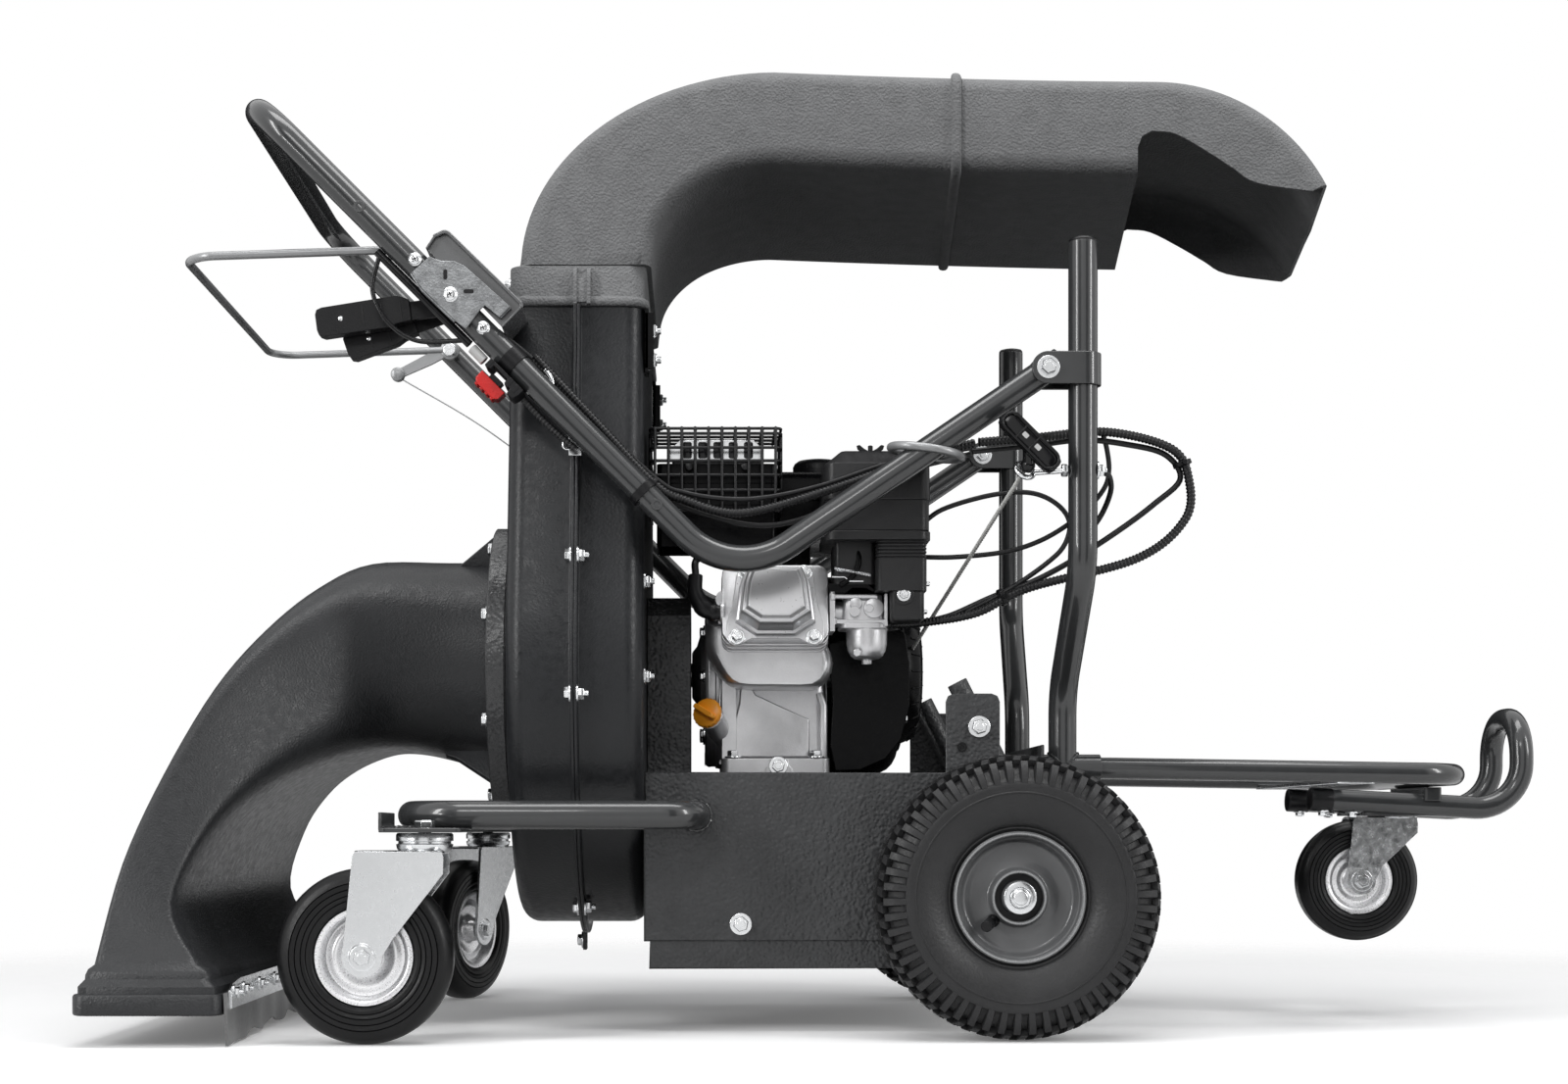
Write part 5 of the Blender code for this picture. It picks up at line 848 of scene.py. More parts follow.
def elbow():
    """The collar with its bead and lugs, the elbow, and the joint rib at its end."""
    top_start = FRONT_FACE_X + 0.01
    throat = REAR_FACE_X + 0.008
    foot = HOUSING_TOP_Z + 0.0003
    outer = []
    for z, grow in ((0, 0.0022), (0.001, 0.0038), (0.003, 0.0046), (0.0058, 0.0046), (0.008, 0.0036),
                    (0.009, 0.0018), (0.0094, 0.0004), (0.0105, 0.0), (0.0375, 0.0), (0.0388, -0.0006),
                    (0.0394, -0.0022)):
        outer.append(duct_section((FRONT_FACE_X, foot + z), (REAR_FACE_X, foot + z), grow))
    arc = [((top_start - 0.003, ELBOW_START_Z + 0.0006), (throat - 0.004, ELBOW_START_Z + 0.0006))]
    arc.append(((top_start - 0.0008, ELBOW_START_Z + 0.0016), (throat - 0.0015, ELBOW_START_Z + 0.0012)))
    steps = 30
    for i in range(1, steps + 1):
        turn = i / steps * pi / 2
        away, rise = cos(turn), sin(turn)
        top = (ELBOW_END_X - (ELBOW_END_X - top_start) * away,
               ELBOW_START_Z + (ELBOW_TOP_Z - ELBOW_START_Z) * rise)
        bottom = (ELBOW_END_X - (ELBOW_END_X - throat) * away,
                  ELBOW_THROAT_Z + (ELBOW_BOTTOM_Z - ELBOW_THROAT_Z) * rise)
        arc.append((top, bottom))
    for k in range(1, 8):
        arc.append(duct_lines(ELBOW_END_X + (DUCT_JOINT_X - ELBOW_END_X) * k / 7))
    outer += [duct_section(*s) for s in arc]
    for along, grow in ((0.0006, 0.0004), (0.0008, 0.003), (0.0022, 0.0046), (0.005, 0.0052),
            (0.0078, 0.0048), (0.0098, 0.0034), (0.011, 0.0008)):
        outer.append(duct_section(*duct_lines(DUCT_JOINT_X + along), grow))
    inner = [duct_section(*s, -DUCT_WALL) for s in [duct_lines(DUCT_JOINT_X + 0.011)] + arc[::-3]]
    inner.append(duct_section((FRONT_FACE_X, foot), (REAR_FACE_X, foot), -DUCT_WALL))
    kit = Kit()
    kit.loft(outer + inner, ring=True)
    for side in (-1, 1):
        face = side * (DUCT_HALF - 0.0005)
        for x in (-0.2655, -0.2525):
            kit.prism([(face, foot + 0.001), (side * 0.2062, foot + 0.001), (side * 0.2062, foot + 0.026),
                       (side * 0.2035, foot + 0.0335), (face, foot + 0.037)], "X", x, x + 0.0035)
        kit.prism([(face, foot + 0.003), (side * 0.2045, foot + 0.003), (side * 0.2045, foot + 0.024),
                   (face, foot + 0.032)], "X", -0.2622, -0.2523)
    swept_aside(kit)
    return kit.done("duct_elbow", DUCT, bevel=0.0006, sharp=50, node="discharge_elbow")


def outlet():
    """The straight run and the hood, opened below along its edge."""
    start = DUCT_JOINT_X + 0.0113
    stations = [duct_lines(start + (HOOD_START_X - start) * k / 10) for k in range(11)]
    heading = atan(DUCT_FALL)
    top = stations[-1][0]
    centre = (top[0] - HOOD_R * sin(heading), top[1] - HOOD_R * cos(heading))
    low = HOOD_R - HOOD_WALL_H
    for i in range(1, 23):
        turn = heading + HOOD_TURN * i / 22
        ray = (sin(turn), cos(turn))
        stations.append(((centre[0] + HOOD_R * ray[0], centre[1] + HOOD_R * ray[1]),
                (centre[0] + low * ray[0], centre[1] + low * ray[1])))
    kit = Kit()
    kit.loft([duct_section(*s) for s in stations] + [duct_section(*s, -DUCT_WALL) for s in stations[::-1]],
             ring=True)
    end_x, end_z = stations[-1][0]
    bow = curve([(a, 0, b) for a, b in HOOD_EDGE[2:]], 20)
    shape = [(FLOOR_END_X, 0.6), *HOOD_EDGE[:3]] + [(p.x, p.z) for p in bow[1:]]
    shape += [(end_x - 0.001, end_z - 0.004), (end_x + 0.05, end_z - 0.03), (end_x + 0.05, 0.6)]
    cutter = Kit()
    cutter.loft([[(x, y, z + HOOD_TILT * (y + DUCT_HALF)) for x, z in shape] for y in (-0.3, 0.3)])
    carve(kit, cutter)
    swept_aside(kit)
    return kit.done("duct_outlet", DUCT, bevel=0.0009, sharp=50, node="discharge_outlet")


elbow()
outlet()

# Latch plates and bolts behind and in front of the duct's collar
kit = Kit()
for side in (-1, 1):
    y0, y1 = sorted((side * 0.192, side * 0.168))
    kit.box(REAR_FACE_X + 0.0003, REAR_FACE_X + 0.004, y0, y1, 0.6325, 0.694)
    kit.box(REAR_FACE_X + 0.0003, REAR_FACE_X + 0.009, y0, y0 + 0.003, 0.636, 0.69)
kit.done("collar_plates", ENAMEL, bevel=0.0005)

kit = Kit()
for side in (-1, 1):
    for z in (0.675, 0.647):
        kit.bolt((REAR_FACE_X + 0.0043, side * 0.178, z), (1, 0, 0), 0.012, 0.0065, stud=0.004)
    kit.bolt((FRONT_FACE_X - 0.0004, side * 0.176, 0.718), (-1, 0, 0), 0.01, 0.0045)
kit.done("collar_bolts", BRIGHT, bevel=0.0003)


# Tray, guard and bumper

TRAY_FRONT_X = -0.1977
TRAY_REAR_X = 0.186
TRAY_HALF = 0.19
TRAY_TOP_Z = 0.249
TUBE_R = 0.0135

kit = Kit()
sheet = 0.003
half = TRAY_HALF
fold = 0.088
for side in (-1, 1):
    outline = [(TRAY_FRONT_X, fold), (TRAY_REAR_X, fold), (TRAY_REAR_X, TRAY_TOP_Z), (0.143, TRAY_TOP_Z),
               (0.143, 0.317), (0.1407, 0.3227), (0.135, 0.325), (0.099, 0.325), (0.0933, 0.3227),
               (0.091, 0.317), (0.091, TRAY_TOP_Z), (TRAY_FRONT_X, TRAY_TOP_Z)]
    kit.prism(outline, "Y", side * half, side * (half - sheet))
    low = [(TRAY_FRONT_X + 0.005, 0.0615), (TRAY_REAR_X - 0.001, 0.0615), (TRAY_REAR_X - 0.001, 0.0905),
           (TRAY_FRONT_X + 0.005, 0.0905)]
    kit.prism(low, "Y", side * (half - 0.002), side * (half - 0.005))
kit.box(TRAY_FRONT_X, TRAY_REAR_X, -half + sheet, half - sheet, TRAY_TOP_Z - sheet, TRAY_TOP_Z)
kit.box(TRAY_FRONT_X, TRAY_FRONT_X + sheet, -half + sheet, half - sheet, fold, TRAY_TOP_Z - sheet)
kit.box(TRAY_REAR_X - sheet, TRAY_REAR_X, -half + sheet, half - sheet, fold, 0.276)
kit.box(TRAY_FRONT_X + 0.005, TRAY_FRONT_X + 0.008, -half + 0.005, half - 0.005, 0.0615, fold + 0.002)
kit.box(TRAY_REAR_X - 0.004, TRAY_REAR_X - 0.001, -half + 0.005, half - 0.005, 0.0615, fold + 0.002)
for side in (-1, 1):
    y = side * (half - 0.022)
    kit.box(0.128, 0.168, y - 0.014, y + 0.014, TRAY_TOP_Z, TRAY_TOP_Z + 0.003)
    kit.sweep([(0.104, y, 0.337), (0.148, y, TRAY_TOP_Z + 0.001)], 0.01, 24, wall=0.0018)
kit.done("tray_sheet", SHEET, bevel=0.0009, node="base_tray")

kit = Kit()
for side in (-1, 1):
    kit.bolt((0.123, side * (half + 0.0003), 0.293), (0, side, 0), 0.013, 0.0055)
    kit.bolt((-0.1055, side * (half + 0.0003), 0.104), (0, side, 0), 0.013, 0.0055)
kit.done("tray_bolts", BRIGHT, bevel=0.0003)

kit = Kit()
kit.turn([(0, 0.003), (0.0004, 0.0048), (0.0012, 0.0048), (0.0012, 0.003)], (0.1065, -half - 0.0002, 0.2735),
         (0, -1, 0), 20, ring=True)
kit.turn([(0, 0.0024), (0.0003, 0.0024), (0.0003, 0.0)], (0.1065, -half - 0.0001, 0.2735), (0, -1, 0), 16)
kit.done("bracket_hole_rim", BLACK, slot="sheet")

# Guard between the housing and the engine
kit = Kit()
x0 = TRAY_FRONT_X
outer = [(-0.086, 0.2493), (-0.086, 0.41), (-0.066, 0.429), (0.066, 0.429), (0.086, 0.41), (0.086, 0.2493)]
inner = [(0.083, 0.2493), (0.083, 0.409), (0.065, 0.426), (-0.065, 0.426), (-0.083, 0.409), (-0.083, 0.2493)]
kit.prism(outer + inner, "X", x0, -0.154)
kit.box(-0.157, -0.154, -0.084, 0.084, 0.2493, 0.323)
kit.prism([(-0.084, 0.322), (-0.084, 0.4095), (-0.065, 0.4275), (0.065, 0.4275), (0.084, 0.4095),
           (0.084, 0.322), (0.03, 0.355), (0.021, 0.376), (0, 0.385), (-0.021, 0.376), (-0.03, 0.355)], "X",
          -0.157, -0.154)
kit.done("guard_sheet", SHEET, bevel=0.0008, node="shaft_guard")

# Front bumper with its caster plates
BUMPER_Z = 0.208
CASTER_X = -0.394
CASTER_Y = 0.312
CASTER_TOP_Z = 0.1915
end_x = -0.1485
weld = TRAY_HALF + 0.0003
path = [(end_x, -weld, BUMPER_Z), (end_x, -0.262, BUMPER_Z), (-0.418, -0.262, BUMPER_Z),
        (-0.418, 0.262, BUMPER_Z), (end_x, 0.262, BUMPER_Z), (end_x, weld, BUMPER_Z)]
Kit().sweep(rounded(path, [0.032, 0.055, 0.055, 0.032], 14), TUBE_R, 40).done("bumper_tube", PAINT,
        node="front_bumper")

kit = Kit()
low = CASTER_TOP_Z + 0.0003
for side in (-1, 1):
    y0, y1 = sorted((side * (CASTER_Y + 0.042), side * 0.256))
    kit.prism(rounded_rect(CASTER_X - 0.037, CASTER_X + 0.038, y0, y1, 0.007), "Z", low, low + 0.004)
    kit.box(CASTER_X - 0.037, CASTER_X - 0.034, y0 + 0.004, y1 - 0.004, low + 0.002, low + 0.018)
kit.done("caster_plates", PAINT, bevel=0.0008)

kit = Kit()
for side in (-1, 1):
    ring = [(end_x + (TUBE_R + 0.0008) * cos(t), side * (weld + 0.0012 + 0.0006 * sin(t * 7)),
             BUMPER_Z + (TUBE_R + 0.0008) * sin(t)) for t in turns(60)]
    kit.sweep(ring, [0.0016 + 0.0005 * sin(i * 1.7) for i in range(60)], 8, ring=True)
    seat = [(CASTER_X + 0.038 - 0.076 * i / 40, side * (0.2495 + 0.0004 * sin(i * 1.3)), low + 0.0052)
            for i in range(41)]
    kit.sweep(seat, [0.0013 + 0.0004 * sin(i * 2.1) for i in range(41)], 8)
kit.done("frame_welds", PAINT)

# Uprights
RAIL_Z = 0.254
RAIL_HALF = 0.16
SOCKET_END_X = 0.2436
UPRIGHT_X = 0.2125
HANDLE_HALF = 0.25
for side, name in ((-1, "near"), (1, "far")):
    kit = Kit()
    foot_x = UPRIGHT_X - 0.005
    foot_y = side * RAIL_HALF
    top_y = side * HANDLE_HALF
    path = rounded([(UPRIGHT_X, top_y, 0.742), (UPRIGHT_X, top_y, 0.438), (foot_x, foot_y, 0.328),
                    (foot_x, foot_y, RAIL_Z)], 0.07, 14)
    kit.sweep(path, TUBE_R, 40, wall=0.002)
    kit.turn([(0, 0.0108), (0, TUBE_R), (SOCKET_END_X - 0.1863, TUBE_R), (SOCKET_END_X - 0.1863, 0.0108)],
             (0.1863, foot_y, RAIL_Z), (1, 0, 0), 40, ring=True)
    kit.done("upright_tube_" + name, PAINT, bevel=0.0003, node="upright_" + name)
    Kit().turn([(-0.016, 0.0112), (-0.0002, 0.0113), (-0.0002, TUBE_R - 0.0003), (0.0012, TUBE_R - 0.0001),
                (0.003, TUBE_R - 0.0012), (0.004, TUBE_R - 0.005), (0.0042, 0)],
               (UPRIGHT_X, top_y, 0.7422), (0, 0, 1), 36).done("upright_cap_" + name, BLACK)
    ring = [(*on_circle(TUBE_R + 0.0004, t, foot_x + 0.0005, foot_y),
             RAIL_Z + 0.0008 + TUBE_R * abs(cos(t))) for t in turns(48)]
    Kit().sweep(ring, [0.0014 + 0.0004 * sin(i * 1.9) for i in range(48)], 8,
                ring=True).done("upright_weld_" + name, PAINT)

# Handle clamps on the uprights
PIVOT_X = 0.1778
PIVOT_Z = 0.6226
for side, name in ((-1, "near"), (1, "far")):
    kit = Kit()
    inner, outer = TUBE_R + 0.0003, TUBE_R + 0.0033
    y = side * HANDLE_HALF
    ear_x = PIVOT_X - 0.015

    def half_circle(radius):
        return [(UPRIGHT_X + radius * sin(pi * i / 20), y - radius * cos(pi * i / 20)) for i in range(21)]

    outline = [(ear_x, y - outer)] + half_circle(outer) + [(ear_x, y + outer)]
    outline += [(ear_x, y + inner)] + half_circle(inner)[::-1] + [(ear_x, y - inner)]
    kit.prism(outline, "Z", PIVOT_Z - 0.015, PIVOT_Z + 0.015)
    cutter = Kit()
    for sign in (-1, 1):
        arc = [(PIVOT_X - 0.015 * sin(t), PIVOT_Z + sign * 0.015 * cos(t))
               for t in (pi / 2 * i / 10 for i in range(11))]
        corner = [(PIVOT_X, PIVOT_Z + sign * 0.018), (PIVOT_X - 0.019, PIVOT_Z + sign * 0.018),
                  (PIVOT_X - 0.019, PIVOT_Z + sign * 0.0001)]
        cutter.prism(arc + corner[::-1], "Y", y - 0.03, y + 0.03)
    carve(kit, cutter)
    kit.done("clamp_sheet_" + name, PAINT, bevel=0.0006, node="handle_clamp_" + name)
    kit = Kit()
    kit.bolt((PIVOT_X, y + side * (outer + 0.0003), PIVOT_Z), (0, side, 0), 0.013, 0.006)
    kit.bolt((PIVOT_X, y - side * (outer + 0.0003), PIVOT_Z), (0, -side, 0), 0.013, 0.005, stud=0.002)
    kit.done("clamp_bolt_" + name, BRIGHT, bevel=0.0003)

# Bag frame and its cross plate
BAG_END_X = 0.6
BAG_R = 0.0105


def bag_line_z(x):
    """The height of the bag frame's tube, which falls slightly to the rear."""
    start = SOCKET_END_X + 0.01
    return RAIL_Z - 0.0055 * max(0.0, x - start) / (BAG_END_X - start)


start = SOCKET_END_X - 0.0347
knee = SOCKET_END_X + 0.01
path = [(knee, -RAIL_HALF, RAIL_Z), (BAG_END_X, -RAIL_HALF, bag_line_z(BAG_END_X)),
        (BAG_END_X, RAIL_HALF, bag_line_z(BAG_END_X)), (knee, RAIL_HALF, RAIL_Z)]
path = [Vector((start, -RAIL_HALF, RAIL_Z))] + rounded(path, 0.045, 14) + [Vector((start, RAIL_HALF, RAIL_Z))]
Kit().sweep(path, BAG_R, 36).done("bag_tube", PAINT, node="bag_frame")

under = bag_line_z(0.492) - BAG_R
Kit().prism(rounded_rect(0.473, 0.511, -0.164, 0.164, 0.004), "Z", under - 0.0005,
            under + 0.0026).done("bag_cross_plate", ZINC, bevel=0.0005)

# Rear loop with its plugs and the plate of its caster
LOOP_R = 0.0115
LOOP_HALF = 0.045
LOOP_START_X = 0.48
LOOP_START_Z = 0.2258
LOOP_REAR_Z = 0.2145
LOOP_REAR_X = 0.706


def loop_line_z(x):
    """The height of the rear loop's legs, which fall to the rear."""
    return LOOP_START_Z + (LOOP_REAR_Z - LOOP_START_Z) * (x - LOOP_START_X) / (LOOP_REAR_X - LOOP_START_X)


rear = LOOP_REAR_X - LOOP_R
path = [(LOOP_START_X, -LOOP_HALF, LOOP_START_Z), (rear, -LOOP_HALF, LOOP_REAR_Z), (rear, -LOOP_HALF, 0.309),
        (rear, LOOP_HALF, 0.309), (rear, LOOP_HALF, LOOP_REAR_Z), (LOOP_START_X, LOOP_HALF, LOOP_START_Z)]
Kit().sweep(rounded(path, [0.045, 0.04, 0.04, 0.045], 14), LOOP_R, 36).done("loop_tube", PAINT,
        node="rear_loop")

kit = Kit()
for side in (-1, 1):
    kit.turn([(-0.002, LOOP_R + 0.0001), (-0.0015, LOOP_R + 0.0006), (0.019, LOOP_R + 0.0006),
              (0.0205, LOOP_R + 0.0001), (0.0205, LOOP_R - 0.001), (-0.002, LOOP_R - 0.003), (-0.002, 0)],
             (LOOP_START_X, side * LOOP_HALF, LOOP_START_Z), (1, 0, -0.05), 32)
kit.done("loop_plugs", BLACK, bevel=0.0004)

kit = Kit()
top = bag_line_z(BAG_END_X) - BAG_R - 0.0003
kit.prism(rounded_rect(BAG_END_X - 0.009, BAG_END_X + 0.009, -0.059, 0.059, 0.003), "Z",
          loop_line_z(BAG_END_X) + 0.004, top)
kit.prism(rounded_rect(0.531, 0.616, -0.051, 0.051, 0.006), "Z", 0.2088, 0.2128)
kit.done("loop_plates", PAINT, bevel=0.0007)

kit = Kit()
for side in (-1, 1):
    for x in (0.4915, 0.5215):
        kit.bolt((x, side * LOOP_HALF, loop_line_z(x) - LOOP_R + 0.0002), (0, 0, -1), 0.008, 0.0042)
kit.done("loop_bolts", BRIGHT, bevel=0.0003)


# Main wheels on their axle

WHEEL_X = 0.148
WHEEL_R = 0.132
WHEEL_MID_Y = 0.2625
TREAD_PITCHES = 54
# Width and radius of the tread's surface, from the crown to the shoulder
CROWN = ((0.0, 0.1318), (0.012, 0.1317), (0.021, 0.131), (0.028, 0.1289), (0.0338, 0.125), (0.0382, 0.119),
         (0.0408, 0.112), (0.0414, 0.1048))
TREAD_DEEP = 0.0062


def crown_at(s):
    """A point of the tread's surface and its outward direction; s runs from 0 to 1 at the shoulder."""
    place = min(abs(s), 0.9999) * (len(CROWN) - 1)
    i = int(place)
    t = place - i
    wide = CROWN[i][0] * (1 - t) + CROWN[i + 1][0] * t
    radius = CROWN[i][1] * (1 - t) + CROWN[i + 1][1] * t
    out = Vector((CROWN[i][1] - CROWN[i + 1][1], CROWN[i + 1][0] - CROWN[i][0])).normalized()
    return copysign(wide, s), radius, Vector((copysign(out.x, s), out.y))


def tread_block(kit, centre, s0, s1, turn0, turn1, skew=0.0, steps=3):
    """One rubber block that follows the tread's curve, with sloping flanks."""
    loops = []
    for k in range(steps + 1):
        s = s0 + (s1 - s0) * k / steps
        a, r, out = crown_at(s)
        lean = skew * k / steps
        spare = (turn1 - turn0) * 0.1
        loop = []
        for down, angle in ((TREAD_DEEP, turn0 - spare), (0.0, turn0 + spare), (0.0, turn1 - spare),
                (TREAD_DEEP, turn1 + spare)):
            wide, radius = a - out.x * down, r - out.y * down
            turn = angle + lean
            loop.append((centre[0] + radius * cos(turn), centre[1] + wide, centre[2] + radius * sin(turn)))
        loops.append(loop)
    kit.loft(loops)


def main_wheel(side, name):
    """A turf tyre with blocks on a pressed rim."""
    centre = (WHEEL_X, side * WHEEL_MID_Y, WHEEL_R)
    kit = Kit()
    wall = [(0.0235, 0.0556), (0.0238, 0.0604), (0.0246, 0.062), (0.0256, 0.0636), (0.0256, 0.065),
            (0.0272, 0.0662), (0.0306, 0.07), (0.0345, 0.076), (0.0378, 0.0828), (0.0399, 0.0892),
            (0.041, 0.0945), (0.0411, 0.0953), (0.0417, 0.0957), (0.0417, 0.0968), (0.0412, 0.0973),
            (0.0414, 0.101), (0.0416, 0.104), (0.041, 0.1054), (0.0384, 0.1066), (0.0358, 0.11),
            (0.033, 0.1152), (0.029, 0.12), (0.0235, 0.1236), (0.015, 0.1254), (0.0, 0.1258)]
    inner = [(0.017, 0.0556), (0.0235, 0.069), (0.035, 0.098), (0.02, 0.12)]
    profile = wall + mirrored(wall, -2) + [(-a, r) for a, r in inner] + inner[::-1]
    kit.turn(profile, centre, (0, 1, 0), 96, ring=True)
    pitch = 2 * pi / TREAD_PITCHES
    for i in range(TREAD_PITCHES):
        t = i * pitch
        for sign in (-1, 1):
            shift = 0.0 if sign < 0 else pitch * 0.5
            tread_block(kit, centre, sign * 0.56, sign * 0.995, t + shift, t + shift + pitch * 0.54, steps=5)
            tread_block(kit, centre, sign * 0.34, sign * 0.52, t + shift + pitch * 0.3,
                        t + shift + pitch * 0.84, pitch * 0.18)
            tread_block(kit, centre, sign * 0.13, sign * 0.3, t + shift + pitch * 0.02,
                        t + shift + pitch * 0.56, -pitch * 0.18, steps=2)
        tread_block(kit, centre, -0.09, 0.09, t + pitch * 0.15, t + pitch * 0.7, steps=2)
    kit.done("tyre_turf_" + name, TYRE, "wheel_" + name, sharp=30, node="wheel_tyre_" + name)
    half = [(0.03, 0.0103), (0.03, 0.0148), (0.0292, 0.0156), (0.018, 0.016), (0.0176, 0.02),
            (0.0186, 0.0222), (0.025, 0.0226), (0.0258, 0.023), (0.026, 0.024), (0.0254, 0.0248),
            (0.019, 0.0254), (0.015, 0.0268), (0.0138, 0.0292), (0.0134, 0.048), (0.0144, 0.051),
            (0.017, 0.053), (0.0228, 0.0538), (0.024, 0.0543), (0.0246, 0.0552), (0.0254, 0.056),
            (0.0276, 0.0566), (0.0288, 0.0576), (0.029, 0.06), (0.0284, 0.061), (0.0272, 0.0608),
            (0.0258, 0.0575), (0.0236, 0.0549)]
    profile = half + mirrored(half)
    Kit().turn(profile, centre, (0, 1, 0), 80, ring=True).done("rim_pressed_" + name, RIM, "wheel_" + name,
            bevel=0.0003, sharp=60, node="wheel_rim_" + name)
    # Thin light rings on the lip and on the hub ring: painted highlight along those edges.
    kit = Kit()
    for a, r in ((0.0289, 0.0588), (0.0262, 0.0238)):
        for face in (-1, 1):
            kit.turn([(face * (a - 0.0006), r - 0.0016), (face * (a + 0.0004), r - 0.0008),
                      (face * (a + 0.0004), r + 0.0008), (face * (a - 0.0006), r + 0.0016)], centre,
                     (0, 1, 0), 80, ring=True)
    kit.done("rim_edge_" + name, RIM_HIGHLIGHT, "wheel_" + name)
    kit = Kit()
    foot = Vector((WHEEL_X - 0.0225, centre[1] + side * 0.0134, WHEEL_R - 0.0215))
    lean = Vector((-0.42, side, -0.22))
    kit.turn([(0, 0.0062), (0.003, 0.0058), (0.005, 0.004), (0.014, 0.0036), (0.0144, 0.0054),
              (0.0235, 0.0052), (0.0242, 0.0044), (0.0242, 0)], foot, lean, 20)
    hub = centre[1] + side * 0.0177
    kit.turn([(0, 0.0164), (0.0006, 0.022), (0.0012, 0.0222), (0.0012, 0.0164)], (WHEEL_X, hub, WHEEL_R),
             (0, side, 0), 40, ring=True)
    kit.done("valve_stem_" + name, BLACK, "wheel_" + name, slot="rim")


for side, name in ((-1, "near"), (1, "far")):
    main_wheel(side, name)

kit = Kit()
centre = (WHEEL_X, 0, WHEEL_R)
end = WHEEL_MID_Y + 0.0303
kit.turn([(-end - 0.003, 0), (-end - 0.003, 0.0088), (-end - 0.0018, 0.0098), (end + 0.0018, 0.0098),
          (end + 0.003, 0.0088), (end + 0.003, 0)], centre, (0, 1, 0), 40)
for side in (-1, 1):
    kit.turn([(end, 0.0098), (end, 0.015), (end + 0.002, 0.015), (end + 0.0024, 0.0144),
              (end + 0.0024, 0.0098)], centre, (0, side, 0), 40, ring=True)
    kit.hexa((WHEEL_X, side * (end + 0.0022), WHEEL_R), (0, side, 0), 0.0165, 0.0036)
    kit.turn([(end + 0.0052, 0.0074), (end + 0.0066, 0.006), (end + 0.0068, 0.004), (end + 0.0068, 0)],
             centre, (0, side, 0), 28)
    inner = WHEEL_MID_Y - 0.0303
    kit.turn([(inner - 0.008, 0.0098), (inner - 0.008, 0.0165), (inner - 0.0074, 0.017),
              (inner - 0.0006, 0.017), (inner, 0.0165), (inner, 0.0098)], centre, (0, side, 0), 40, ring=True)
kit.done("axle_shaft", ZINC, bevel=0.0003, node="wheel_axle")


# Casters

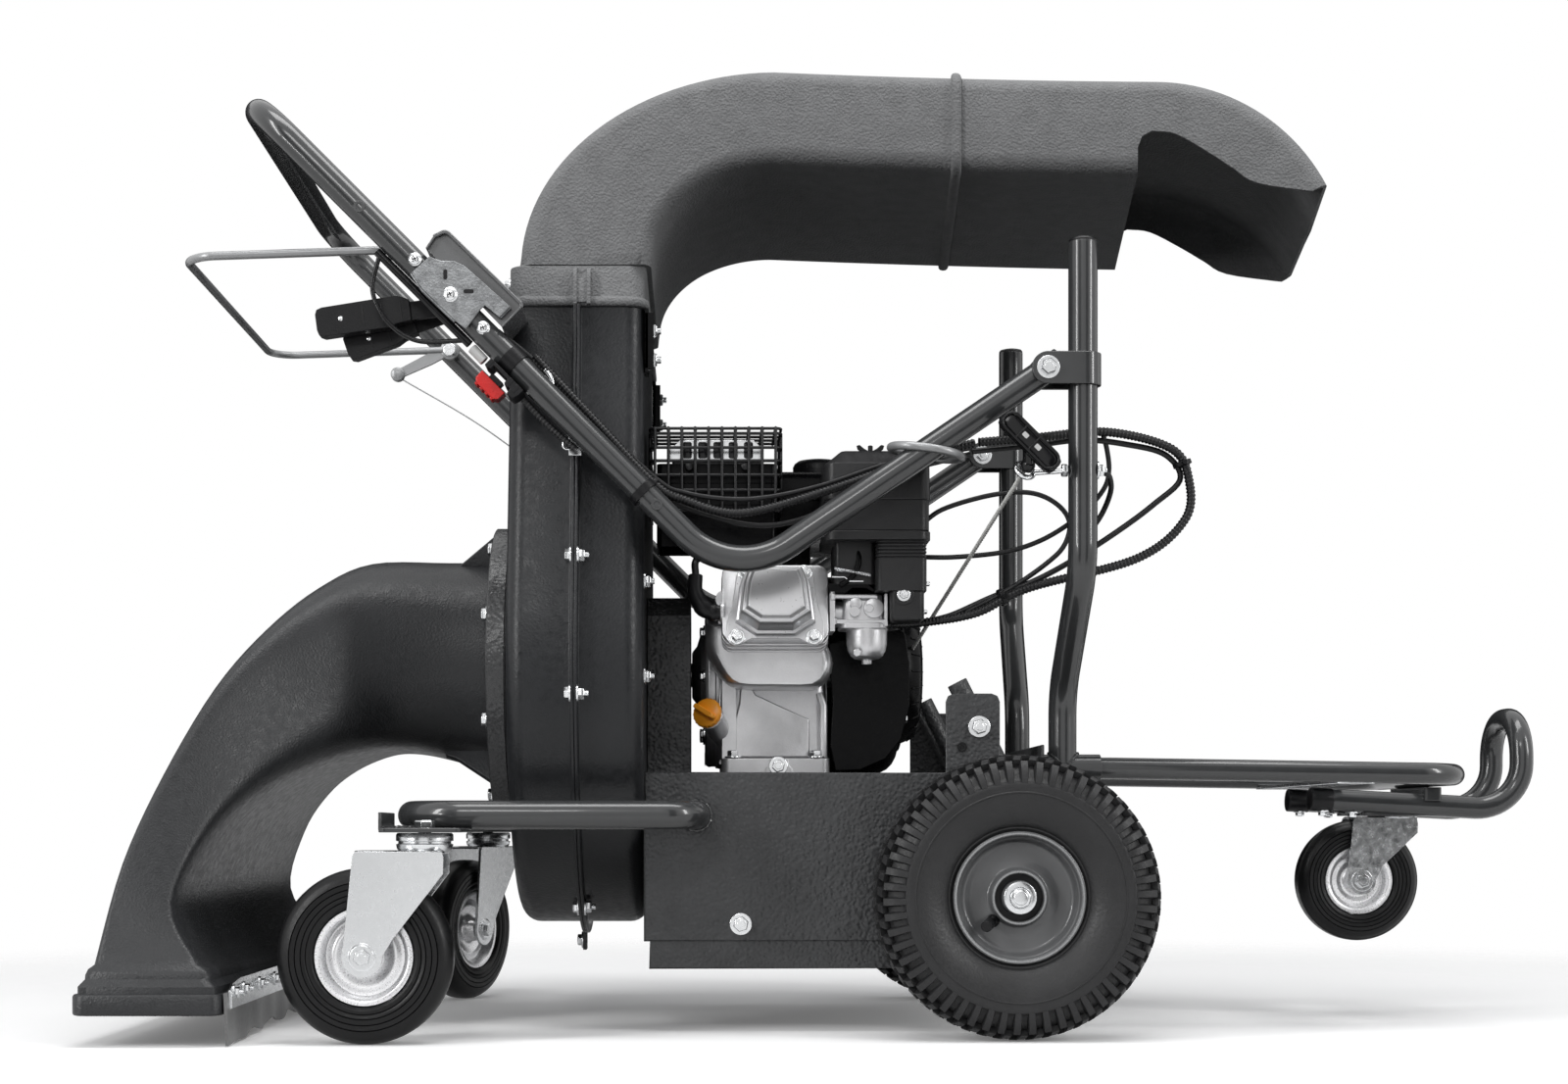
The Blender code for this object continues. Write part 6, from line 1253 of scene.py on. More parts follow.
def caster(name, swivel, radius, width, bore, trail, top_z, centre_z, yaw, nut):
    """The fork with its race, stem and bolts, and the wheel that turns in it."""
    x, y = swivel
    about = Matrix.Translation((x, y, 0))
    aim = about @ Matrix.Rotation(yaw, 4, "Z") @ about.inverted()
    leg_in = width / 2 + 0.0035
    leg_out = leg_in + 0.0035
    crown_low = max(centre_z + radius + 0.004, top_z - 0.019) if nut else top_z - 0.0035
    axis_x = x - trail
    eye = 0.016 if radius > 0.07 else 0.013
    kit = Kit()
    loops = []
    for lift, spare in ((0, 0.0012), (0.0008, 0.0002), (0.0022, 0.0002), (0.003, 0.0012)):
        loops.append([(px, py, crown_low + lift) for px, py in rounded_rect(axis_x - 0.008 + spare,
                x + 0.0195 - spare, y - leg_out + spare + 0.0004, y + leg_out - spare - 0.0004, 0.006)])
    kit.loft(loops)
    for side in (-1, 1):
        low = [on_circle(eye * 1.12, radians(178 + 184 * i / 20), axis_x, centre_z) for i in range(21)]
        outline = [(x + 0.0185, crown_low + 0.002), (axis_x - 0.007, crown_low + 0.002),
                   (axis_x - 0.0088, crown_low - 0.002)]
        outline += low
        outline += [(axis_x + eye * 1.7, centre_z + 0.016), (x + 0.0195, crown_low - radius * 0.22),
                    (x + 0.0198, crown_low - 0.004)]
        kit.prism(outline, "Y", y + side * leg_in, y + side * (leg_out - 0.0002))
        kit.turn([(0, eye * 0.8), (0.0005, eye * 0.8), (0.0009, eye * 0.72), (0.0009, 0)],
                 (axis_x, y + side * (leg_out - 0.0004), centre_z), (0, side, 0), 30)
        kit.bolt((axis_x, y + side * (leg_out + 0.0003), centre_z), (0, side, 0), 0.0135, 0.0048)
    kit.turn([(-leg_out, 0), (-leg_out, bore), (leg_out, bore), (leg_out, 0)], (axis_x, y, centre_z),
             (0, 1, 0), 24)
    high = top_z - crown_low
    race = [(0.001 + (high - 0.001) * share, r) for share, r in ((0.2, 0.025), (0.42, 0.0258), (0.46, 0.0238),
            (0.56, 0.0238), (0.6, 0.0259), (0.9, 0.0259))]
    kit.turn([(0.001, 0), (0.001, 0.0215)] + race + [(high, 0.0245), (high, 0)], (x, y, crown_low), (0, 0, 1),
             40)
    plate_top = top_z + 0.0003 + 0.004
    kit.turn([(0, 0), (0, 0.006), (plate_top - top_z + 0.003, 0.006), (plate_top - top_z + 0.004, 0.0052),
              (plate_top - top_z + 0.004, 0)], (x, y, top_z), (0, 0, 1), 24)
    kit.hexa((x, y, plate_top + 0.0004), (0, 0, 1), 0.0165, 0.0066)
    kit.moved(aim)
    kit.done("caster_fork_skin_" + name, ZINC, "caster_fork_" + name, bevel=0.0006,
             node="caster_fork_" + name)
    half = width / 2
    seat = radius * 0.56
    place = (axis_x, y, centre_z)
    kit = Kit()
    side = [(half - 0.001, bore + 0.0003), (half - 0.001, bore + 0.0055), (half - 0.0018, bore + 0.0066),
            (half * 0.42, bore + 0.008), (half * 0.24, bore + 0.0105), (half * 0.22, seat * 0.52),
            (half * 0.3, seat * 0.58), (half * 0.3, seat * 0.66), (half * 0.2, seat * 0.72),
            (half * 0.2, seat - 0.009), (half * 0.34, seat - 0.0068), (half - 0.0046, seat - 0.0052),
            (half - 0.004, seat - 0.0044), (half - 0.004, seat - 0.0002)]
    kit.turn(side + mirrored(side), place, (0, 1, 0), 56, ring=True)
    kit.moved(aim)
    kit.done("caster_rim_skin_" + name, RIM_ZINC, "caster_wheel_" + name, bevel=0.0003, sharp=50,
             node="caster_rim_" + name)
    kit = Kit()
    r = radius
    side = [(half - 0.006, seat + 0.0003), (half - 0.0022, seat + 0.0014), (half - 0.001, seat + 0.0032)]
    side += [(half - inset, r * share) for inset, share in ((0.0008, 0.645), (0.0018, 0.652), (0.0008, 0.66),
            (0.0003, 0.7), (0.0012, 0.706), (0.0002, 0.713), (0.0001, 0.765), (0.0011, 0.772),
            (0.0001, 0.779), (0.0003, 0.83), (0.0014, 0.837), (0.0006, 0.845), (0.0022, 0.9), (0.005, 0.948),
            (0.009, 0.98))]
    side += [(half * 0.42, r * 0.994), (half * 0.2, r * 0.9995), (0, r)]
    kit.turn(side + mirrored(side, -2), place, (0, 1, 0), 88, ring=True)
    kit.moved(aim)
    kit.done("caster_tyre_skin_" + name, RUBBER, "caster_wheel_" + name, sharp=50, node="caster_tyre_" + name)


caster("near", (CASTER_X, -CASTER_Y), 0.08, 0.04, 0.006, 0.053, CASTER_TOP_Z, 0.08, 0.0, True)
caster("far", (CASTER_X, CASTER_Y), 0.08, 0.04, 0.006, 0.053, CASTER_TOP_Z, 0.08, radians(65), True)
caster("rear", (0.576, 0), 0.0625, 0.032, 0.005, 0.038, 0.2085, 0.142, 0.0, False)


# Engine. Parts of the tilted cylinder are shaped with X, across and along its axis.

HEAD_TILT = radians(16)
TILT_C = cos(HEAD_TILT)
TILT_N = sin(HEAD_TILT)
CYLINDER = Matrix(((1, 0, 0, 0), (0, TILT_N, -TILT_C, 0), (0, TILT_C, TILT_N, CRANK_Z), (0, 0, 0, 1)))
UPRIGHT = Matrix(((1, 0, 0, 0), (0, 0, -1, 0), (0, 1, 0, 0), (0, 0, 0, 1)))
FILLER_AXIS = (-0.0085, -0.0175, 0.0045)
BELLY = ((-0.1385, 0.396), (-0.1388, 0.378), (-0.1365, 0.367), (-0.131, 0.356), (-0.1245, 0.3455),
         (-0.1185, 0.3385), (-0.111, 0.3345), (-0.1, 0.333), (-0.042, 0.3325), (-0.03, 0.3335),
         (-0.0215, 0.339), (-0.016, 0.348), (-0.0145, 0.357), (-0.0165, 0.368), (-0.0225, 0.38),
         (-0.025, 0.396))


def block(kit, x0, x1, y0, y1, levels, radius=0.006):
    """A block with round corners whose outline steps in or out at each level of Z."""
    kit.loft([[(x, y, z) for x, y in rounded_rect(x0 + d, x1 - d, y0 + d, y1 - d,
            max(radius - d * 0.5, 0.001))] for z, d in levels])
    return kit


def poly_levels(kit, outline, levels):
    """An outline drawn through levels, each scaled about the outline's middle."""
    mx = sum(p[0] for p in outline) / len(outline)
    my = sum(p[1] for p in outline) / len(outline)
    kit.loft([[(mx + (x - mx) * k, my + (y - my) * k, z) for x, y in outline] for z, k in levels])
    return kit


kit = Kit()
block(kit, -0.1255, -0.017, -0.104, 0.085, [(0.264, 0.0), (0.296, 0.0005), (0.33, 0.0015), (0.342, 0.0025)],
      0.012)
block(kit, -0.1235, -0.016, -0.117, 0.117, [(0.2493, 0.0012), (0.2505, 0.0), (0.2645, 0.0), (0.2658, 0.0012)],
      0.008)
kit.prism([(-0.085, 0.26), (0.085, 0.26), (0.085, 0.35), (0.062, 0.392), (0.04, 0.4175), (-0.02, 0.4175),
           (-0.05, 0.4), (-0.085, 0.345)], "X", -0.1255, -0.017)
kit.turn([(-0.1397, 0), (-0.1397, 0.076), (-0.1385, 0.079), (-0.1355, 0.0805), (-0.133, 0.08), (-0.129, 0.08),
          (-0.1285, 0.0818), (-0.1255, 0.0818), (-0.124, 0.0818)], (0, 0, 0.34), (1, 0, 0), 56)
kit.turn([(-0.153, 0.0165), (-0.153, 0.023), (-0.152, 0.025), (-0.148, 0.03), (-0.144, 0.043),
          (-0.1395, 0.0465), (-0.13, 0.0465), (-0.13, 0.0165)], *SHAFT, 40, ring=True)
for y, z in ((-0.066, 0.3), (-0.074, 0.352), (-0.05, 0.402), (0.066, 0.3), (0.074, 0.352), (0.05, 0.402),
             (0.0, 0.268)):
    kit.turn([(-0.1393, 0), (-0.1393, 0.0075), (-0.14, 0.007), (-0.14, 0)], (0, y * 0.92, z), (1, 0, 0), 14)
start = kit.size()
block(kit, -0.127, -0.017, -0.04, 0.044, [(0.055, 0.004), (0.07, 0.0012), (0.1, 0.0), (0.104, 0.0)], 0.016)
kit.turn([(0.0962, 0), (0.0962, 0.036), (0.149, 0.036), (0.149, 0)], (-0.0725, -0.003, 0), (0, 0, 1), 44)
for i in range(5):
    s = 0.1035 + 0.0098 * i
    block(kit, -0.1235, -0.0215, -0.033, 0.044, [(s, 0.0006), (s + 0.0007, 0.0), (s + 0.0021, 0.0),
            (s + 0.0028, 0.0006)], 0.016)
kit.moved(CYLINDER, start)
start = kit.size()
poly_levels(kit, BELLY, [(0.085, 1.0), (0.14, 1.0), (0.147, 0.988), (0.153, 0.962), (0.1575, 0.925),
        (0.16, 0.875), (0.1606, 0.8)])
kit.moved(UPRIGHT, start)
kit.sweep([(-0.114, -0.078, 0.281), (-0.127, -0.108, 0.2945), (-0.1335, -0.13, 0.305)], 0.0115, 28)
kit.turn([(0, 0.0118), (0.0008, 0.0135), (0.004, 0.0135), (0.0046, 0.0128), (0.0046, 0)],
         (-0.1336, -0.1318, 0.3053), FILLER_AXIS, 28)
kit.prism([(-0.123, 0.2645), (-0.1085, 0.2645), (-0.1085, 0.328), (-0.11, 0.342), (-0.118, 0.348),
           (-0.123, 0.344)], "Y", -0.112, -0.1)
start = kit.size()
poly_levels(kit, [(-0.113, 0.2655), (-0.0355, 0.2655), (-0.0355, 0.304), (-0.064, 0.317), (-0.09, 0.329),
        (-0.096, 0.34), (-0.104, 0.344), (-0.106, 0.32), (-0.113, 0.29)],
            [(0.1035, 1.0), (0.107, 0.992), (0.1092, 0.975), (0.11, 0.95)])
kit.moved(UPRIGHT, start)
kit.sweep([(-0.022, -0.103, 0.2665), (-0.022, -0.103, 0.318), (-0.026, -0.1, 0.33)], 0.0042, 16)
kit.prism([(-0.08, 0.248), (-0.053, 0.248), (-0.053, 0.2545), (-0.057, 0.259), (-0.057, 0.264),
           (-0.076, 0.264), (-0.076, 0.259), (-0.08, 0.2545)], "Y", -0.118, -0.1145)
kit.done("crankcase", ALLOY, bevel=0.0009, sharp=34, node="engine_block")

kit = Kit()
for x, y in ((-0.112, -0.11), (-0.03, -0.11), (-0.112, 0.11), (-0.03, 0.11)):
    kit.bolt((x, y, 0.2662), (0, 0, 1), 0.0105, 0.006)
kit.bolt((-0.0672, -0.1183, 0.2575), (0, -1, 0), 0.0115, 0.0035)
for y, z in ((-0.06, 0.292), (-0.07, 0.35), (-0.046, 0.396), (0.06, 0.292), (0.07, 0.35), (0.046, 0.396)):
    kit.bolt((-0.1402, y, z), (-1, 0, 0), 0.0085, 0.0038)
kit.hexa((-0.0665, -0.1105, 0.36), (0, -TILT_C, TILT_N), 0.009, 0.005)
kit.done("engine_bolts", BRIGHT, bevel=0.0003, slot="cast_alloy")

# Oil cap with its raised grip
kit = Kit()
kit.turn([(0, 0.0105), (0.0006, 0.0138), (0.004, 0.0148), (0.007, 0.0142), (0.0082, 0.0122), (0.0086, 0)],
         (0, 0, 0), (0, 0, 1), 32)
kit.loft([[(x, y, z) for x, y in rounded_rect(-0.013 * k, 0.013 * k, -0.0026 * k, 0.0026 * k, 0.0022 * k)]
          for z, k in ((0.008, 1.0), (0.014, 0.98), (0.0158, 0.86))])
for t in turns(20):
    kit.sweep([(*on_circle(0.0142, t), z) for z in (0.0022, 0.0064)], 0.0009, 6)
aim = Vector(FILLER_AXIS).normalized().to_track_quat("Z", "X").to_matrix().to_4x4()
kit.moved(Matrix.Translation((-0.1356, -0.1367, 0.3076)) @ aim @ Matrix.Rotation(radians(60), 4, "Z"))
kit.done("oil_cap_grip", ORANGE, bevel=0.0004, node="oil_cap")

# Cylinder head and valve cover
kit = Kit()
block(kit, -0.1238, -0.0207, -0.033, 0.0455, [(0.1502, 0.001), (0.1512, 0.0), (0.16, 0.0), (0.1606, 0.003),
        (0.165, 0.003), (0.1656, 0.0), (0.169, 0.0), (0.1696, 0.003), (0.174, 0.003), (0.1746, 0.0),
        (0.178, 0.0), (0.1786, 0.003), (0.182, 0.003), (0.1826, 0.0004), (0.189, 0.0004), (0.1896, 0.0014)],
      0.01)
kit.turn([(0.15, 0), (0.15, 0.0095), (0.1885, 0.0095), (0.1885, 0)], (-0.1205, 0.01, 0), (0, 0, 1), 22)
kit.moved(CYLINDER)
kit.box(-0.1195, -0.0805, -0.1695, -0.137, 0.426, 0.4527)
kit.turn([(0, 0.0108), (0.004, 0.01), (0.004, 0)], (-0.1212, -0.176, 0.404), (-1, 0, 0), 24)
kit.done("head_casting", ALLOY, bevel=0.0007, node="cylinder_head")

kit = Kit()
x0, x1 = -0.1198, -0.0252
flange = [(x0 + 0.014, 0.0395), (x0 + 0.022, 0.0398), (x1 - 0.022, 0.0398), (x1 - 0.014, 0.0395),
          (x1 - 0.01, 0.032), (x1 - 0.006, 0.0), (x1 - 0.001, -0.014), (x1, -0.032), (x1 - 0.003, -0.037),
          (x1 - 0.008, -0.0396), (x1 - 0.014, -0.0385), (x1 - 0.024, -0.0325), (x0 + 0.024, -0.0325),
          (x0 + 0.014, -0.0385), (x0 + 0.008, -0.0396), (x0 + 0.003, -0.037), (x0, -0.032),
          (x0 + 0.001, -0.014), (x0 + 0.006, 0.0), (x0 + 0.01, 0.032)]
poly_levels(kit, flange, [(0.1903, 0.985), (0.1908, 1.0), (0.1935, 1.0), (0.1942, 0.985)])
rim = [(x0 + 0.018, 0.0365), (x1 - 0.018, 0.0365), (x1 - 0.0125, 0.02), (x1 - 0.0095, -0.006),
       (x1 - 0.0085, -0.0165), (x1 - 0.0285, -0.0305), (x0 + 0.0285, -0.0305), (x0 + 0.0085, -0.0165),
       (x0 + 0.0095, -0.006), (x0 + 0.0125, 0.02)]
poly_levels(kit, rim, [(0.1935, 1.0), (0.1985, 0.985), (0.2, 0.965), (0.2012, 0.9), (0.2016, 0.895),
        (0.213, 0.875), (0.218, 0.855), (0.22, 0.825), (0.2208, 0.79), (0.2208, 0.75), (0.223, 0.715),
        (0.225, 0.69), (0.2256, 0.665)])
kit.moved(CYLINDER)
kit.done("valve_cover_pressing", BRIGHT_CAST, bevel=0.0012, segments=3, sharp=24, node="valve_cover")

kit = Kit()
for x, v in ((x0 + 0.0105, -0.031), (x1 - 0.0105, -0.031), (x0 + 0.019, 0.035), (x1 - 0.019, 0.035)):
    spot = CYLINDER @ Vector((x, v, 0.1943))
    kit.bolt(spot, (0, -TILT_C, TILT_N), 0.0095, 0.0048)
kit.done("valve_cover_bolts", BRIGHT, bevel=0.0003, slot="cast_alloy")

path = curve([(-0.1243, -0.176, 0.404), (-0.133, -0.176, 0.4042), (-0.143, -0.1765, 0.41),
              (-0.149, -0.176, 0.424), (-0.149, -0.173, 0.44)], 16)
Kit().sweep(path, [0.0078] * 3 + [0.0088, 0.0088, 0.0078, 0.0085, 0.0088, 0.0088] + [0.008] * 3 + [0.007] * 5,
            22).done("plug_boot", BLACK, bevel=0.0004, node="spark_plug_boot")
Kit().sweep(curve([(-0.149, -0.173, 0.44), (-0.148, -0.165, 0.456), (-0.13, -0.14, 0.465),
        (-0.08, -0.11, 0.462), (-0.03, -0.07, 0.44)], 26), 0.0035, 12).done("plug_lead", CABLE,
        slot="black_plastic")

# Fan housing with its ribs, and the recoil cover
kit = Kit()
start_x = -0.0127
outer = [(start_x, 0.099), (start_x, 0.1018), (0.038, 0.1018), (0.043, 0.101), (0.049, 0.098), (0.054, 0.093),
         (0.0572, 0.087), (0.0578, 0.08), (0.0578, 0.0622), (0.0552, 0.0622), (0.0552, 0.08), (0.052, 0.09),
         (0.04, 0.098)]
kit.turn(outer, *SHAFT, 72, ring=True)
for i in range(9):
    turn = radians(150 + i * 15)
    y, z = cos(turn), sin(turn)
    kit.sweep([(-0.002, y * 0.1006, CRANK_Z + z * 0.1006), (0.036, y * 0.1006, CRANK_Z + z * 0.1006)], 0.0013,
              8)
for x in (0.0, 0.034):
    kit.turn([(x, 0.101), (x + 0.0004, 0.10195), (x + 0.002, 0.10195), (x + 0.0024, 0.101)], *SHAFT, 72,
             ring=True)
kit.done("fan_shroud", ENAMEL, bevel=0.0006, sharp=50, node="fan_housing")

kit = Kit()
RECOIL_X = 0.0583
profile = [(0, 0.07), (0, 0.0785), (0.0008, 0.079), (0.0026, 0.0788), (0.0034, 0.077), (0.0038, 0.0715),
           (0.01, 0.069), (0.019, 0.0632), (0.0225, 0.057), (0.0246, 0.046), (0.0246, 0.035), (0.0234, 0.033),
           (0.0234, 0.021), (0.0246, 0.019), (0.0246, 0.012), (0.022, 0.012), (0.022, 0.043), (0.0175, 0.059),
           (0.002, 0.067)]
kit.turn(profile, (RECOIL_X, 0, CRANK_Z), (1, 0, 0), 64, ring=True)
for turn in turns(24):
    y, z = cos(turn), sin(turn)
    kit.sweep([(RECOIL_X + 0.0112, y * 0.0684, CRANK_Z + z * 0.0684), (RECOIL_X + 0.0192, y * 0.0632,
            CRANK_Z + z * 0.0632), (RECOIL_X + 0.0236, y * 0.052, CRANK_Z + z * 0.052)], 0.0011, 6)
kit.done("recoil_pressing", ENAMEL, bevel=0.0005, node="recoil_cover")
kit = Kit()
for i in range(3):
    turn = radians(100 + 120 * i)
    kit.bolt((RECOIL_X + 0.0034, *on_circle(0.0748, turn, 0, CRANK_Z)), (1, 0, 0), 0.0075, 0.003)
kit.done("recoil_bolts", BRIGHT)

# Side plate between the cylinder and the fan
Kit().prism([(-0.0165, 0.38), (0.054, 0.394), (0.06, 0.39), (0.064, 0.36), (0.064, 0.32), (0.056, 0.285),
             (0.04, 0.265), (0.015, 0.254), (-0.01, 0.253), (-0.015, 0.28), (-0.0125, 0.32), (-0.015, 0.35)],
            "Y", -0.104, -0.1).done("fan_side_plate", ENAMEL, bevel=0.0009)

# Fuel tank and cap
kit = Kit()
low, high = 0.494, 0.559
seam = low + 0.0345
levels = [(low, 0.014), (low + 0.003, 0.008), (low + 0.01, 0.0042), (seam - 0.0016, 0.004),
          (seam - 0.0015, 0.0004), (seam - 0.0008, 0.0), (seam + 0.0008, 0.0), (seam + 0.0015, 0.0004),
          (seam + 0.0016, 0.004), (high - 0.014, 0.0046), (high - 0.008, 0.007), (high - 0.004, 0.012),
          (high - 0.0012, 0.02), (high, 0.028)]
block(kit, -0.16, 0.056, -0.078, 0.15, levels, 0.03)
kit.turn([(high - 0.002, 0.0165), (high - 0.002, 0.021), (high + 0.004, 0.0198), (high + 0.01, 0.0194),
          (high + 0.01, 0.0165)], (-0.02, 0.03, 0), (0, 0, 1), 40, ring=True)
block(kit, -0.11, -0.03, -0.016, 0.036, [(0.4184, 0.0), (low + 0.003, 0.0)], 0.002)
kit.done("tank_pressing", ENAMEL, bevel=0.0005, sharp=45, node="fuel_tank")
kit = Kit()
profile = [(0.0012, 0.0198), (0.0012, 0.0262), (0.0018, 0.0268), (0.012, 0.0268), (0.0175, 0.0266),
           (0.0205, 0.025), (0.023, 0.0215), (0.0242, 0.015), (0.0245, 0), (0.0205, 0), (0.0205, 0.0198)]
kit.turn(profile, (-0.02, 0.03, high), (0, 0, 1), 40)
for turn in turns(18):
    x, y = on_circle(0.0262, turn, -0.02, 0.03)
    kit.sweep([(x, y, high + 0.003), (x, y, high + 0.0175)], 0.0007, 6)
kit.done("fuel_cap_skin", BLACK, bevel=0.0004, node="fuel_cap")

# Air cleaner: lid with sloping edges, ribbed case and inlet elbow
kit = Kit()
block(kit, -0.0258, 0.0757, -0.2048, -0.0922, [(0.509, 0.001), (0.51, 0.0002), (0.544, 0.0006),
        (0.5458, 0.003), (0.555, 0.0135), (0.5574, 0.0165), (0.5582, 0.0195)], 0.012)
block(kit, -0.0246, 0.0745, -0.2036, -0.0934, [(0.48, 0.0), (0.509, 0.0)], 0.01)
block(kit, -0.0258, 0.0757, -0.2048, -0.0922, [(0.4706, 0.0012), (0.4712, 0.0), (0.479, 0.0),
        (0.4798, 0.0012)], 0.012)
levels = [(0.4225, 0.0)]
for i in range(5):
    z = 0.454 + 0.0034 * i
    levels += [(z, 0.0), (z + 0.0003, 0.0012), (z + 0.0012, 0.0012), (z + 0.0015, 0.0)]
levels.append((0.4715, 0.0))
block(kit, 0.0236, 0.0722, -0.2, -0.112, levels, 0.006)
block(kit, -0.015, 0.024, -0.185, -0.112, [(0.43, 0.0), (0.4715, 0.0)], 0.005)
kit.done("air_cleaner_case", BLACK_CASE, bevel=0.0009, node="air_cleaner")
kit = Kit()
block(kit, 0.0374, 0.07, -0.1975, -0.128, [(0.393, 0.004), (0.3945, 0.0012), (0.397, 0.0), (0.4226, 0.0)],
      0.006)
kit.turn([(0, 0.0098), (0.0004, 0.0102), (0.0012, 0.0098), (0.0012, 0.0072), (-0.0005, 0.0066), (-0.0005, 0)],
         (0.05, -0.1976, 0.419), (0, -1, 0), 30)
kit.done("air_inlet_elbow", BLACK_CASE, bevel=0.0008)
kit = Kit()
kit.turn([(0, 0.009), (0.001, 0.009), (0.0014, 0.006), (0.006, 0.005), (0.0064, 0)], (0.0216, -0.15, 0.5578),
         (0, 0, 1), 22)
for side in (-1, 1):
    wing = [(0.0216 + side * 0.003, 0.56), (0.0216 + side * 0.007, 0.561), (0.0216 + side * 0.0125, 0.5655),
            (0.0216 + side * 0.0135, 0.569), (0.0216 + side * 0.0105, 0.5698), (0.0216 + side * 0.006, 0.566),
            (0.0216 + side * 0.003, 0.5645)]
    kit.prism(wing, "Y", -0.1516, -0.1484)
kit.turn([(0, 0.0024), (0.0048, 0.0024), (0.0052, 0.0016), (0.0052, 0)], (0.0216, -0.15, 0.564), (0, 0, 1),
         12)
kit.done("wing_nut", BLACK, bevel=0.0004)
kit = Kit()
kit.bolt((0.05, -0.1978, 0.419), (0, -1, 0), 0.008, 0.0038, stud=0.0026)
kit.turn([(0, 0.0022), (0.006, 0.0022), (0.0066, 0.0014), (0.0066, 0)], (0.07, -0.18, 0.431), (1, 0, 0), 14)
kit.turn([(0, 0.0022), (0.005, 0.0022), (0.0056, 0.0014), (0.0056, 0)], (0.0705, -0.16, 0.406), (1, 0, 0), 14)
kit.hexa((0.0703, -0.16, 0.406), (1, 0, 0), 0.007, 0.0028)
kit.done("air_cleaner_studs", BRIGHT, bevel=0.0002)

# Carburettor
kit = Kit()
block(kit, -0.008, 0.033, -0.183, -0.141, [(0.3935, 0.0), (0.408, 0.0008), (0.419, 0.002), (0.4212, 0.0036)],
      0.007)
block(kit, -0.01, 0.0355, -0.185, -0.139, [(0.388, 0.0008), (0.3888, 0.0), (0.393, 0.0), (0.3938, 0.0008)],
      0.009)
kit.box(-0.02, -0.015, -0.185, -0.14, 0.385, 0.4215)
kit.box(0.0325, 0.0358, -0.185, -0.14, 0.39, 0.4215)
kit.turn([(-0.02, 0.0125), (0.035, 0.0125)], (0, -0.163, 0.403), (1, 0, 0), 30)
kit.turn([(0.3905, 0.0206), (0.388, 0.0206), (0.3872, 0.0198), (0.374, 0.0196), (0.368, 0.0184),
          (0.363, 0.0158), (0.36, 0.012), (0.359, 0.006), (0.359, 0)], (0.017, -0.164, 0), (0, 0, 1), 40)
kit.turn([(0, 0.0098), (0.0016, 0.0098), (0.0022, 0.0088), (0.0022, 0)], (0.0225, -0.1828, 0.4075),
         (0, -1, 0), 26)
kit.turn([(0, 0.006), (0.003, 0.006), (0.0036, 0.005), (0.0036, 0)], (0.005, -0.183, 0.412), (0, -1, 0), 20)
kit.box(-0.0135, 0.0355, -0.1838, -0.15, 0.3925, 0.3965)
kit.sweep([(-0.018, -0.1838, 0.4185), (0.026, -0.1838, 0.4185)], 0.0022, 12)
kit.sweep([(0.004, -0.1838, 0.404), (0.004, -0.1872, 0.404)], 0.0052, 18)
kit.sweep([(0.018, -0.1832, 0.407), (0.018, -0.1866, 0.407)], 0.004, 18)
kit.hexa((-0.015, -0.184, 0.4185), (-1, 0, 0), 0.0085, 0.0045)
kit.hexa((0.017, -0.164, 0.3592), (0, 0, -1), 0.0085, 0.0048)
kit.hexa((0.007, -0.18, 0.3655), (-0.2, -1, -0.3), 0.0075, 0.004)
kit.hexa((-0.016, -0.17, 0.395), (0, -1, 0), 0.0075, 0.012)
kit.done("carburettor_casting", ALLOY, bevel=0.0005, node="carburettor")
kit = Kit()
kit.prism([(-0.0205, 0.422), (-0.005, 0.422), (0.002, 0.427), (0.015, 0.427), (0.022, 0.423), (0.0235, 0.425),
           (0.016, 0.431), (-0.0205, 0.431)], "Y", -0.184, -0.14)
kit.sweep(curve([(-0.01, -0.186, 0.429), (0.002, -0.1865, 0.438), (0.008, -0.185, 0.452),
        (0.006, -0.18, 0.47)], 14), 0.0028, 12)
kit.done("throttle_bracket", ENAMEL, bevel=0.0004)
kit = Kit()
kit.sweep([(-0.018, -0.188, 0.437), (-0.006, -0.188, 0.437), (-0.001, -0.188, 0.433), (0.012, -0.188, 0.433)],
          0.0009, 8)
coil = [(-0.015 + 0.034 * i / 160, *on_circle(0.0022, i * 0.9, -0.187, 0.445 - 0.006 * i / 160))
        for i in range(161)]
kit.sweep(coil, 0.0005, 6)
kit.done("throttle_linkage", BRIGHT)

# Muffler behind its wire cage
# The can is black as painted shade: below its bright panel it lies in shadow.
kit = Kit()
outline = rounded_rect(-0.1718, -0.0842, 0.4937, 0.5733, 0.02, 10)
mx = sum(p[0] for p in outline) / len(outline)
mz = sum(p[1] for p in outline) / len(outline)
loops = []
for y, k in ((-0.1678, 0.93), (-0.1678, 0.955), (-0.166, 0.985), (-0.164, 0.985), (-0.1636, 1.0),
             (-0.1616, 1.0), (-0.1612, 0.985), (-0.101, 0.985), (-0.0985, 0.95), (-0.0982, 0.93)):
    loops.append([(mx + (x - mx) * k, y, mz + (z - mz) * k) for x, z in outline])
kit.loft(loops)
kit.turn([(0.4533, 0.008), (0.4533, 0.011), (0.496, 0.011), (0.496, 0.008)], (-0.1, -0.152, 0), (0, 0, 1), 28,
         ring=True)
kit.box(-0.1178, -0.0822, -0.1678, -0.1372, 0.4534, 0.4573)
for x in (-0.155, -0.101):
    kit.turn([(0, 0.004), (0.015, 0.004), (0.0156, 0.0032), (0.0156, 0)], (x, -0.1675, 0.544), (0, -1, 0), 18)
kit.done("muffler_can", DARK_WIRE, bevel=0.0005, node="muffler", slot="muffler")
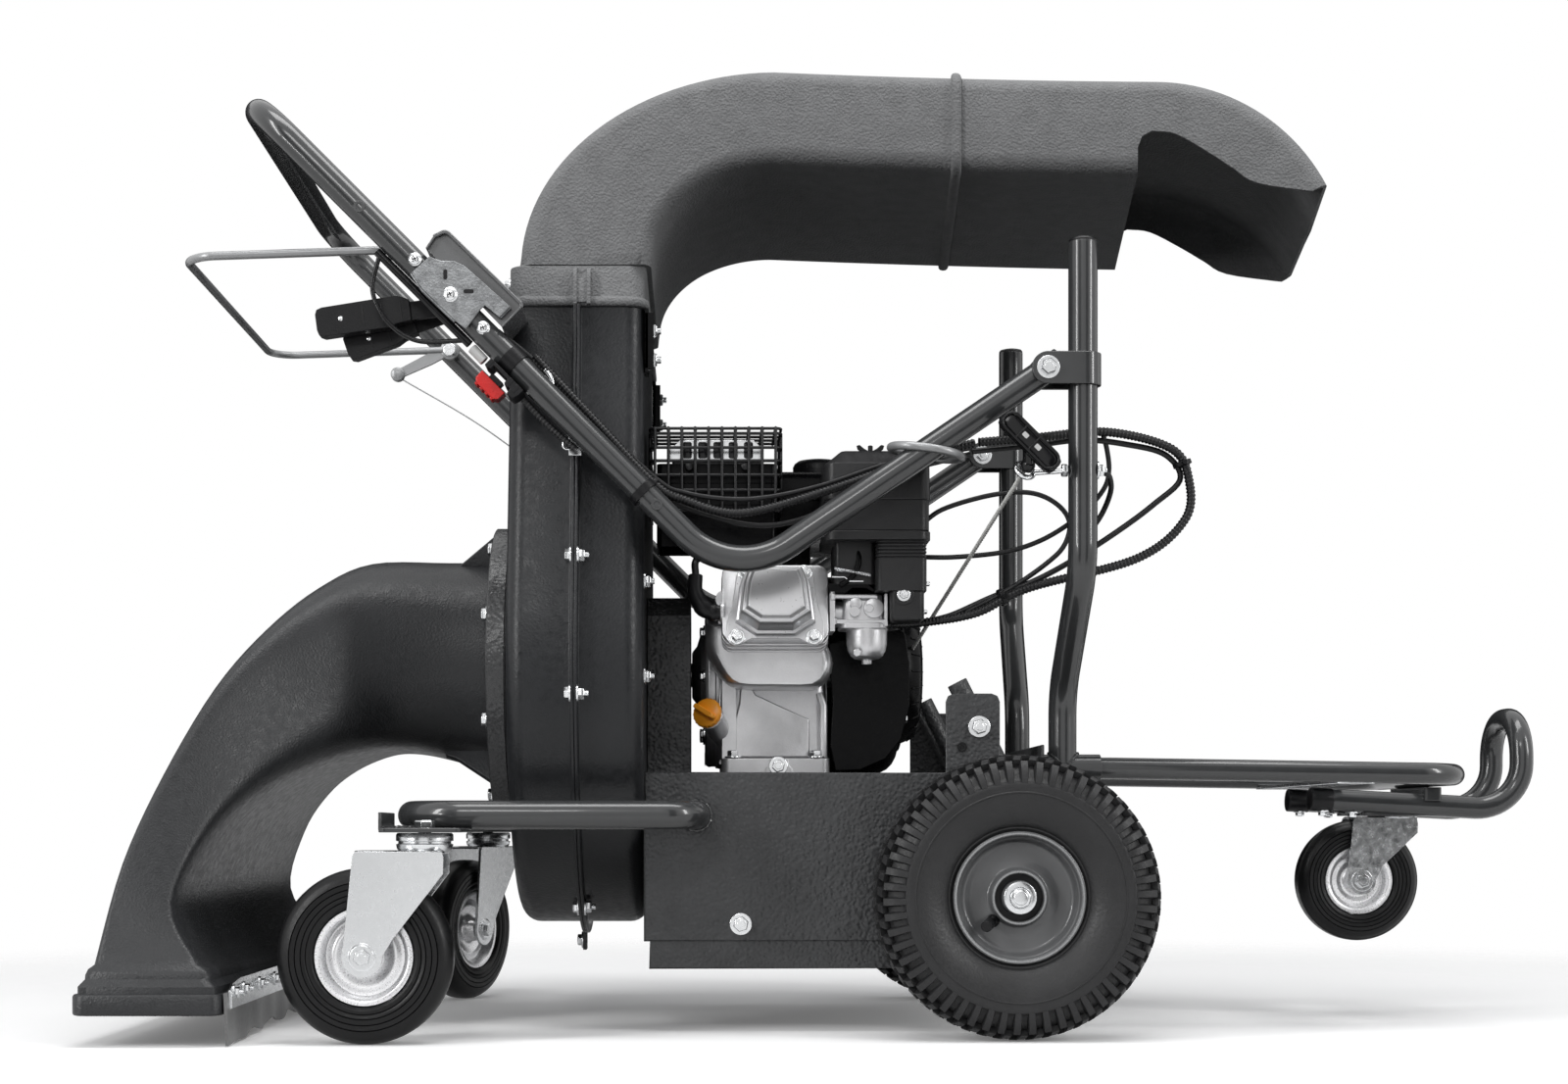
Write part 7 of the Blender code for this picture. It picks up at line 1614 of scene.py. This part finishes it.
Kit().prism([(-0.174, 0.551), (-0.085, 0.551), (-0.085, 0.564), (-0.093, 0.5715), (-0.164, 0.5715),
             (-0.174, 0.562)], "Y", -0.1692, -0.1679).done("muffler_panel", BRIGHT, bevel=0.0004,
        slot="muffler")
# Black pads on the bright panel: painted shade for the openings under the louvres.
kit = Kit()
for i in range(5):
    x = -0.157 + 0.0148 * i
    outline = rounded_rect(x - 0.0044, x + 0.0044, 0.5535, 0.5695, 0.002)
    kit.loft([[(x + (u - x) * k, y, 0.5615 + (v - 0.5615) * k) for u, v in outline]
              for y, k in ((-0.1691, 1.0), (-0.1697, 1.0), (-0.1699, 0.9))])
kit.done("muffler_louvres", GLOSS)

kit = Kit()
x0, x1, y0, y1, z1 = -0.1948, -0.0647, -0.1858, -0.0832, 0.5828
wire = 0.00145
for z, r in ((0.5802, wire), (0.5755, wire), (0.5618, wire), (0.5492, 0.0016), (0.5355, wire), (0.521, wire),
             (0.5014, wire)):
    d = 0.0012 if r > wire else 0.0008
    loop = rounded([(x0 + d + 0.0012, y1, z), (x0 + d + 0.0012, y0 + d + 0.0012, z),
                    (x1 - d - 0.0012, y0 + d + 0.0012, z), (x1 - d - 0.0012, y1, z)], 0.006, 6)
    kit.sweep(loop, r, 10)
for i in range(10):
    x = x0 + 0.0068 + i * 0.0129
    top = z1 - wire
    loop = rounded([(x, y0 + wire, 0.501), (x, y0 + wire, top), (x, y1, top)], 0.003, 5)
    kit.sweep(loop, wire, 10)
    kit.sweep([(x, y0 + 0.0042, top - 0.003), (x, y0 + 0.0042, top)], wire * 1.2, 8)
for y in (-0.165, -0.145, -0.125, -0.105):
    kit.sweep([(x0 + 0.003, y, z1 - 3 * wire), (x1 - 0.003, y, z1 - 3 * wire)], wire, 8)
    for x in (x0 + wire, x1 - wire):
        kit.sweep([(x, y, 0.501), (x, y, z1 - 3 * wire)], wire, 8)
kit.done("cage_wires", DARK_WIRE, node="muffler_cage")


# Dark box round the lower half of the muffler: painted shade for that half, which lies in shadow
kit = Kit()
outline = rounded_rect(-0.1865, -0.0705, -0.1745, -0.095, 0.006)
inner = rounded_rect(-0.185, -0.072, -0.173, -0.0965, 0.0045)
kit.loft([[(x, y, z) for x, y in ring] for ring, z in ((outline, 0.468), (outline, 0.5478), (inner, 0.5478),
        (inner, 0.468))], ring=True)
for z in (0.486, 0.508, 0.529):
    kit.sweep([(-0.184, -0.1747, z), (-0.073, -0.1747, z)], 0.0007, 6)
kit.done("muffler_shade_box", ENAMEL, bevel=0.0005)


# Handle. Places on the near upper tube are given along it (t) and square to it (p).

HANDLE_R = 0.0125
LEVER_X = -0.376
LEVER_Z = 0.69
GRIP = Vector((-0.5655, 0, 0.8767))
DIP = Vector((-0.1139, 0, 0.4252))
PIVOT = Vector((PIVOT_X, 0, PIVOT_Z))
TUBE_ALONG = (DIP - GRIP).normalized()
TUBE_ACROSS = Vector((TUBE_ALONG.z, 0, -TUBE_ALONG.x))
NEAR_Y = -HANDLE_HALF


def tube_point(t, p, y=NEAR_Y):
    """A point beside the near upper tube."""
    place = GRIP + TUBE_ALONG * t + TUBE_ACROSS * p
    return Vector((place.x, y, place.z))


def tube_shape(kit, points, y0, y1):
    """An outline given along and square to the near upper tube, drawn out along Y."""
    return kit.prism([(c.x, c.z) for c in (tube_point(t, p) for t, p in points)], "Y", y0, y1)


kit = Kit()
back = (PIVOT - DIP).normalized()
tail = PIVOT + back * 0.0168
half = Vector((0, HANDLE_HALF, 0))
path = [tail - half, DIP - half, GRIP - half, GRIP + half, DIP + half, tail + half]
kit.sweep(rounded(path, [0.075, 0.055, 0.055, 0.075], 20), HANDLE_R, 44)
for side in (-1, 1):
    for t in (0.148, 0.5185 + 0.02):
        spot = tube_point(t, 0.0)
        kit.turn([(0, 0.0052), (0.0004, 0.0056), (0.0009, 0.0052), (0.0009, 0.003), (0.0003, 0.0026),
                  (0.0003, 0)], (spot.x, side * (HANDLE_HALF + HANDLE_R - 0.0004), spot.z), (0, side, 0), 24)
kit.done("handle_tube", PAINT, "handle", node="handle")

kit = Kit()
bail_x, bail_z = -0.4297, 0.7409
for side in (-1, 1):
    kit.turn([(0.2208, 0), (0.2208, 0.0066), (0.2216, 0.0075), (0.2237, 0.0075), (0.2237, 0.004),
              (0.2293, 0.004), (0.2293, 0.0065), (0.2385, 0.0065), (0.2385, 0)], (bail_x, 0, bail_z),
             (0, side, 0), 26)
kit.done("bail_pins", BRIGHT, "handle", bevel=0.0003)

kit = Kit()
slope = back.z / back.x
ring_x, ring_y = 0.068, -0.2365
ring_z = PIVOT_Z - slope * (PIVOT_X - ring_x)
loop = []
for turn in turns(64):
    away = 0.0335 * cos(turn)
    loop.append((ring_x + away, ring_y + 0.027 * sin(turn), ring_z - 0.15 * away))
kit.sweep(loop, 0.004, 18, ring=True)
kit.done("cable_ring", WIRE, "handle")

# Bail of bent wire
kit = Kit()
half = 0.2265
start_x = bail_x - 0.006
path = [(start_x, -half, bail_z), (-0.632, -half, 0.7343), (-0.632, half, 0.7343), (start_x, half, bail_z)]
kit.sweep(rounded(path, 0.03, 14), 0.004, 24)
for side in (-1, 1):
    kit.turn([(-0.0024, 0.0043), (-0.0024, 0.0102), (-0.0018, 0.0109), (0.0018, 0.0109), (0.0024, 0.0102),
              (0.0024, 0.0043)], (bail_x, side * half, bail_z), (0, 1, 0), 36, ring=True)
tip = Vector((-0.489, 0, 0.713))
root = Vector((bail_x, 0, bail_z))
along = (tip - root).normalized()
square = Vector((along.z, 0, -along.x))
arm = [root + along * 0.01 + square * 0.006, root + along * 0.024 + square * 0.007, tip + square * 0.005,
       tip - square * 0.005, root + along * 0.026 - square * 0.0062, root + along * 0.01 - square * 0.0055]
kit.prism([(p.x, p.z) for p in arm], "Y", half - 0.0018, half + 0.0018)
kit.turn([(-0.0048, 0), (-0.0048, 0.007), (-0.004, 0.0078), (-0.002, 0.0078), (-0.0014, 0.0066),
          (0.0014, 0.0066), (0.002, 0.0078), (0.004, 0.0078), (0.0048, 0.007), (0.0048, 0)],
         (tip.x, half, tip.z), (0, 1, 0), 28)
kit.done("bail_wire", WIRE, "bail", bevel=0.0003, sharp=50, node="bail")

kit = Kit()
kit.sweep(curve([(tip.x + 0.006, half, tip.z - 0.006), (-0.4, half + 0.001, 0.6585),
        (-0.32, half + 0.004, 0.602), (-0.26, half + 0.008, 0.566), (-0.23, half + 0.011, 0.552)], 60),
          0.0008, 8)
kit.sweep([(-0.235, half + 0.0105, 0.555), (-0.218, half + 0.012, 0.544)], 0.0022, 12)
kit.done("bail_pull_wire", WIRE, ("handle", "bail", (-0.385, half, 0.648),
        (tip.x + 0.006, half, tip.z - 0.006)))

# Console on the near tube
plate_y = NEAR_Y - HANDLE_R - 0.0003
kit = Kit()
outline = [(-0.4119, 0.7104), (-0.3955, 0.7255), (-0.385, 0.7215), (-0.3722, 0.7212), (-0.3625, 0.7165),
           (-0.3204, 0.679), (-0.3305, 0.669), (-0.344, 0.68), (-0.3478, 0.6765), (-0.3616, 0.658),
           (-0.3713, 0.6656), (-0.4019, 0.695)]
kit.prism(outline, "Y", plate_y, plate_y - 0.002)
kit.prism([(-0.3204, 0.679), (-0.3305, 0.669), (-0.3297, 0.6682), (-0.3196, 0.6782)], "Y", plate_y,
          plate_y + 0.01)
kit.prism([(-0.4119, 0.7104), (-0.4019, 0.695), (-0.3713, 0.6656), (-0.3727, 0.6644), (-0.4035, 0.694),
           (-0.4134, 0.7094)], "Y", plate_y - 0.0018, plate_y + 0.006)
kit.done("console_sheet", ZINC_GRAIN, "handle", bevel=0.0006, node="console_plate")


def turned_bar(x, z, degrees, long, wide, radius, steps=6):
    """The outline of a rounded bar about a place in X and Z; long and wide are half its sizes."""
    c, n = cos(radians(degrees)), sin(radians(degrees))
    return [(x + u * c - w * n, z + u * n + w * c)
            for u, w in rounded_rect(-long, long, -wide, wide, radius, steps)]


kit = Kit()
for x, z, turn in ((-0.3806, 0.7085, 90), (-0.359, 0.693, 0)):
    kit.prism(turned_bar(x, z, turn, 0.0048, 0.0019, 0.0018), "Y", plate_y - 0.0021, plate_y - 0.0015)
kit.done("console_slots", GLOSS, "handle", slot="black_plastic")


def screw(kit, x, y, z, radius):
    """A pan head facing the near side, over a washer; its cross recess is not cut, only painted on as shade
    by black marks.
    """
    kit.turn([(0, radius * 1.02), (0.0006, radius * 1.02), (0.0008, radius * 0.84), (0.0022, radius * 0.78),
              (0.0032, radius * 0.56), (0.0034, radius * 0.3), (0.0034, 0)], (x, y, z), (0, -1, 0), 28)


# Each screw's place and the radius of its head
upper = tube_point(0.2194, -0.002)
lower = tube_point(0.3088, -0.002)
SCREWS = ((LEVER_X, plate_y - 0.0021, LEVER_Z, 0.007), (upper.x, plate_y - 0.0003, upper.z, 0.0062),
          (lower.x, plate_y + 0.0012, lower.z, 0.0062))
kit = Kit()
screw(kit, *SCREWS[0])
kit.turn([(-0.0045, 0.004), (0.0735, 0.004)], (LEVER_X, plate_y, LEVER_Z), (0, 1, 0), 20)
kit.hexa((LEVER_X, NEAR_Y + 0.0568, LEVER_Z), (0, 1, 0), 0.012, 0.0055)
for place in SCREWS[1:]:
    screw(kit, *place)
kit.done("console_screws", BRIGHT, "handle", bevel=0.0002, sharp=30)
# Black crosses on the screw heads: painted shade for their cross recesses.
kit = Kit()
for x, y, z, radius in SCREWS:
    for turn in (25, 115):
        kit.prism(turned_bar(x, z, turn, 0.0026, 0.0005, 0.0004, 2), "Y", y - 0.00355, y - 0.0031)
kit.done("console_recess_shade", GLOSS, "handle", slot="zinc")

kit = Kit()
shell_line = [tube_point(t, p) for t, p in ((0.2185, -0.0165), (0.2157, -0.03), (0.22, -0.042),
        (0.3208, -0.0434), (0.321, -0.015))]
outer = rounded(shell_line, [0.006, 0.006, 0.004], 6)
inner_line = [tube_point(t, p) for t, p in ((0.2203, -0.0168), (0.2176, -0.0298), (0.2215, -0.0401),
        (0.319, -0.0415), (0.3192, -0.015))]
inner = rounded(inner_line, [0.005, 0.005, 0.003], 6)
kit.prism([(c.x, c.z) for c in outer + inner[::-1]], "Y", plate_y + 0.0004, -0.1762)
tube_shape(kit, [(0.22, -0.017), (0.2175, -0.0298), (0.2215, -0.0408), (0.3195, -0.042), (0.3195, -0.0152)],
           plate_y + 0.005, plate_y + 0.0066)
kit.sweep([p + Vector((0, plate_y + 0.0012 - p.y, 0)) for p in outer[3:-2]], 0.0012, 8)
kit.done("console_cover_shell", COVER, "handle", bevel=0.0005, sharp=40, node="console_cover")

kit = Kit()
lie = HANDLE_R + 0.0043
kit.sweep([tube_point(0.186, lie), tube_point(0.308, lie)], 0.004, 20)
hoop = [tube_point(0.19, lie + 0.001), tube_point(0.208, 0.045), tube_point(0.238, 0.056),
        tube_point(0.271, 0.049), tube_point(0.302, lie + 0.001)]
kit.sweep(curve(hoop, 40), 0.0022, 14)
kit.done("guard_hoop", GLOSS, "handle", node="lever_guard")

# Switch with its clip, and the red button
kit = Kit()
tube_shape(kit, [(0.3345, 0.0128), (0.3765, 0.0128), (0.3765, 0.0195), (0.3745, 0.0255), (0.3675, 0.0258),
        (0.3668, 0.0205), (0.359, 0.0205), (0.359, 0.016), (0.341, 0.016), (0.341, 0.0205), (0.3345, 0.0205)],
           -0.2655, -0.2345)
for t in (0.3345, 0.36, 0.368):
    tube_shape(kit, [(t, 0.0128), (t + 0.0045, 0.0128), (t + 0.0045, 0.0215), (t, 0.0215)], -0.2659, -0.2341)
kit.sweep([tube_point(0.34, 0.0), tube_point(0.355, 0.0)], HANDLE_R + 0.0013, 36, wall=0.001)
kit.done("switch_case", BLACK, "handle", bevel=0.0008, node="switch_body")
Kit().sweep([tube_point(0.312, HANDLE_R + 0.0052), tube_point(0.329, HANDLE_R + 0.0056)], 0.0048,
            20).done("switch_lead_plug", PALE, "handle", bevel=0.0006)
kit = Kit()
tube_shape(kit, [(0.335, 0.0262), (0.365, 0.0262), (0.3646, 0.0352), (0.361, 0.0382), (0.339, 0.0382),
        (0.3354, 0.0352)], NEAR_Y - 0.0088, NEAR_Y + 0.0088)
for t in (0.338, 0.3445, 0.351, 0.3575):
    tube_shape(kit, [(t, 0.0376), (t + 0.0036, 0.0376), (t + 0.0034, 0.0398), (t + 0.0002, 0.0398)],
               NEAR_Y - 0.0082, NEAR_Y + 0.0082)
kit.done("stop_button_cap", RED, "stop_button", bevel=0.0008, segments=3, node="stop_button")
kit = Kit()
tube_shape(kit, [(0.343, 0.0208), (0.357, 0.0208), (0.357, 0.0264), (0.343, 0.0264)], NEAR_Y - 0.0055,
           NEAR_Y + 0.0055)
kit.done("stop_button_stem", BLACK, "stop_button", bevel=0.0004, slot="red")


# Levers

def lever(name, place_y, angle, length):
    """A flat arm in a moulded grip with its rivet."""
    along = Vector((-cos(angle), 0, -sin(angle)))
    square = Vector((along.z, 0, -along.x))
    pivot = Vector((LEVER_X, 0, LEVER_Z))
    end = 0.042 + length

    def strip(kit, points, thick):
        spots = [pivot + along * u + square * v for u, v in points]
        return kit.prism([(p.x, p.z) for p in spots], "Y", place_y - thick / 2, place_y + thick / 2)

    kit = Kit()
    strip(kit, [(0.006, -0.0088), (0.06, -0.0088), (0.06, 0.0088), (0.006, 0.0088)], 0.004)
    kit.turn([(-0.0079, 0.0044), (-0.0079, 0.01), (-0.0072, 0.0108), (0.0072, 0.0108), (0.0079, 0.01),
              (0.0079, 0.0044)], (LEVER_X, place_y, LEVER_Z), (0, 1, 0), 36, ring=True)
    grip = [(0.0422, -0.0098), (0.056, -0.0112), (0.064, -0.0138), (end - 0.006, -0.0148),
            (end - 0.0015, -0.0125), (end - 0.0002, -0.008), (end - 0.0002, 0.007), (end - 0.002, 0.0112),
            (end - 0.007, 0.0128), (0.064, 0.0146), (0.0545, 0.0148), (0.047, 0.0125), (0.0422, 0.0096)]
    strip(kit, grip, 0.0156)
    for u in (0.05, 0.068, 0.086):
        if u < end - 0.02:
            strip(kit, [(u, -0.01), (u + 0.0015, -0.01), (u + 0.0015, 0.01), (u, 0.01)], 0.0159)
    kit.done(name + "_grip", BLACK, name, bevel=0.0022, segments=3, node=name)
    spot = pivot + along * (end - 0.024)
    Kit().turn([(0, 0.0024), (0.0004, 0.0022), (0.0008, 0.0012), (0.0008, 0)],
               (spot.x, place_y - 0.0079, spot.z), (0, -1, 0), 18).done(name + "_rivet", BRIGHT, name,
            slot="black_plastic")


lever("throttle_lever", -0.2205, radians(7.5), 0.09)
lever("choke_lever", -0.202, radians(19), 0.07)


# Cables

def sleeve(kit, path, radius, pitch=0.0036, seg=16):
    """A corrugated sleeve along a path."""
    path = [Vector(p) for p in path]
    points = [path[0]]
    radii = [radius]
    travelled = 0.0
    for a, b in zip(path, path[1:]):
        span = (b - a).length
        count = max(2, int(round(span / (pitch / 4))))
        for i in range(1, count + 1):
            points.append(a.lerp(b, i / count))
            phase = (travelled + span * i / count) / pitch
            radii.append(radius * (1 - 0.2 * (0.5 - 0.5 * cos(2 * pi * phase))))
        travelled += span
    return kit.sweep(points, radii, seg)


def cable(name, points, radius, body="chassis", count=60, ribbed=False, node=""):
    """A cable or a corrugated sleeve along a smooth curve."""
    kit = Kit()
    path = curve(points, count)
    if ribbed:
        sleeve(kit, path, radius)
    else:
        kit.sweep(path, radius, 14)
    return kit.done(name, CABLE, body, sharp=60, node=node)


HANDLE_CABLE = ((-0.3, -0.233, 0.639), (-0.245, -0.236, 0.58), (-0.1881, -0.2398, 0.5192),
                (-0.16, -0.233, 0.5045), (-0.105, -0.227, 0.493), (-0.019, -0.226, 0.516),
                (0.068, -0.224, 0.548), (0.115, -0.223, 0.5595))
CHASSIS_CABLE = ((0.119, -0.2225, 0.5603), (0.175, -0.216, 0.566), (0.243, -0.205, 0.573),
                 (0.305, -0.2, 0.558), (0.322, -0.2, 0.528), (0.318, -0.2, 0.49), (0.272, -0.2, 0.453),
                 (0.169, -0.2, 0.425), (0.12, -0.192, 0.402), (0.07, -0.172, 0.3945), (0.045, -0.165, 0.3935),
                 (0.0374, -0.165, 0.3935))
cable("handle_sleeve", HANDLE_CABLE, 0.0045, "handle", 90, ribbed=True, node="handle_cable")
# Near the ring these run between the chassis and the handle
FOLDING = ("chassis", "handle", (0.25, 0, 0.573), (0.209, 0, 0.6247))
cable("chassis_sleeve", CHASSIS_CABLE, 0.0045, FOLDING, 120, ribbed=True, node="chassis_cable")
cable("switch_sleeve", [tube_point(0.38, 0.0175), tube_point(0.4, 0.0182), tube_point(0.42, 0.0178),
        tube_point(0.448, 0.016)], 0.0034, "handle", 30, ribbed=True)
cable("handle_cable_light", ((-0.335, -0.228, 0.664), (-0.3, -0.224, 0.636), (-0.245, -0.226, 0.582),
        (-0.185, -0.229, 0.524), (-0.158, -0.226, 0.512), (-0.118, -0.224, 0.5065), (-0.08, -0.223, 0.5085),
        (-0.03, -0.219, 0.52), (0.04, -0.217, 0.543), (0.112, -0.216, 0.556)), 0.0024, "handle", 70)
cable("handle_cable_low", ((-0.335, -0.222, 0.66), (-0.3, -0.219, 0.632), (-0.245, -0.221, 0.577),
        (-0.185, -0.224, 0.514), (-0.15, -0.22, 0.4955), (-0.1, -0.216, 0.4835), (-0.06, -0.215, 0.4855),
        (-0.015, -0.213, 0.503), (0.045, -0.211, 0.533), (0.112, -0.211, 0.551)), 0.0026, "handle", 70)
cable("cable_upper", ((0.1135, -0.214, 0.553), (0.14, -0.212, 0.556), (0.175, -0.208, 0.56),
        (0.22, -0.202, 0.566), (0.262, -0.198, 0.5625), (0.3, -0.196, 0.553), (0.315, -0.194, 0.53),
        (0.29, -0.193, 0.506), (0.258, -0.192, 0.482), (0.215, -0.191, 0.454), (0.176, -0.19, 0.433),
        (0.136, -0.184, 0.418), (0.1, -0.18, 0.402), (0.078, -0.175, 0.396)), 0.0028, FOLDING, 90)
cable("cable_loop_high", ((0.071, -0.156, 0.492), (0.092, -0.16, 0.506), (0.131, -0.168, 0.517),
        (0.163, -0.176, 0.52), (0.185, -0.184, 0.515), (0.203, -0.188, 0.502), (0.21, -0.189, 0.486),
        (0.204, -0.19, 0.466), (0.188, -0.19, 0.45), (0.16, -0.189, 0.43), (0.136, -0.187, 0.416),
        (0.112, -0.183, 0.404)), 0.0024, count=80)
cable("cable_loop_low", ((0.071, -0.145, 0.461), (0.105, -0.15, 0.4605), (0.15, -0.16, 0.464),
        (0.18, -0.17, 0.472), (0.205, -0.18, 0.485), (0.228, -0.184, 0.503), (0.244, -0.186, 0.523),
        (0.248, -0.187, 0.54), (0.245, -0.194, 0.557), (0.24, -0.202, 0.57)), 0.0024, count=60)
cable("cable_to_guide", ((0.233, -0.25, 0.527), (0.2385, -0.244, 0.524), (0.242, -0.23, 0.513),
        (0.238, -0.21, 0.496), (0.228, -0.198, 0.48), (0.212, -0.1935, 0.464)), 0.0026, count=40)


def tie(name, place, along, radius):
    """A strap round a bundle, with its head."""
    kit = Kit()
    along, side = frame_of(along)[:2]
    place = Vector(place)
    kit.turn([(-0.0022, radius - 0.0014), (-0.0022, radius), (0.0022, radius), (0.0022, radius - 0.0014)],
             place, along, 28, ring=True)
    kit.sweep([place + side * (radius - 0.001), place + side * (radius + 0.005)], 0.0024, 8)
    return kit.done(name, BLACK, bevel=0.0003, slot="cable")


tie("tie_rear", (0.316, -0.1975, 0.544), (0.35, 0, -1), 0.009)
tie("tie_lower", (0.144, -0.1955, 0.4165), (1, 0.15, 0.42), 0.0085)
kit = Kit()
strap = 0.5195
kit.sweep([tube_point(strap - 0.004, 0), tube_point(strap + 0.004, 0)], HANDLE_R + 0.002, 40, wall=0.0017)
spot = tube_point(strap, 0)
kit.sweep([spot + Vector((0.0085, 0.006, 0.0085)), spot + Vector((0.0125, 0.01, 0.0125))], 0.0034, 8)
kit.done("handle_strap", BLACK, "handle", bevel=0.0003, slot="cable")

# Hook at the lower end of the switch lead
Kit().sweep(curve([(-0.296, -0.233, 0.636), (-0.29, -0.235, 0.627), (-0.284, -0.237, 0.618),
        (-0.283, -0.237, 0.608)], 16), 0.0022, 10).done("lead_hook", BRIGHT, "handle")

# Starter: eye, rope and grip
EYE = Vector((0.158, -0.25, 0.5294))
ROPE_START = Vector((0.0709, -0.0635, 0.3781))
GRIP_BAR = Vector((0.16, -0.27, 0.5526))
along = (EYE - ROPE_START).normalized()
side = along.cross(Vector((0, 0, 1))).normalized()
up = side.cross(along)
skin = UPRIGHT_X - TUBE_R - 0.0003
kit = Kit()
ring = [EYE + (side * cos(t) + up * sin(t)) * 0.009 for t in turns(40)]
kit.sweep(ring, 0.0025, 14, ring=True)
across = (Vector((1, 0, 0)) - along * along.x).normalized()
kit.sweep([EYE + across * 0.009, (skin, EYE.y, EYE.z)], 0.0025, 14)
kit.hexa((skin - 0.006, EYE.y, EYE.z), (1, 0, 0), 0.011, 0.0056)
kit.done("guide_eye", BRIGHT, bevel=0.0002, node="rope_guide")
Kit().bolt((UPRIGHT_X + TUBE_R - 0.0002, EYE.y, EYE.z), (1, 0, 0), 0.01, 0.005, stud=0.003).done("guide_nut",
        BRIGHT, bevel=0.0002)

kit = Kit()
start, end = ROPE_START, EYE + along * 0.002
for phase in (0, 1, 2):
    strand = []
    for i in range(421):
        turn = i * 0.42 + phase * 2 * pi / 3
        strand.append(start.lerp(end, i / 420) + (side * cos(turn) + up * sin(turn)) * 0.00095)
    kit.sweep(strand, 0.00122, 7)
kit.done("rope_strands", ROPE, node="starter_rope")

kit = Kit()
lean = Vector((cos(pi / 4), 0, -sin(pi / 4)))
thin = Vector((sin(pi / 4), 0, cos(pi / 4)))
loops = []
for u, k in ((-0.0348, 0.42), (-0.0335, 0.74), (-0.03, 0.92), (-0.024, 1.0), (-0.01, 0.97), (0.0, 0.95),
             (0.01, 0.97), (0.024, 1.0), (0.03, 0.92), (0.0335, 0.74), (0.0348, 0.42)):
    loop = []
    for y, w in rounded_rect(-0.0088 * k, 0.0092 * k, -0.0098 * k, 0.0098 * k, 0.0062 * k, 5):
        loop.append(GRIP_BAR + lean * u + thin * w + Vector((0, y, 0)))
    loops.append(loop)
kit.loft(loops)
lip = rounded_rect(-0.0325, 0.0325, -0.0084, 0.0084, 0.008, 8)
kit.sweep([GRIP_BAR + lean * a + thin * b + Vector((0, -0.009, 0)) for a, b in lip], 0.0013, 10, ring=True)
for u in (-0.012, 0.004):
    kit.sweep([GRIP_BAR + lean * u + thin * w + Vector((0, -0.009, 0)) for w in (-0.0082, 0.0082)], 0.001, 8)
seat = EYE + along * 0.0028
kit.sweep([seat, seat + along * 0.0015, seat + along * 0.006, seat + along * 0.009],
          [0.0062, 0.0071, 0.0068, 0.0052], 24)
kit.sweep([seat + along * 0.005, seat.lerp(GRIP_BAR, 0.6), GRIP_BAR], [0.0052, 0.005, 0.0072], 20)
kit.done("grip_bar", GLOSS, "starter_handle", bevel=0.0004, sharp=50, node="starter_handle",
         slot="black_plastic")

# Rope from inside the eye out to the grip
inner = EYE + along * 0.001
outer = seat + along * 0.006
Kit().sweep([inner.lerp(outer, i / 60) for i in range(61)], 0.0017, 12).done("rope_pull", ROPE,
        ("chassis", "starter_handle", inner, outer))
kit = Kit()
for u in (-0.007, 0.009):
    spot = GRIP_BAR + lean * u
    outline = rounded_rect(-0.003, 0.003, -0.0022, 0.0022, 0.001, 3)
    kit.loft([[spot + lean * a + thin * b + Vector((0, y, 0)) for a, b in outline]
              for y in (-0.0093, -0.0088)])
kit.done("grip_slots", PALE, "starter_handle")

# Inside, not seen in the photograph
dress("impeller", SHEET)
dress("crankshaft_flywheel", ALLOY)
